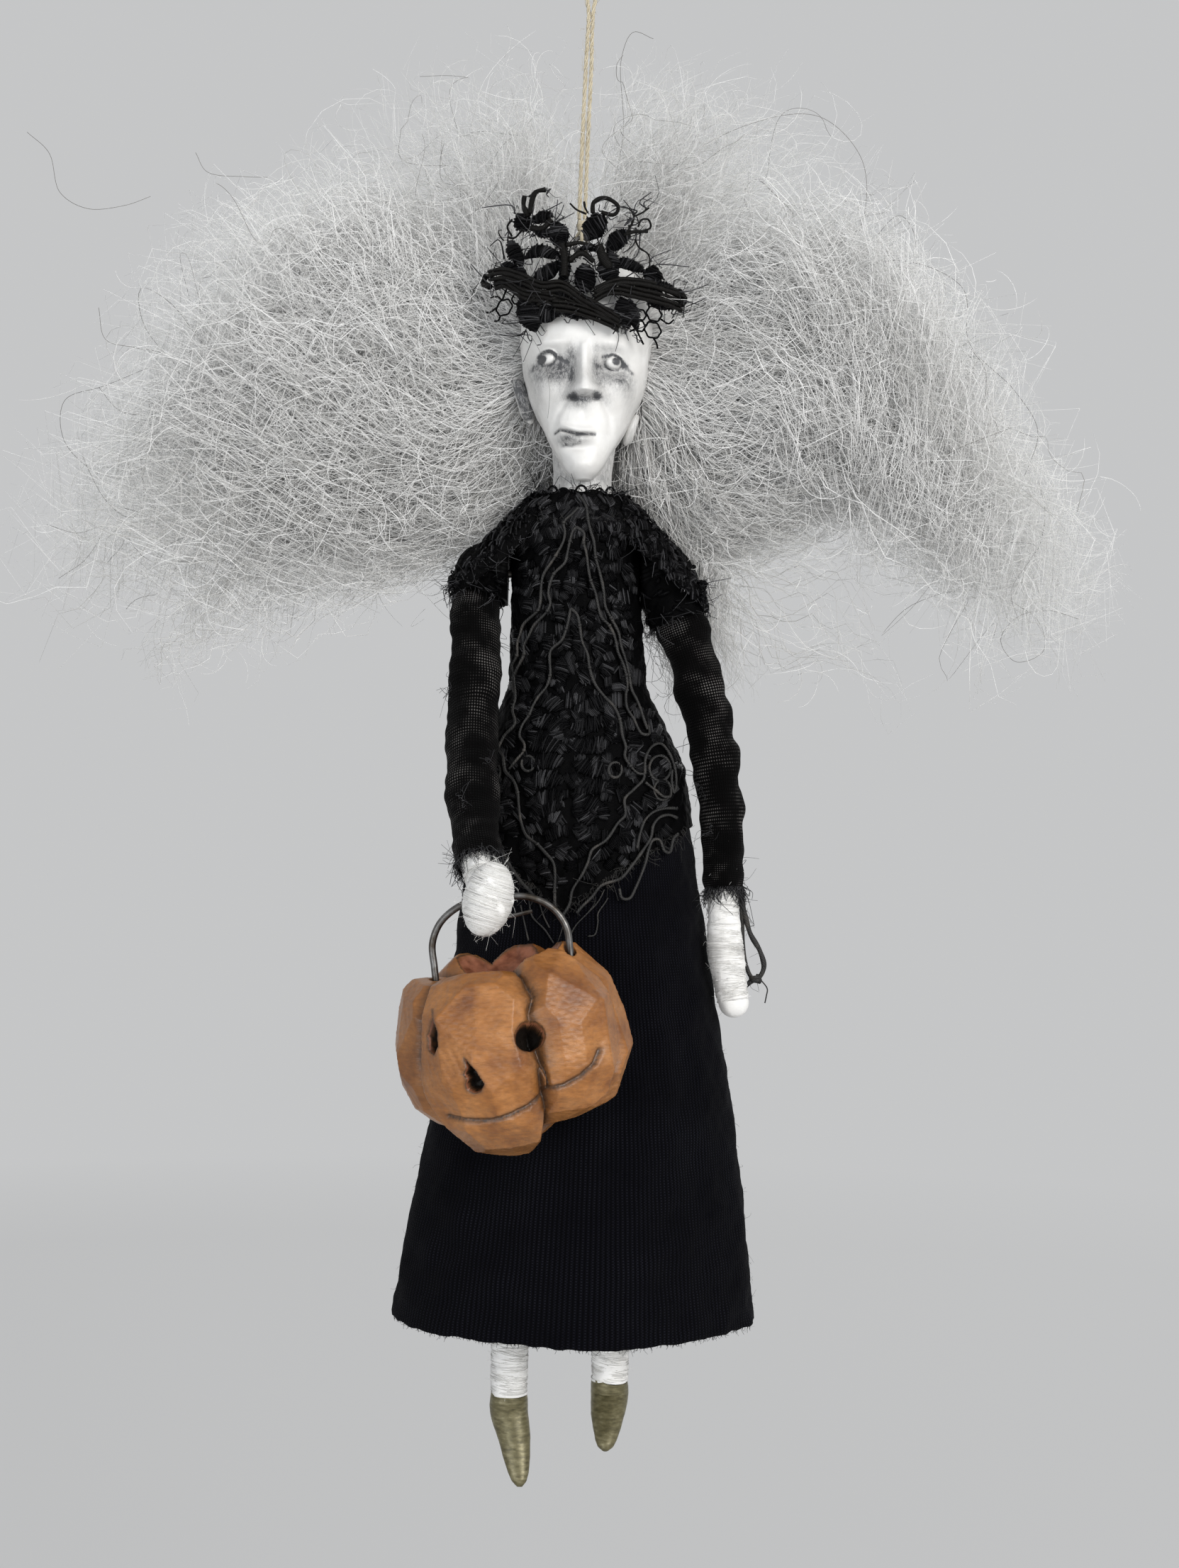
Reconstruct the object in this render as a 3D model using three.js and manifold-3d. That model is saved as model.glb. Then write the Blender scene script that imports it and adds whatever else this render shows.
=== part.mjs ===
// A hanging witch doll: a carved head, a wound wire body, a cloth and lace dress, and a carved
// pumpkin pail.
// Lengths are in millimetres. +Z is up, the doll faces -Y, and its left hand is on the +X side.
// The origin is the inside top of the hanging loop.
import * as THREE from "three";
import { mergeVertices } from "three/addons/utils/BufferGeometryUtils.js";
import Module from "manifold-3d";

const wasm = await Module();
wasm.setup();

// Driving dimensions: clearances and sheet thicknesses
const SEAT_GAP = 0.3;
const CLOTH = 0.5;
const LACE = 0.8;
const KNIT = 1.0;

// Driving dimensions: hanging twine
const TWINE_DIAMETER = 0.6;
const TWINE_SPACING = 0.8;
const TWINE_DROP = 43;
const LOOP_WIDTH = 4.2;
const LOOP_HEIGHT = 8;
const KNOT_RADIUS = 0.9;
const EYE_RADIUS = 1.0;
const EYE_WIRE = 0.6;
const EYE_SHANK = 5;

// Driving dimensions: carved head
const HEAD_HEIGHT = 33.2;
const HEAD_WIDTH = 18.6;
const FACE_FORWARD = 10;
const SKULL_BACK = 11.2;
const HEAD_X = 0.36;
const NOSE_LENGTH = 7.6;
const NOSE_WIDTH = 4.1;
const NOSE_FORWARD = 3.2;
const EAR_HEIGHT = 6.4;
const NECK_DIAMETER = 9;
const NECK_SHOWING = 1.3;
const NECK_TENON = 3.7;
const PEG_DIAMETER = 3;
const PEG_LENGTH = 11;

// Driving dimensions: lace crown
const CROWN_WIDTH = 27.6;
const CROWN_FORWARD = 10.8;
const CROWN_FLARE = 0.12;
const CROWN_RISE = 20.5;

// Driving dimensions: dress, as full widths and depths at named levels
const COLLAR_WIDTH = 11.4;
const COLLAR_DEPTH = 10.8;
const YOKE_WIDTH = 18.8;
const YOKE_DEPTH = 13;
const ARMHOLE_WIDTH = 16.6;
const ARMHOLE_DEPTH = 13.4;
const WAIST_WIDTH = 18.6;
const WAIST_DEPTH = 14;
const HIP_WIDTH = 30.2;
const HIP_DEPTH = 22.8;
const HEM_WIDTH = 50.4;
const HEM_DEPTH = 41.6;
const SHOULDER_DROP = 10.7;
const WAIST_DROP = 15.8;
const BODICE_DROP = 24.3;
const HIP_DROP = 32.8;
const SKIRT_LENGTH = 78.5;
const HIP_SHIFT = 1.1;
const SKIRT_SHIFT = 2.2;
const HEM_SHIFT = 1.5;
const FOLD_COUNT = 5;
const FOLD_DEPTH = 0.7;
const PANEL_TIP_DROP = 22.5;

// Driving dimensions: armature and limbs
const ARM_LENGTH = 60;
const SHOULDER_SPAN = 24.8;
const SHOULDER_SHIFT = -0.5;
const ARMATURE_WIRE = 0.9;
const CROSS_WIRE = 1.2;
const WIRE_END = 1.4;
const EYE_LOOP_RADIUS = 1.25;
const HAND_WIRE_SHORT = 6.8;
const SHOE_WIRE = 3.2;
const HAND_WIDTH = 5;
const FIST_WIDTH = 6.3;
const FIST_HEIGHT = 9.6;
const FIST_TILT = THREE.MathUtils.degToRad(12);
const LEG_SPACING = 14.6;
const HIP_JOINT_DROP = 31.8;
const LEG_LENGTH = 83.4;
const PELVIS_WIDTH = 8.2;
const SHOE_LENGTH = 12;

// Driving dimensions: pumpkin pail, in its own tilted frame
const PAIL_WIDTH = 30.2;
const PAIL_DEPTH = 25.6;
const PAIL_HEIGHT = 25.2;
const PAIL_TILT = THREE.MathUtils.degToRad(8.2);
const PAIL_DROP = 19.75;
const PAIL_SHIFT = 0.88;
const DISH_DEPTH = 3.2;
const GROOVE_DEPTH = 0.13;
const FACE_EYE_RADIUS = 1.85;
const FACE_CUT = 4;
const HANDLE_WIRE = 0.9;
const PIN_WIRE = 0.5;
const HANDLE_SPAN = 17.5;
const HANDLE_SEAT = 8;

// Driving dimensions: hair
const HAIR_REACH_RIGHT = 73.5;
const HAIR_REACH_LEFT = 71;
const HAIR_THICKNESS = 24;
const HAIR_HEIGHT = 51;
const HAIR_LOCK_DROP = 23.5;

// Levels and joint places, worked out from the sizes above
const SKULL_Z = -TWINE_DROP;
const CHIN_Z = SKULL_Z - HEAD_HEIGHT;
const NECKLINE_Z = CHIN_Z - NECK_SHOWING;
const SHOULDER_Z = NECKLINE_Z - SHOULDER_DROP;
const WAIST_Z = SHOULDER_Z - WAIST_DROP;
const BODICE_END_Z = SHOULDER_Z - BODICE_DROP;
const HIP_Z = SHOULDER_Z - HIP_DROP;
const HEM_Z = BODICE_END_Z - SKIRT_LENGTH;
const LEG_JOINT_Z = SHOULDER_Z - HIP_JOINT_DROP;
const RIGHT_SHOULDER = new THREE.Vector3(SHOULDER_SHIFT - SHOULDER_SPAN / 2, 0, SHOULDER_Z);
const LEFT_SHOULDER = new THREE.Vector3(SHOULDER_SHIFT + SHOULDER_SPAN / 2, 0, SHOULDER_Z);

const material = (color, roughness, metalness = 0) =>
  new THREE.MeshStandardMaterial({ color, roughness, metalness });
const PAINTED_WOOD = material(0xe9e8e4, 0.75);
const PUMPKIN_WOOD = material(0xbd7d46, 0.6);
const BLACK_CLOTH = material(0x17161a, 0.9);
const BLACK_LACE = material(0x0d0d10, 0.7);
const BLACK_KNIT = material(0x14141c, 0.95);
const WHITE_COTTON = material(0xf0efec, 0.9);
const MOHAIR = material(0xc9c8c8, 0.6);
const TWINE = material(0xcdbf98, 0.85);
const STEEL_WIRE = material(0x55565a, 0.4, 1);
const GOLD_PAINT = material(0x7d7550, 0.35, 0.8);

const root = new THREE.Group();
const { lerp, clamp, degToRad } = THREE.MathUtils;

function solid(geometry) {
  const bare = geometry.clone();
  bare.deleteAttribute("normal");
  bare.deleteAttribute("uv");
  const merged = mergeVertices(bare, 1e-4);
  const build = (triVerts) =>
    new wasm.Manifold(
      new wasm.Mesh({ numProp: 3, vertProperties: merged.attributes.position.array, triVerts }),
    );
  const triangles = new Uint32Array(merged.index.array);
  const made = build(triangles);
  if (made.volume() >= 0) return made;
  return build(triangles.reverse());
}

function geometryOf(body) {
  const mesh = body.getMesh();
  const geometry = new THREE.BufferGeometry();
  geometry.setAttribute("position", new THREE.BufferAttribute(mesh.vertProperties, 3));
  geometry.setIndex(new THREE.BufferAttribute(mesh.triVerts, 1));
  geometry.computeVertexNormals();
  return geometry;
}

function add(name, body, finish, parent = root) {
  const mesh = new THREE.Mesh(geometryOf(body), finish);
  mesh.name = name;
  parent.add(mesh);
}

// A closed body through rings of points that all have the same count.
function loft(rings) {
  const count = rings[0].length;
  const positions = rings.flat().flatMap((p) => [p.x, p.y, p.z]);
  const indices = [];
  for (let row = 0; row + 1 < rings.length; row += 1) {
    for (let i = 0; i < count; i += 1) {
      const a = row * count + i;
      const b = row * count + ((i + 1) % count);
      indices.push(a, b, b + count, a, b + count, a + count);
    }
  }
  const cap = (row, flip) => {
    const centre = new THREE.Vector3();
    rings[row].forEach((p) => centre.addScaledVector(p, 1 / count));
    const hub = positions.length / 3;
    positions.push(centre.x, centre.y, centre.z);
    for (let i = 0; i < count; i += 1) {
      const a = row * count + i;
      const b = row * count + ((i + 1) % count);
      indices.push(...(flip ? [hub, b, a] : [hub, a, b]));
    }
  };
  cap(0, true);
  cap(rings.length - 1, false);
  const geometry = new THREE.BufferGeometry();
  geometry.setAttribute("position", new THREE.Float32BufferAttribute(positions, 3));
  geometry.setIndex(indices);
  return solid(geometry);
}

// Elliptical rings stacked along Z, or along X when sideways. A row is [place, first centre,
// second centre, first half-axis, second half-axis].
function stack(rows, sides, grow = 0, sideways = false) {
  return loft(
    rows.map(([place, u, v, a, b]) =>
      Array.from({ length: sides }, (_, i) => {
        const turn = (2 * Math.PI * i) / sides;
        const first = u + (a + grow) * Math.cos(turn);
        const second = v + (b + grow) * Math.sin(turn);
        return sideways
          ? new THREE.Vector3(place, first, second)
          : new THREE.Vector3(first, second, place);
      }),
    ),
  );
}

function mix(list, t) {
  const place = clamp(t, 0, 1) * (list.length - 1);
  const low = Math.min(Math.floor(place), list.length - 2);
  return lerp(list[low], list[low + 1], place - low);
}

// A round limb along a path, with a radius for each of the path's points and domed ends.
function limb(path, radii, { grow = 0, to = 1, steps = 10, sides = 10, flatEnd = false } = {}) {
  const ringAt = (t, along, shrink) => {
    const tangent = path.getTangent(t).normalize();
    const side = new THREE.Vector3(1, 0, 0);
    side.addScaledVector(tangent, -side.dot(tangent)).normalize();
    const front = tangent.clone().cross(side);
    const radius = mix(radii, t) + grow;
    const centre = path.getPoint(t).addScaledVector(tangent, along * radius);
    return Array.from({ length: sides }, (_, i) => {
      const turn = (2 * Math.PI * i) / sides;
      return centre
        .clone()
        .addScaledVector(side, radius * shrink * Math.cos(turn))
        .addScaledVector(front, radius * shrink * Math.sin(turn));
    });
  };
  const dome = [0.35, 0.85, 1.3];
  const rings = dome.map((a) => ringAt(0, -Math.sin(a), Math.cos(a))).reverse();
  for (let i = 0; i <= steps; i += 1) rings.push(ringAt((to * i) / steps, 0, 1));
  if (!flatEnd) rings.push(...dome.map((a) => ringAt(to, Math.sin(a), Math.cos(a))));
  return loft(rings);
}

// A round bar swept along a curve, with flat ends.
function bar(curve, diameter, steps, sides = 6) {
  const outline = Array.from({ length: sides }, (_, i) => {
    const turn = (2 * Math.PI * i) / sides;
    return new THREE.Vector2((diameter / 2) * Math.cos(turn), (diameter / 2) * Math.sin(turn));
  });
  const shape = new THREE.Shape(outline);
  return solid(new THREE.ExtrudeGeometry(shape, { steps, extrudePath: curve }));
}

function crossBar(from, to, y, z, diameter) {
  const geometry = new THREE.CylinderGeometry(diameter / 2, diameter / 2, to - from, 12);
  geometry.rotateZ(Math.PI / 2).translate((from + to) / 2, y, z);
  return solid(geometry);
}

function block(x0, x1, y0, y1, z0, z1) {
  const geometry = new THREE.BoxGeometry(x1 - x0, y1 - y0, z1 - z0);
  geometry.translate((x0 + x1) / 2, (y0 + y1) / 2, (z0 + z1) / 2);
  return solid(geometry);
}

function ellipsoid(centre, radii, tilt = 0, wide = 14, high = 10) {
  const geometry = new THREE.SphereGeometry(1, wide, high);
  geometry.rotateX(Math.PI / 2).scale(radii.x, radii.y, radii.z).rotateY(tilt);
  geometry.translate(centre.x, centre.y, centre.z);
  return solid(geometry);
}

function ring(centre, radius, wire, turnAbout) {
  const geometry = new THREE.TorusGeometry(radius, wire / 2, 6, 14);
  if (turnAbout === "x") geometry.rotateY(Math.PI / 2);
  if (turnAbout === "y") geometry.rotateX(Math.PI / 2);
  geometry.translate(centre.x, centre.y, centre.z);
  return solid(geometry);
}

const curveThrough = (points) =>
  new THREE.CatmullRomCurve3(points.map((p) => new THREE.Vector3(...p)), false, "centripetal");

// The dress surface: rows of [level, centre, width, depth] from the neckline to the hem.
const yokeRow = (drop, centre, share) => [
  NECKLINE_Z - drop * SHOULDER_DROP,
  centre,
  lerp(COLLAR_WIDTH, YOKE_WIDTH, share),
  lerp(COLLAR_DEPTH, YOKE_DEPTH, share),
];
const hipRow = (drop, centre, wide, deep) => [
  lerp(WAIST_Z, HIP_Z, drop),
  centre,
  lerp(WAIST_WIDTH, HIP_WIDTH, wide),
  lerp(WAIST_DEPTH, HIP_DEPTH, deep),
];
const skirtRow = (drop, centre) => [
  lerp(HIP_Z, HEM_Z, drop),
  centre,
  lerp(HIP_WIDTH, HEM_WIDTH, drop),
  lerp(HIP_DEPTH, HEM_DEPTH, drop),
];
const dressLevels = [
  yokeRow(0, 0.2, 0),
  yokeRow(0.14, 0.1, 0.5),
  yokeRow(0.35, -0.2, 0.92),
  yokeRow(0.54, -0.3, 1),
  [NECKLINE_Z - 0.66 * SHOULDER_DROP, -0.3, ARMHOLE_WIDTH, ARMHOLE_DEPTH],
  [SHOULDER_Z - 0.25 * WAIST_DROP, -0.2, ARMHOLE_WIDTH, ARMHOLE_DEPTH],
  hipRow(0, 0.3, 0, 0),
  hipRow(0.33, 0.7, 0.43, 0.38),
  hipRow(0.65, 0.9, 0.87, 0.74),
  skirtRow(0, HIP_SHIFT),
  skirtRow(0.55, SKIRT_SHIFT),
  skirtRow(1, HEM_SHIFT),
];
const dressRows = dressLevels.map(([z, centre, width, depth]) => [z, centre, width / 2, depth / 2]);

function dressAt(z) {
  const last = dressRows.length - 2;
  let i = dressRows.findIndex((row, k) => k > 0 && z >= row[0]) - 1;
  if (i < 0) i = z > NECKLINE_Z ? 0 : last;
  const [top, bottom] = [dressRows[i], dressRows[i + 1]];
  const t = (z - top[0]) / (bottom[0] - top[0]);
  return top.map((value, k) => lerp(value, bottom[k], t));
}

function dressRing(z, grow, sides) {
  const [, centre, a, b] = dressAt(z);
  const fall = clamp((HIP_Z - z) / (HIP_Z - HEM_Z), 0, 1);
  return Array.from({ length: sides }, (_, i) => {
    const turn = (2 * Math.PI * i) / sides;
    const fold = FOLD_DEPTH * fall * fall * Math.cos(FOLD_COUNT * turn + 0.6);
    const reach = grow + fold;
    return new THREE.Vector3(centre + (a + reach) * Math.cos(turn), (b + reach) * Math.sin(turn), z);
  });
}

function dressBody(top, bottom, grow, sides = 28) {
  const inner = dressRows.map((row) => row[0]).filter((z) => z < top - 0.2 && z > bottom + 0.2);
  return loft([top, ...inner, bottom].map((z) => dressRing(z, grow, sides)));
}

// A shell of cloth on the dress surface, open at both ends.
function dressShell(top, bottom, inside, outside, sides = 28) {
  const over = 1;
  const hollow = dressBody(top + over, bottom - over, inside, sides);
  return dressBody(top, bottom, outside, sides).subtract(hollow);
}

// Twine, knot and screw eye
const KNOT_AT = new THREE.Vector3(-0.6, 0.5, SKULL_Z + SEAT_GAP + EYE_WIRE / 2 + EYE_RADIUS);
const LINK_RADIUS = EYE_WIRE / 2 + 0.45;
const LINK_Z = KNOT_AT.z + EYE_RADIUS;
const KNOT_Z = LINK_Z + LINK_RADIUS + 0.7 * KNOT_RADIUS;

function hangingParts() {
  const half = TWINE_SPACING / 2;
  const foot = KNOT_Z + KNOT_RADIUS + SEAT_GAP;
  const strand = (side) => [
    [KNOT_AT.x + side * half, KNOT_AT.y, foot],
    [lerp(KNOT_AT.x, 0, 0.25) + side * half, 0.4, lerp(foot, 0, 0.25)],
    [lerp(KNOT_AT.x, 0, 0.7) + side * half, 0.2, lerp(foot, 0, 0.55)],
    [side * half, 0, -LOOP_HEIGHT],
    [side * 0.26 * LOOP_WIDTH, 0, -0.66 * LOOP_HEIGHT],
    [side * 0.48 * LOOP_WIDTH, 0, -0.36 * LOOP_HEIGHT],
    [side * 0.4 * LOOP_WIDTH, 0, -0.1 * LOOP_HEIGHT],
  ];
  const top = [[0, 0, TWINE_DIAMETER / 2]];
  const route = curveThrough([...strand(-1), ...top, ...strand(1).reverse()]);
  add("hanging_twine", bar(route, TWINE_DIAMETER, 44, 8), TWINE);

  const at = (z) => new THREE.Vector3(KNOT_AT.x, KNOT_AT.y, z);
  const lump = ellipsoid(at(KNOT_Z), new THREE.Vector3(KNOT_RADIUS, KNOT_RADIUS, KNOT_RADIUS), 0, 10, 8);
  const link = ring(at(LINK_Z), LINK_RADIUS, 0.4, "x");
  add("twine_knot", lump.add(link), TWINE);

  const shank = new THREE.CylinderGeometry(EYE_WIRE / 2, EYE_WIRE / 2, EYE_SHANK, 10);
  shank.rotateX(Math.PI / 2).translate(KNOT_AT.x, KNOT_AT.y, KNOT_AT.z - EYE_RADIUS - EYE_SHANK / 2);
  add("head_eye", ring(KNOT_AT, EYE_RADIUS, EYE_WIRE, "y").add(solid(shank)), STEEL_WIRE);
}

// Carved head: rows of [share of the height, share of the width, share forward, share backward].
const headRows = [
  [0.0, 0.14, 0.1, 0.24],
  [0.04, 0.5, 0.42, 0.55],
  [0.11, 0.8, 0.72, 0.8],
  [0.22, 0.95, 0.92, 0.95],
  [0.36, 1.0, 1.0, 1.0],
  [0.47, 0.98, 0.98, 0.98],
  [0.59, 0.93, 0.96, 0.91],
  [0.71, 0.79, 0.96, 0.72],
  [0.81, 0.62, 0.96, 0.42],
  [0.9, 0.46, 0.95, 0.1],
  [0.97, 0.3, 0.88, -0.22],
  [1.0, 0.16, 0.76, -0.4],
];

function skull(grow = 0) {
  const rows = headRows.map(([drop, width, front, back]) => [
    SKULL_Z - drop * HEAD_HEIGHT,
    HEAD_X,
    (back * SKULL_BACK - front * FACE_FORWARD) / 2,
    (width * HEAD_WIDTH) / 2,
    (back * SKULL_BACK + front * FACE_FORWARD) / 2,
  ]);
  rows[0][0] += grow;
  rows[rows.length - 1][0] -= grow;
  return stack(rows, 20, grow);
}

function neck(grow = 0) {
  const radius = NECK_DIAMETER / 2;
  const inCollar = Math.min(radius, COLLAR_DEPTH / 2 - CLOTH - SEAT_GAP);
  const rows = [
    [CHIN_Z + 0.35 * HEAD_HEIGHT, 0.7, 1, radius, radius],
    [CHIN_Z, 0.6, 0.5, radius, radius],
    [NECKLINE_Z + 0.5, 0.4, 0, inCollar, inCollar],
    [NECKLINE_Z - NECK_TENON - grow, 0.4, 0, inCollar, inCollar],
  ];
  return stack(rows, 18, grow);
}

function pegBody(grow) {
  const radius = PEG_DIAMETER / 2 + grow;
  const middle = NECKLINE_Z - NECK_TENON;
  const geometry = new THREE.CylinderGeometry(radius, radius, PEG_LENGTH + 2 * grow, 12);
  geometry.rotateX(Math.PI / 2).translate(0.4, 0, middle);
  return solid(geometry);
}

function headParts() {
  const noseTop = SKULL_Z - 0.43 * HEAD_HEIGHT;
  const noseRow = (share, width, forward) => {
    const reach = 0.5 * forward * NOSE_FORWARD;
    const z = noseTop - share * NOSE_LENGTH;
    return [z, HEAD_X, -0.9 * FACE_FORWARD - reach, (width * NOSE_WIDTH) / 2, 1 + reach];
  };
  const bridge = [noseRow(0, 0.35, 0), noseRow(0.45, 0.5, 0.45)];
  const nose = stack([...bridge, noseRow(0.88, 0.95, 1), noseRow(1, 0.75, 0.75)], 10);
  let body = skull().add(nose).add(neck());
  for (const side of [-1, 1]) {
    const drop = side < 0 ? 0.57 : 0.62;
    const centre = new THREE.Vector3(HEAD_X + side * 0.485 * HEAD_WIDTH, 1.8, SKULL_Z - drop * HEAD_HEIGHT);
    body = body.add(ellipsoid(centre, new THREE.Vector3(0.95, 1.9, EAR_HEIGHT / 2), side * 0.3, 10, 8));
  }
  const boreRadius = EYE_WIRE / 2 + SEAT_GAP;
  const shankBore = new THREE.CylinderGeometry(boreRadius, boreRadius, EYE_SHANK + 2 * SEAT_GAP, 10);
  shankBore.rotateX(Math.PI / 2).translate(KNOT_AT.x, KNOT_AT.y, KNOT_AT.z - EYE_RADIUS - EYE_SHANK / 2);
  add("head", body.subtract(solid(shankBore)).subtract(pegBody(SEAT_GAP)), PAINTED_WOOD);
  add("neck_peg", pegBody(0), PUMPKIN_WOOD);
}

// Lace crown: strokes drawn on the front view as [x, height above the brow] and laid on a flared band.
const CROWN_Z = SKULL_Z - 0.385 * HEAD_HEIGHT;

function crownPoint(x, rise, out) {
  const forward = CROWN_FORWARD + CROWN_FLARE * rise;
  const half = CROWN_WIDTH / 2;
  const share = clamp((x - HEAD_X) / half, -0.97, 0.97);
  const y = -forward * Math.sqrt(1 - share * share);
  const normal = new THREE.Vector2((x - HEAD_X) / (half * half), y / (forward * forward)).normalize();
  return new THREE.Vector3(x + normal.x * out, y + normal.y * out, CROWN_Z + (rise * CROWN_RISE) / 20.5);
}

// A flat stroke of lace through points, whose width follows the list of shares. Each stroke lies a
// little prouder than the one before it.
function laceStroke(points, width, shares, proud) {
  const path = new THREE.SplineCurve(points.map((p) => new THREE.Vector2(...p)));
  const left = [];
  const right = [];
  for (let i = 0; i < shares.length; i += 1) {
    const t = i / (shares.length - 1);
    const centre = path.getPoint(t);
    const along = path.getTangent(t);
    const reach = (shares[i] * width) / 2;
    left.push(new THREE.Vector2(centre.x - along.y * reach, centre.y + along.x * reach));
    right.push(new THREE.Vector2(centre.x + along.y * reach, centre.y - along.x * reach));
  }
  const shape = new THREE.Shape([...left, ...right.reverse()]);
  const geometry = new THREE.ExtrudeGeometry(shape, { depth: LACE, bevelEnabled: false });
  const place = geometry.getAttribute("position");
  for (let i = 0; i < place.count; i += 1) {
    const p = crownPoint(place.getX(i), place.getY(i), place.getZ(i) + proud);
    place.setXYZ(i, p.x, p.y, p.z);
  }
  return solid(geometry);
}

const LEAF = [0.4, 1, 0.95, 0.35];
const CORD = [1, 1, 1, 1, 1];
const crownStrokes = [
  [[[-10.3, 12.8], [-8.2, 8.2]], 1.7, LEAF],
  [[[-8.8, 9.6], [-5.6, 10.6], [-2.6, 9.2]], 1.5, LEAF],
  [[[-10.2, 12.2], [-9.1, 15.3], [-7.4, 13.2]], 1.7, LEAF],
  [[[-8.4, 14], [-5.6, 15.3], [-3.9, 13.4]], 1.6, LEAF],
  [[[-8, 14], [-7.4, 18]], 0.9, LEAF],
  [[[-7.4, 14.5], [-6, 18.2]], 0.9, LEAF],
  [[[-4.3, 14.4], [-2.6, 9.6]], 2.4, LEAF],
  [[[-2.9, 10.8], [-2.3, 5.6]], 1, CORD],
  [[[-7.2, 5.6], [-2.4, 9.2]], 2, LEAF],
  [[[-2.8, 8.4], [-0.4, 9.6], [2, 8.2]], 0.9, CORD],
  [[[-0.3, 9.4], [0.2, 3.8]], 2.7, LEAF],
  [[[3, 15.6], [-0.6, 10.2]], 2.8, LEAF],
  [[[1.2, 14], [1.2, 16.6], [3, 17.3], [4.2, 15.9], [2.8, 14.2]], 0.8, CORD],
  [[[7.6, 13.6], [5.2, 12.4], [2.6, 9.4]], 2, LEAF],
  [[[0.2, 10.6], [3, 9.6], [4.4, 5]], 2.2, LEAF],
  [[[3, 8.8], [5.6, 9.4], [9.4, 8]], 1.5, LEAF],
  [[[9.2, 9.4], [9.4, 4.6]], 2.4, LEAF],
  [[[-12.4, 8.2], [-9.6, 7.4], [-6.6, 5.6], [-3, 5.2], [0, 3.4], [4.8, 0.6]], 0.9, CORD],
  [[[-11.8, 6.8], [-7.8, 4.8], [-2.2, 3]], 0.9, CORD],
  [[[-1, 4], [4, 5.6], [12.4, 4.8]], 1.8, CORD],
  [[[-8, 9], [-8, 4], [-6.4, -0.6]], 2.2, CORD],
  [[[-7, 1.6], [-2.8, 2.4], [2.4, 2], [5.6, 0.8]], 2, CORD],
  [[[4.8, 5], [5.8, -0.1]], 2.3, CORD],
  [[[-11.4, 6.6], [-11.9, 4], [-10.2, 2.6], [-9, 4.2], [-8, 4]], 0.7, CORD],
  [[[7.6, 4.6], [7.8, 1.8], [9.4, -0.6], [10.3, 1.4], [9.6, 4.4]], 0.7, CORD],
];

function crownParts() {
  const strokes = crownStrokes.map((stroke, i) => laceStroke(...stroke, 0.06 * (i % 7)));
  const joined = strokes.reduce((sum, body) => sum.add(body));
  const pieces = joined.decompose().sort((a, b) => b.volume() - a.volume());
  add("lace_crown", pieces[0], BLACK_LACE);
}

// Body core, bodice, lace and skirt
const LEG_X = LEG_SPACING / 2;
const wireBore = (from, to, z) => {
  const past = WIRE_END + SEAT_GAP;
  return crossBar(from - past, to + past, 0, z, CROSS_WIRE + 2 * SEAT_GAP);
};
const SHOULDER_BORE = wireBore(RIGHT_SHOULDER.x, LEFT_SHOULDER.x, SHOULDER_Z);
const HIP_BORE = wireBore(-LEG_X, LEG_X, LEG_JOINT_Z);

function bodyParts() {
  const coreTop = NECKLINE_Z - NECK_TENON - SEAT_GAP;
  const coreEnd = BODICE_END_Z - 3;
  const inset = -(CLOTH + SEAT_GAP);
  const upper = dressBody(coreTop, BODICE_END_Z, inset, 20);
  const padding = upper.add(dressBody(BODICE_END_Z + 0.5, coreEnd, -(KNIT + SEAT_GAP), 20));
  const half = PELVIS_WIDTH / 2;
  const pelvis = block(-half, half, -half, half, LEG_JOINT_Z - 3.5, coreEnd + 4);
  const core = padding.add(pelvis).subtract(pegBody(SEAT_GAP)).subtract(SHOULDER_BORE).subtract(HIP_BORE);
  add("body_core", core, WHITE_COTTON);
  const wire = (from, to, z) => crossBar(from - WIRE_END, to + WIRE_END, 0, z, CROSS_WIRE);
  add("shoulder_wire", wire(RIGHT_SHOULDER.x, LEFT_SHOULDER.x, SHOULDER_Z), STEEL_WIRE);
  add("hip_wire", wire(-LEG_X, LEG_X, LEG_JOINT_Z), STEEL_WIRE);
  add("bodice", dressShell(NECKLINE_Z, BODICE_END_Z, -CLOTH, 0, 20).subtract(SHOULDER_BORE), BLACK_CLOTH);
  add("skirt", dressShell(BODICE_END_Z - SEAT_GAP, HEM_Z, -KNIT, 0, 40), BLACK_KNIT);
}

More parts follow.
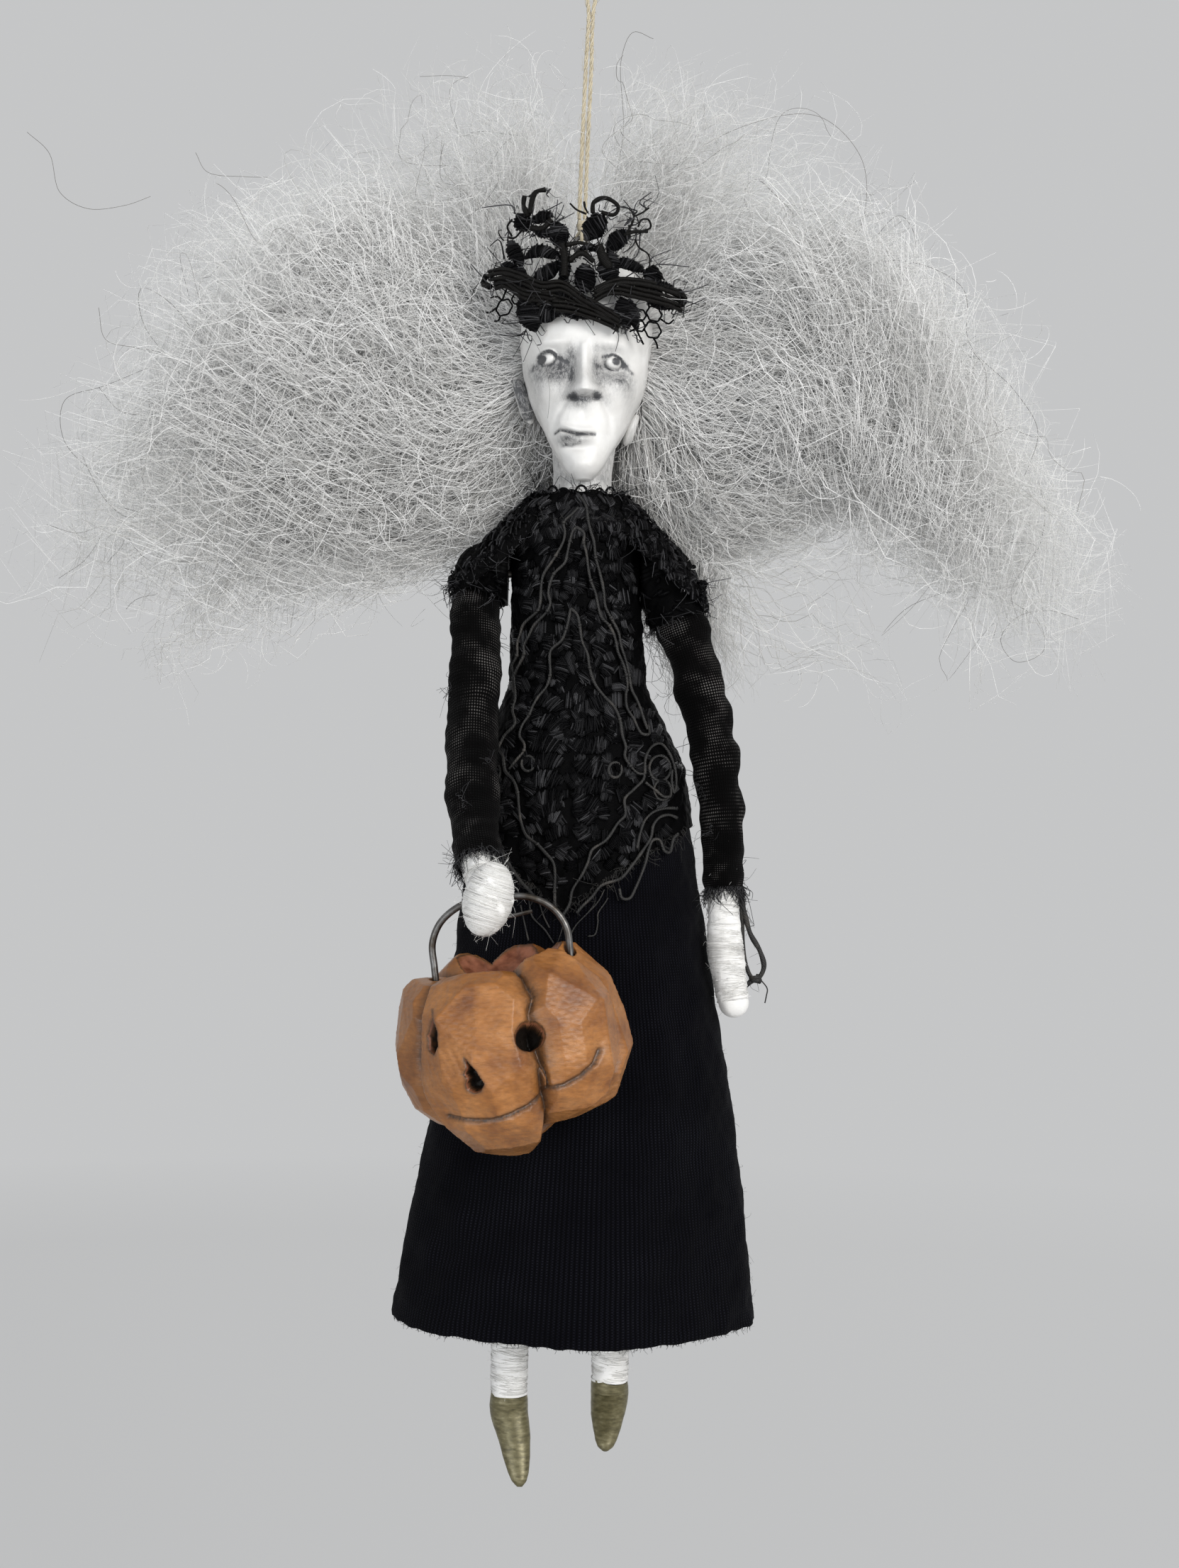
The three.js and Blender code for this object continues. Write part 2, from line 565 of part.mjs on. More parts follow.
function laceParts() {
  const yokeEnd = NECKLINE_Z - 0.52 * SHOULDER_DROP;
  const yoke = dressShell(NECKLINE_Z + 0.6, yokeEnd, SEAT_GAP, SEAT_GAP + LACE, 20);
  add("lace_collar", yoke.subtract(neck(SEAT_GAP)), BLACK_LACE);

  const panelTop = yokeEnd - SEAT_GAP;
  const tip = BODICE_END_Z - PANEL_TIP_DROP;
  const wide = HIP_WIDTH / 2 + HIP_SHIFT + LACE;
  const outline = new THREE.Shape();
  outline.moveTo(-0.3 * YOKE_WIDTH, panelTop);
  outline.lineTo(-0.36 * WAIST_WIDTH, WAIST_Z);
  outline.lineTo(-wide + 2, HIP_Z + 9);
  outline.lineTo(-wide + 2, HIP_Z + 1);
  outline.lineTo(-0.6 * wide, HIP_Z - 4);
  outline.lineTo(-1, tip);
  outline.lineTo(0.5 * wide, HIP_Z - 4);
  outline.lineTo(wide, HIP_Z);
  outline.lineTo(wide, HIP_Z + 9);
  outline.lineTo(0.42 * WAIST_WIDTH, WAIST_Z);
  outline.lineTo(0.3 * YOKE_WIDTH, panelTop);
  const cutter = new THREE.ExtrudeGeometry(outline, { depth: HIP_DEPTH, bevelEnabled: false });
  cutter.rotateX(Math.PI / 2);
  const sheet = dressShell(panelTop, tip - 1, SEAT_GAP, SEAT_GAP + LACE, 28);
  add("lace_panel", sheet.intersect(solid(cutter)), BLACK_LACE);
}

// Arms: points as shares of the arm's length from the shoulder, with the wound radius at each.
const armPath = (shoulder, shares) =>
  new THREE.CatmullRomCurve3([
    shoulder.clone(),
    ...shares.map((p) => shoulder.clone().addScaledVector(new THREE.Vector3(...p), ARM_LENGTH)),
  ]);
const rightArm = armPath(RIGHT_SHOULDER, [
  [-0.02, -0.008, -0.07],
  [-0.017, -0.075, -0.222],
  [-0.015, -0.175, -0.405],
  [-0.005, -0.292, -0.563],
  [0.018, -0.383, -0.672],
  [0.042, -0.467, -0.74],
]);
const leftArm = armPath(LEFT_SHOULDER, [
  [0.045, -0.005, -0.108],
  [0.09, -0.017, -0.247],
  [0.128, -0.033, -0.408],
  [0.152, -0.055, -0.607],
  [0.155, -0.07, -0.73],
  [0.162, -0.09, -0.863],
  [0.182, -0.108, -0.985],
]);
const RIGHT_RADII = [2.7, 2.7, 2.8, 2.8, 2.6, 2.3, 2];
const LEFT_RADII = [2.7, 2.7, 2.7, 2.6, 2.2, 1.95, HAND_WIDTH / 2, 0.42 * HAND_WIDTH];
const RIGHT_CUFF = 5 / 6;
const LEFT_CUFF = 5 / 7;
const FIST_AT = rightArm.getPoint(1);
const PAIL_AXIS = new THREE.Vector3(Math.cos(PAIL_TILT), 0, Math.sin(PAIL_TILT));
const PAIL_UP = new THREE.Vector3(-Math.sin(PAIL_TILT), 0, Math.cos(PAIL_TILT));

// The wire inside a limb: an eye round the cross wire, then along the limb to a little short of the
// path's end. Grown by a clearance, it is the bore that the wire lies in.
function armature(path, grow, short) {
  const pivot = path.getPoint(0);
  const length = path.getLength();
  const from = (EYE_LOOP_RADIUS - grow) / length;
  const to = 1 - (short - grow) / length;
  const curve = new THREE.CatmullRomCurve3(
    Array.from({ length: 9 }, (_, i) => path.getPointAt(lerp(from, to, i / 8))),
  );
  const stem = bar(curve, ARMATURE_WIRE + 2 * grow, 12);
  if (grow === 0) return stem.add(ring(pivot, EYE_LOOP_RADIUS, ARMATURE_WIRE, "x"));
  const width = ARMATURE_WIRE / 2 + grow;
  const pocket = 2 * (EYE_LOOP_RADIUS + width);
  return stem.add(crossBar(pivot.x - width, pivot.x + width, pivot.y, pivot.z, pocket));
}

function sleeve(path, radii, cuff) {
  const cloth = limb(path, radii, { grow: SEAT_GAP + CLOTH, to: cuff, flatEnd: true });
  return cloth.subtract(limb(path, radii, { grow: SEAT_GAP, to: 1 })).subtract(SHOULDER_BORE);
}

function shoulderLace(path, radii, side) {
  const under = SEAT_GAP + CLOTH + SEAT_GAP;
  const outer = limb(path, radii, { grow: under + LACE, to: 0.13, steps: 3, flatEnd: true });
  const inner = limb(path, radii, { grow: under, to: 0.3, steps: 4 });
  const face = path.getPoint(0).x - side * (radii[0] + SEAT_GAP);
  const [from, to] = [face - side * 0.5 * ARM_LENGTH, face].sort((a, b) => a - b);
  const high = 0.8 * YOKE_DEPTH;
  const inward = block(from, to, -high, high, SHOULDER_Z - 2 * high, SHOULDER_Z + high);
  return outer.subtract(inner).subtract(inward);
}

function fistBody(grow) {
  const radii = new THREE.Vector3(FIST_WIDTH / 2, 0.52 * FIST_WIDTH, FIST_HEIGHT / 2);
  return ellipsoid(FIST_AT, radii.addScalar(grow), FIST_TILT, 12, 8);
}

function armParts() {
  const boreRadius = HANDLE_WIRE / 2 + 2 * SEAT_GAP;
  const pailBore = new THREE.CylinderGeometry(boreRadius, boreRadius, 3 * FIST_WIDTH, 12);
  pailBore.rotateZ(Math.PI / 2).rotateY(-PAIL_TILT).translate(FIST_AT.x, FIST_AT.y, FIST_AT.z);
  const pinFrom = FIST_AT.clone().add(new THREE.Vector3(0.3 * FIST_WIDTH, -0.4, -2.4));
  const pinTo = FIST_AT.clone().add(new THREE.Vector3(0.9 * FIST_WIDTH, 0, -1.4));
  const pin = (diameter, deeper) => {
    const from = pinFrom.clone().lerp(pinTo, -deeper);
    return bar(new THREE.LineCurve3(from, pinTo), diameter, 1, 8);
  };
  const rightBore = armature(rightArm, SEAT_GAP, HAND_WIRE_SHORT).add(pin(PIN_WIRE + 2 * SEAT_GAP, 0.2));
  const rightWound = limb(rightArm, RIGHT_RADII).add(fistBody(0)).subtract(solid(pailBore));
  add("right_arm", rightWound.subtract(rightBore).subtract(SHOULDER_BORE), WHITE_COTTON);
  add("right_arm_wire", armature(rightArm, 0, HAND_WIRE_SHORT), STEEL_WIRE);
  add("right_sleeve", sleeve(rightArm, RIGHT_RADII, RIGHT_CUFF).subtract(fistBody(SEAT_GAP)), BLACK_CLOTH);
  add("right_shoulder_lace", shoulderLace(rightArm, RIGHT_RADII, -1), BLACK_LACE);
  add("grip_pin", pin(PIN_WIRE, 0), STEEL_WIRE);

  const leftBore = armature(leftArm, SEAT_GAP, HAND_WIRE_SHORT);
  add("left_arm", limb(leftArm, LEFT_RADII).subtract(leftBore).subtract(SHOULDER_BORE), WHITE_COTTON);
  add("left_arm_wire", armature(leftArm, 0, HAND_WIRE_SHORT), STEEL_WIRE);
  add("left_sleeve", sleeve(leftArm, LEFT_RADII, LEFT_CUFF), BLACK_CLOTH);
  add("left_shoulder_lace", shoulderLace(leftArm, LEFT_RADII, 1), BLACK_LACE);
  cuffTail();
}

function cuffTail() {
  const cuff = leftArm.getPoint(LEFT_CUFF);
  const edge = cuff.x + LEFT_RADII[5] + SEAT_GAP + CLOTH / 2;
  const under = cuff.z - SEAT_GAP;
  const tail = curveThrough([
    [edge, cuff.y + 0.4, under - 0.5],
    [edge + 1.1, cuff.y + 1.2, under - 2.4],
    [edge + 2.6, cuff.y + 1.6, under - 5.4],
    [edge + 3.9, cuff.y + 1.6, under - 8.6],
    [edge + 3.3, cuff.y + 1.4, under - 11.4],
    [edge + 1.6, cuff.y + 1.4, under - 13.8],
  ]);
  const knot = ellipsoid(tail.getPoint(0.8), new THREE.Vector3(1, 1, 0.9), 0, 8, 6);
  add("cuff_lace_tail", bar(tail, LACE, 10).add(knot), BLACK_LACE);
}

// Legs hang from the hip wire; each shoe is carried by the leg's wire.
function legParts(name, side, ankle, toe, radii) {
  const hip = new THREE.Vector3(side * LEG_X, 0, LEG_JOINT_Z);
  const path = new THREE.CatmullRomCurve3([
    hip,
    new THREE.Vector3(lerp(hip.x, ankle.x, 0.5), 0.4 * ankle.y, lerp(hip.z, ankle.z, 0.45)),
    new THREE.Vector3(lerp(hip.x, ankle.x, 0.9), 0.8 * ankle.y, lerp(hip.z, ankle.z, 0.85)),
    ankle,
  ]);
  const wound = limb(path, [radii.hip, radii.thigh, radii.calf, radii.ankle], { flatEnd: true });
  const intoShoe = ankle.clone().add(new THREE.Vector3(0, -0.2 * SHOE_WIRE, -SHOE_WIRE));
  const wirePath = new THREE.CatmullRomCurve3([...path.points, intoShoe]);
  const boreUp = path.getPoint(0);
  const bore = armature(wirePath, SEAT_GAP, SEAT_GAP);
  add(name + "_leg", wound.subtract(bore).subtract(HIP_BORE), WHITE_COTTON);
  add(name + "_leg_wire", armature(wirePath, 0, SEAT_GAP), STEEL_WIRE);
  const foot = new THREE.CatmullRomCurve3([
    ankle.clone().add(new THREE.Vector3(0, 0, -1.5)),
    ankle.clone().lerp(toe, 0.42).add(new THREE.Vector3(0, 0.5, -0.8)),
    toe.clone(),
  ]);
  const cut = ankle.z - SEAT_GAP;
  const wide = 0.8 * SHOE_LENGTH;
  const lid = block(ankle.x - wide, ankle.x + wide, -2 * wide, 2 * wide, cut, boreUp.z);
  const shoe = limb(foot, [radii.shoe, 0.94 * radii.shoe, 0.34 * radii.shoe], { steps: 8 });
  add(name + "_shoe", shoe.subtract(lid).subtract(bore), GOLD_PAINT);
}

// Pumpkin: grooves at these angles round its stem axis, measured from the front towards its left.
const GROOVES = [-114, -54, 16, 76, 134, 192].map((angle) => degToRad(angle));

function lobe(turn) {
  const circle = 2 * Math.PI;
  const offsets = GROOVES.map((g) => (((turn - g) % circle) + circle) % circle);
  const before = Math.min(...offsets);
  const after = circle - Math.max(...offsets);
  return Math.sin((Math.PI * before) / (before + after));
}

// Rows of [share of the half-width, share of the height from the middle] from the base to the dish.
const pailRows = [
  [0.3, -0.5],
  [0.62, -0.44],
  [0.86, -0.28],
  [0.99, -0.04],
  [0.97, 0.16],
  [0.85, 0.34],
  [0.68, 0.46],
  [0.5, 0.5],
];

function pailBody() {
  const sides = 36;
  const dish = (share, depth) => [share, 0.5 - (depth * DISH_DEPTH) / PAIL_HEIGHT];
  const rows = [...pailRows, dish(0.32, 0.6), dish(0.12, 1)];
  return loft(
    rows.map(([share, height]) =>
      Array.from({ length: sides }, (_, i) => {
        const turn = (2 * Math.PI * i) / sides;
        const swell = 1 - GROOVE_DEPTH * (1 - Math.sqrt(lobe(turn)));
        const crown = height > 0.3 ? 1 - 0.5 * GROOVE_DEPTH * (1 - lobe(turn)) : 1;
        return new THREE.Vector3(
          (PAIL_WIDTH / 2) * share * swell * Math.sin(turn),
          (-PAIL_DEPTH / 2) * share * swell * Math.cos(turn),
          PAIL_HEIGHT * height * crown,
        );
      }),
    ),
  );
}

// A cutter that enters the pumpkin's side at an angle round the stem and a height.
function faceCut(turn, rise, tool) {
  const reach = Math.hypot((PAIL_WIDTH / 2) * Math.sin(turn), (PAIL_DEPTH / 2) * Math.cos(turn));
  tool.translate(0, -0.92 * reach, rise).rotateZ(turn);
  return solid(tool);
}

function pailParts() {
  const pail = new THREE.Group();
  pail.position.copy(FIST_AT).addScaledVector(PAIL_AXIS, PAIL_SHIFT).addScaledVector(PAIL_UP, -PAIL_DROP);
  pail.rotation.y = -PAIL_TILT;
  root.add(pail);

  const hole = (sides) => new THREE.CylinderGeometry(FACE_EYE_RADIUS, FACE_EYE_RADIUS, 2 * FACE_CUT, sides);
  const nose = hole(3).scale(0.9, 1, 1.4);
  let body = pailBody();
  body = body.subtract(faceCut(degToRad(12), 3, hole(14)));
  body = body.subtract(faceCut(degToRad(-46), 3.5, hole(14)));
  body = body.subtract(faceCut(degToRad(-19), -1, nose));
  const half = HANDLE_SPAN / 2;
  for (const side of [-1, 1]) {
    const radius = HANDLE_WIRE / 2 + SEAT_GAP;
    const seat = new THREE.CylinderGeometry(radius, radius, PAIL_HEIGHT, 10);
    seat.rotateX(Math.PI / 2).translate(side * half, 0, HANDLE_SEAT - SEAT_GAP + PAIL_HEIGHT / 2);
    body = body.subtract(solid(seat));
  }
  add("pumpkin", body, PUMPKIN_WOOD, pail);

  const arch = (side) => [
    [side * half, 0, HANDLE_SEAT],
    [side * half, 0, 0.6 * PAIL_DROP],
    [side * 0.985 * half, 0, 0.76 * PAIL_DROP],
    [side * 0.82 * half, 0, 0.89 * PAIL_DROP],
    [side * 0.47 * half, 0, 0.985 * PAIL_DROP],
  ];
  const route = curveThrough([...arch(-1), [-PAIL_SHIFT, 0, PAIL_DROP], ...arch(1).reverse()]);
  add("pumpkin_handle", bar(route, HANDLE_WIRE, 30, 8), STEEL_WIRE, pail);
}

// Hair: plain closed masses that hold the space of the combed-out locks.
function hairParts() {
  const temple = SKULL_Z - 0.45 * HEAD_HEIGHT;
  const right = HAIR_REACH_RIGHT;
  const left = HAIR_REACH_LEFT;
  const sideRow = (along, back, drop, thick, high) => [
    along,
    back * HAIR_THICKNESS,
    temple - drop * HAIR_HEIGHT,
    (thick * HAIR_THICKNESS) / 2,
    (high * HAIR_HEIGHT) / 2,
  ];
  const rightRows = [
    sideRow(-0.118 * right, 0.333, 0, 0.292, 0.353),
    sideRow(-0.163 * right, 0.333, -0.01, 0.517, 0.549),
    sideRow(-0.27 * right, 0.292, 0.059, 0.792, 0.843),
    sideRow(-0.435 * right, 0.208, 0.078, 1, 1),
    sideRow(-0.61 * right, 0.167, 0.147, 1, 0.961),
    sideRow(-0.775 * right, 0.125, 0.245, 0.917, 0.882),
    sideRow(-0.91 * right, 0.104, 0.373, 0.708, 0.686),
    sideRow(-right, 0.083, 0.412, 0.417, 0.353),
  ];
  const leftRows = [
    sideRow(0.13 * left, 0.333, 0, 0.292, 0.353),
    sideRow(0.185 * left, 0.333, 0, 0.5, 0.549),
    sideRow(0.26 * left, 0.292, 0.02, 0.75, 0.784),
    sideRow(0.4 * left, 0.208, 0, 0.917, 0.804),
    sideRow(0.55 * left, 0.188, 0.029, 1, 0.765),
    sideRow(0.7 * left, 0.167, 0.206, 0.958, 0.765),
    sideRow(0.82 * left, 0.146, 0.333, 0.833, 0.667),
    sideRow(0.92 * left, 0.125, 0.451, 0.625, 0.451),
    sideRow(left, 0.125, 0.588, 0.333, 0.196),
  ];
  const backRow = (z, across, back, wide, deep) => [
    z,
    across * HEAD_WIDTH,
    back * HAIR_THICKNESS,
    wide * HEAD_WIDTH,
    deep * HEAD_WIDTH,
  ];
  const backRows = [
    backRow(SKULL_Z + 0.15 * HEAD_HEIGHT, 0.022, 0.4, 0.161, 0.161),
    backRow(SKULL_Z + 0.03 * HEAD_HEIGHT, 0.022, 0.4, 0.43, 0.301),
    backRow(SKULL_Z - 0.1 * HEAD_HEIGHT, 0.022, 0.417, 0.511, 0.376),
    backRow(SKULL_Z - 0.36 * HEAD_HEIGHT, 0.027, 0.438, 0.538, 0.403),
    backRow(SKULL_Z - 0.68 * HEAD_HEIGHT, 0.043, 0.479, 0.538, 0.312),
    backRow(CHIN_Z + 0.03 * HEAD_HEIGHT, 0.108, 0.5, 0.565, 0.204),
    backRow(NECKLINE_Z - 0.277 * HAIR_LOCK_DROP, 0.323, 0.5, 0.511, 0.172),
    backRow(NECKLINE_Z - 0.66 * HAIR_LOCK_DROP, 0.591, 0.479, 0.376, 0.129),
    backRow(NECKLINE_Z - HAIR_LOCK_DROP, 0.753, 0.438, 0.161, 0.081),
  ];
  const clearHead = () => skull(SEAT_GAP).add(neck(SEAT_GAP));
  const back = (grow) => stack(backRows, 16, grow);
  const earRadii = new THREE.Vector3(2.2, 2.6, EAR_HEIGHT / 2 + 1.6);
  const ears = [-1, 1].map((side) => {
    const at = new THREE.Vector3(HEAD_X + side * 0.485 * HEAD_WIDTH, 1.8, SKULL_Z - 0.6 * HEAD_HEIGHT);
    return ellipsoid(at, earRadii, 0, 10, 8);
  });
  const trim = (body) => body.subtract(clearHead()).subtract(ears[0]).subtract(ears[1]);
  add("hair_back", trim(back(0)), MOHAIR);
  add("hair_right", trim(stack(rightRows, 16, 0, true)).subtract(back(SEAT_GAP)), MOHAIR);
  add("hair_left", trim(stack(leftRows, 16, 0, true)).subtract(back(SEAT_GAP)), MOHAIR);
}

hangingParts();
headParts();
crownParts();
hairParts();
bodyParts();
laceParts();
armParts();
const ankleZ = LEG_JOINT_Z - LEG_LENGTH;
const legRadii = { hip: 2.7, thigh: 3.0, calf: 2.75, ankle: 2.5, shoe: 2.6 };
legParts(
  "right",
  -1,
  new THREE.Vector3(-LEG_X + 0.2, -1.6, ankleZ),
  new THREE.Vector3(-LEG_X + 2.1, -5.4, ankleZ - SHOE_LENGTH + 0.7),
  legRadii,
);
legParts(
  "left",
  1,
  new THREE.Vector3(LEG_X - 0.3, -1.6, ankleZ + 2.2),
  new THREE.Vector3(LEG_X - 0.8, -8, ankleZ - 0.68 * SHOE_LENGTH + 2.9),
  legRadii,
);
pailParts();

export default root;
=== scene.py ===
"""Looks of the hanging witch doll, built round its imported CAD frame. Lengths in the code are
millimetres in the row frame until a mesh is made. The doll faces -Y and +X is its own left."""

import math

import bpy
import numpy as np
from mathutils import Matrix, Vector


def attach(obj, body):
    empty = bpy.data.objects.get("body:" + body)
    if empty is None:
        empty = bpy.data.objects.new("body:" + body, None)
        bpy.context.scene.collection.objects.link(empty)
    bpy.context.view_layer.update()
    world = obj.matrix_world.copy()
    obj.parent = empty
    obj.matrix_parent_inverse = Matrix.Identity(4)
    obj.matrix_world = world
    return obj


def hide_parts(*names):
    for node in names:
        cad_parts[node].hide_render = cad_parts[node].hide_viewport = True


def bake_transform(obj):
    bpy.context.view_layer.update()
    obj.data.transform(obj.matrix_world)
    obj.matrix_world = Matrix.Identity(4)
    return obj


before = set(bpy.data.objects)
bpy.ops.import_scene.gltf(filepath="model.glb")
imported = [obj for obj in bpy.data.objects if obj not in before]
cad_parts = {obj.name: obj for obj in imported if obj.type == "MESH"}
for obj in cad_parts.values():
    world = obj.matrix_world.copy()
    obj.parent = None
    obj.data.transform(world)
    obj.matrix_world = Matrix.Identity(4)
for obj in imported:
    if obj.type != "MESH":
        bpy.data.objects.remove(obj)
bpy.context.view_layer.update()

MM = 0.001
TAU = 2 * math.pi
CORE_UV = "cloth"
FAR = 1e9

# Shapes


def circle(count):
    """Angles once round, evenly spaced."""
    return np.linspace(0, TAU, count, endpoint=False)


def unit(v):
    return v / np.maximum(np.linalg.norm(v, axis=-1, keepdims=True), 1e-12)


def smooth(x, low, high):
    t = np.clip((np.asarray(x, float) - low) / (high - low), 0, 1)
    return t * t * (3 - 2 * t)


def spline(points, t):
    """A centripetal Catmull-Rom curve through points, read at t from 0 to 1."""
    p = np.asarray(points, float)
    last = len(p) - 1
    ends = np.vstack([2 * p[0] - p[1], p, 2 * p[-1] - p[-2]])
    s = np.clip(np.asarray(t, float), 0, 1) * last
    i = np.minimum(s.astype(int), last - 1)
    w = (s - i)[:, None]
    a, b, c, d = ends[i], ends[i + 1], ends[i + 2], ends[i + 3]

    def gap(u, v):
        return np.maximum(np.linalg.norm(v - u, axis=1, keepdims=True) ** 0.5, 1e-4)

    g0, g1, g2 = gap(a, b), gap(b, c), gap(c, d)
    m1 = ((b - a) / g0 - (c - a) / (g0 + g1) + (c - b) / g1) * g1
    m2 = ((c - b) / g1 - (d - b) / (g1 + g2) + (d - c) / g2) * g1
    k2 = -3 * b + 3 * c - 2 * m1 - m2
    k3 = 2 * b - 2 * c + m1 + m2
    return b + m1 * w + k2 * w**2 + k3 * w**3


def even(points, count):
    """The same curve read at count points of even spacing."""
    fine = spline(points, np.linspace(0, 1, 40 * len(points)))
    run = run_along(fine[None])[0]
    at = np.linspace(0, run[-1], count)
    return np.stack([np.interp(at, run, fine[:, k]) for k in range(fine.shape[1])], 1)


def wobble(p, size, seed, octaves=3):
    """Smooth noise from about -1 to 1, whose largest waves are about size long."""
    rng = np.random.default_rng(seed)
    total = np.zeros(p.shape[:-1])
    for octave in range(octaves):
        for _ in range(5):
            way = unit(rng.normal(size=p.shape[-1])) * TAU / size * 2**octave * rng.uniform(0.7, 1.3)
            total += np.sin(p @ way + rng.uniform(0, TAU)) * 0.5**octave * 0.4
    return total


def frames(paths):
    """Tangents and two cross directions that turn as little as they can, for (n, k, 3) paths."""
    tangent = unit(np.gradient(paths, axis=1))
    guess = np.where(np.abs(tangent[:, :1, 2:]) < 0.8, [[[0.0, 0.0, 1.0]]], [[[0.0, 1.0, 0.0]]])[:, 0]
    side = np.zeros_like(paths)
    for j in range(paths.shape[1]):
        t = tangent[:, j]
        guess = unit(guess - (guess * t).sum(1, keepdims=True) * t)
        side[:, j] = guess
    return tangent, side, np.cross(tangent, side)


def grid_faces(rows, cols, wrap):
    """Quads of a (rows, cols) grid, and the (column, row) of each quad's corners."""
    i, j = np.meshgrid(np.arange(rows - 1), np.arange(cols if wrap else cols - 1), indexing="ij")
    i, j = i.ravel(), j.ravel()
    k = (j + 1) % cols
    quads = np.stack([i * cols + j, i * cols + k, (i + 1) * cols + k, (i + 1) * cols + j], 1)
    corners = ((0, 0), (1, 0), (1, 1), (0, 1))
    cell = np.stack([np.stack([j + across, i + along], 1) for across, along in corners], 1)
    return quads, cell


def surface(points, tone=None, cell=(1.0, 1.0)):
    """A closed part from a (rows, cols, 3) grid that wraps round, whose UV counts cells times cell."""
    rows, cols, _ = points.shape
    quads, corner = grid_faces(rows, cols, True)
    faces, uvs = [quads], [corner * np.array(cell)]
    for end in (np.arange(cols)[::-1], np.arange(cols) + (rows - 1) * cols):
        faces.append(end[None])
        uvs.append(np.zeros((1, cols, 2)))
    tone = np.zeros(rows * cols) if tone is None else np.broadcast_to(tone, (rows, cols)).ravel()
    return {"verts": points.reshape(-1, 3), "faces": faces, "uvs": uvs, "tone": tone}


def length_of(points):
    """Length of a line straight from point to point."""
    return np.linalg.norm(np.diff(np.asarray(points, float), axis=0), axis=1).sum()


def flat_curve(points, count):
    """A curve through x and z points, read evenly."""
    return even([(x, z, 0) for x, z in points], count)[:, :2]


def arc_line(x, z, wide, high, turn):
    """Points of an oval round x and z at each angle of turn."""
    return [(x + wide * math.cos(a), z + high * math.sin(a)) for a in turn]


def run_along(paths):
    """Distance along each of (n, k, 3) paths, from its start to each of its points."""
    steps = np.linalg.norm(np.diff(paths, axis=1), axis=2)
    return np.concatenate([np.zeros((len(paths), 1)), np.cumsum(steps, 1)], 1)


def tubes(paths, radii, sides=3, tone=None):
    """Closed tubes along (n, k, 3) paths, or along one (k, 3) path."""
    paths = np.asarray(paths, float)
    if paths.ndim == 2:
        paths = paths[None]
    n, k, _ = paths.shape
    radii = np.broadcast_to(np.asarray(radii, float), (n, k))
    _, side, up = frames(paths)
    turn = circle(sides)
    ring = side[:, :, None] * np.cos(turn)[:, None] + up[:, :, None] * np.sin(turn)[:, None]
    verts = (paths[:, :, None] + radii[:, :, None, None] * ring).reshape(-1, 3)
    quads, corner = grid_faces(k, sides, True)
    start = (np.arange(n) * k * sides)[:, None, None]
    cap = np.arange(sides)
    faces = [
        (quads[None] + start).reshape(-1, 4),
        (cap[::-1][None] + start[:, :, 0]).reshape(-1, sides),
        (cap[None] + (k - 1) * sides + start[:, :, 0]).reshape(-1, sides),
    ]
    run = run_along(paths)
    around = corner[None, :, :, 0] * (radii.mean(1) * TAU / sides)[:, None, None]
    along = run[np.arange(n)[:, None, None], corner[None, :, :, 1]]
    uvs = [np.stack([np.broadcast_to(around, along.shape), along], -1).reshape(-1, 4, 2)]
    uvs += [np.zeros((n, sides, 2))] * 2
    tone = np.zeros(n) if tone is None else np.broadcast_to(tone, (n,))
    return {"verts": verts, "faces": faces, "uvs": uvs, "tone": np.repeat(tone, k * sides)}


def build(name, parts, material, body, nodes):
    """One Blender mesh from parts. It rides on body, or is left unattached where body is None."""
    verts = np.concatenate([p["verts"] for p in parts]) * MM
    tone = np.concatenate([p["tone"] for p in parts])
    loops, sizes, uvs = [], [], []
    base = 0
    for p in parts:
        for faces, uv in zip(p["faces"], p["uvs"]):
            loops.append((faces + base).ravel())
            sizes.append(np.full(len(faces), faces.shape[1]))
            uvs.append(uv.reshape(-1, 2))
        base += len(p["verts"])
    loops, sizes, uvs = np.concatenate(loops), np.concatenate(sizes), np.concatenate(uvs)
    mesh = bpy.data.meshes.new(name)
    mesh.vertices.add(len(verts))
    mesh.vertices.foreach_set("co", verts.ravel())
    mesh.loops.add(len(loops))
    mesh.loops.foreach_set("vertex_index", loops)
    mesh.polygons.add(len(sizes))
    mesh.polygons.foreach_set("loop_start", np.r_[0, np.cumsum(sizes)[:-1]])
    mesh.polygons.foreach_set("use_smooth", np.ones(len(sizes), bool))
    mesh.update(calc_edges=True)
    layer = mesh.uv_layers.new(name=CORE_UV)
    layer.data.foreach_set("uv", uvs.ravel())
    shade = mesh.attributes.new("tone", "FLOAT", "POINT")
    shade.data.foreach_set("value", tone)
    mesh.materials.append(material)
    obj = bpy.data.objects.new(name, mesh)
    bpy.context.scene.collection.objects.link(obj)
    if body:
        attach(obj, body)
    if nodes:
        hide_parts(*nodes)
    return obj


# Materials


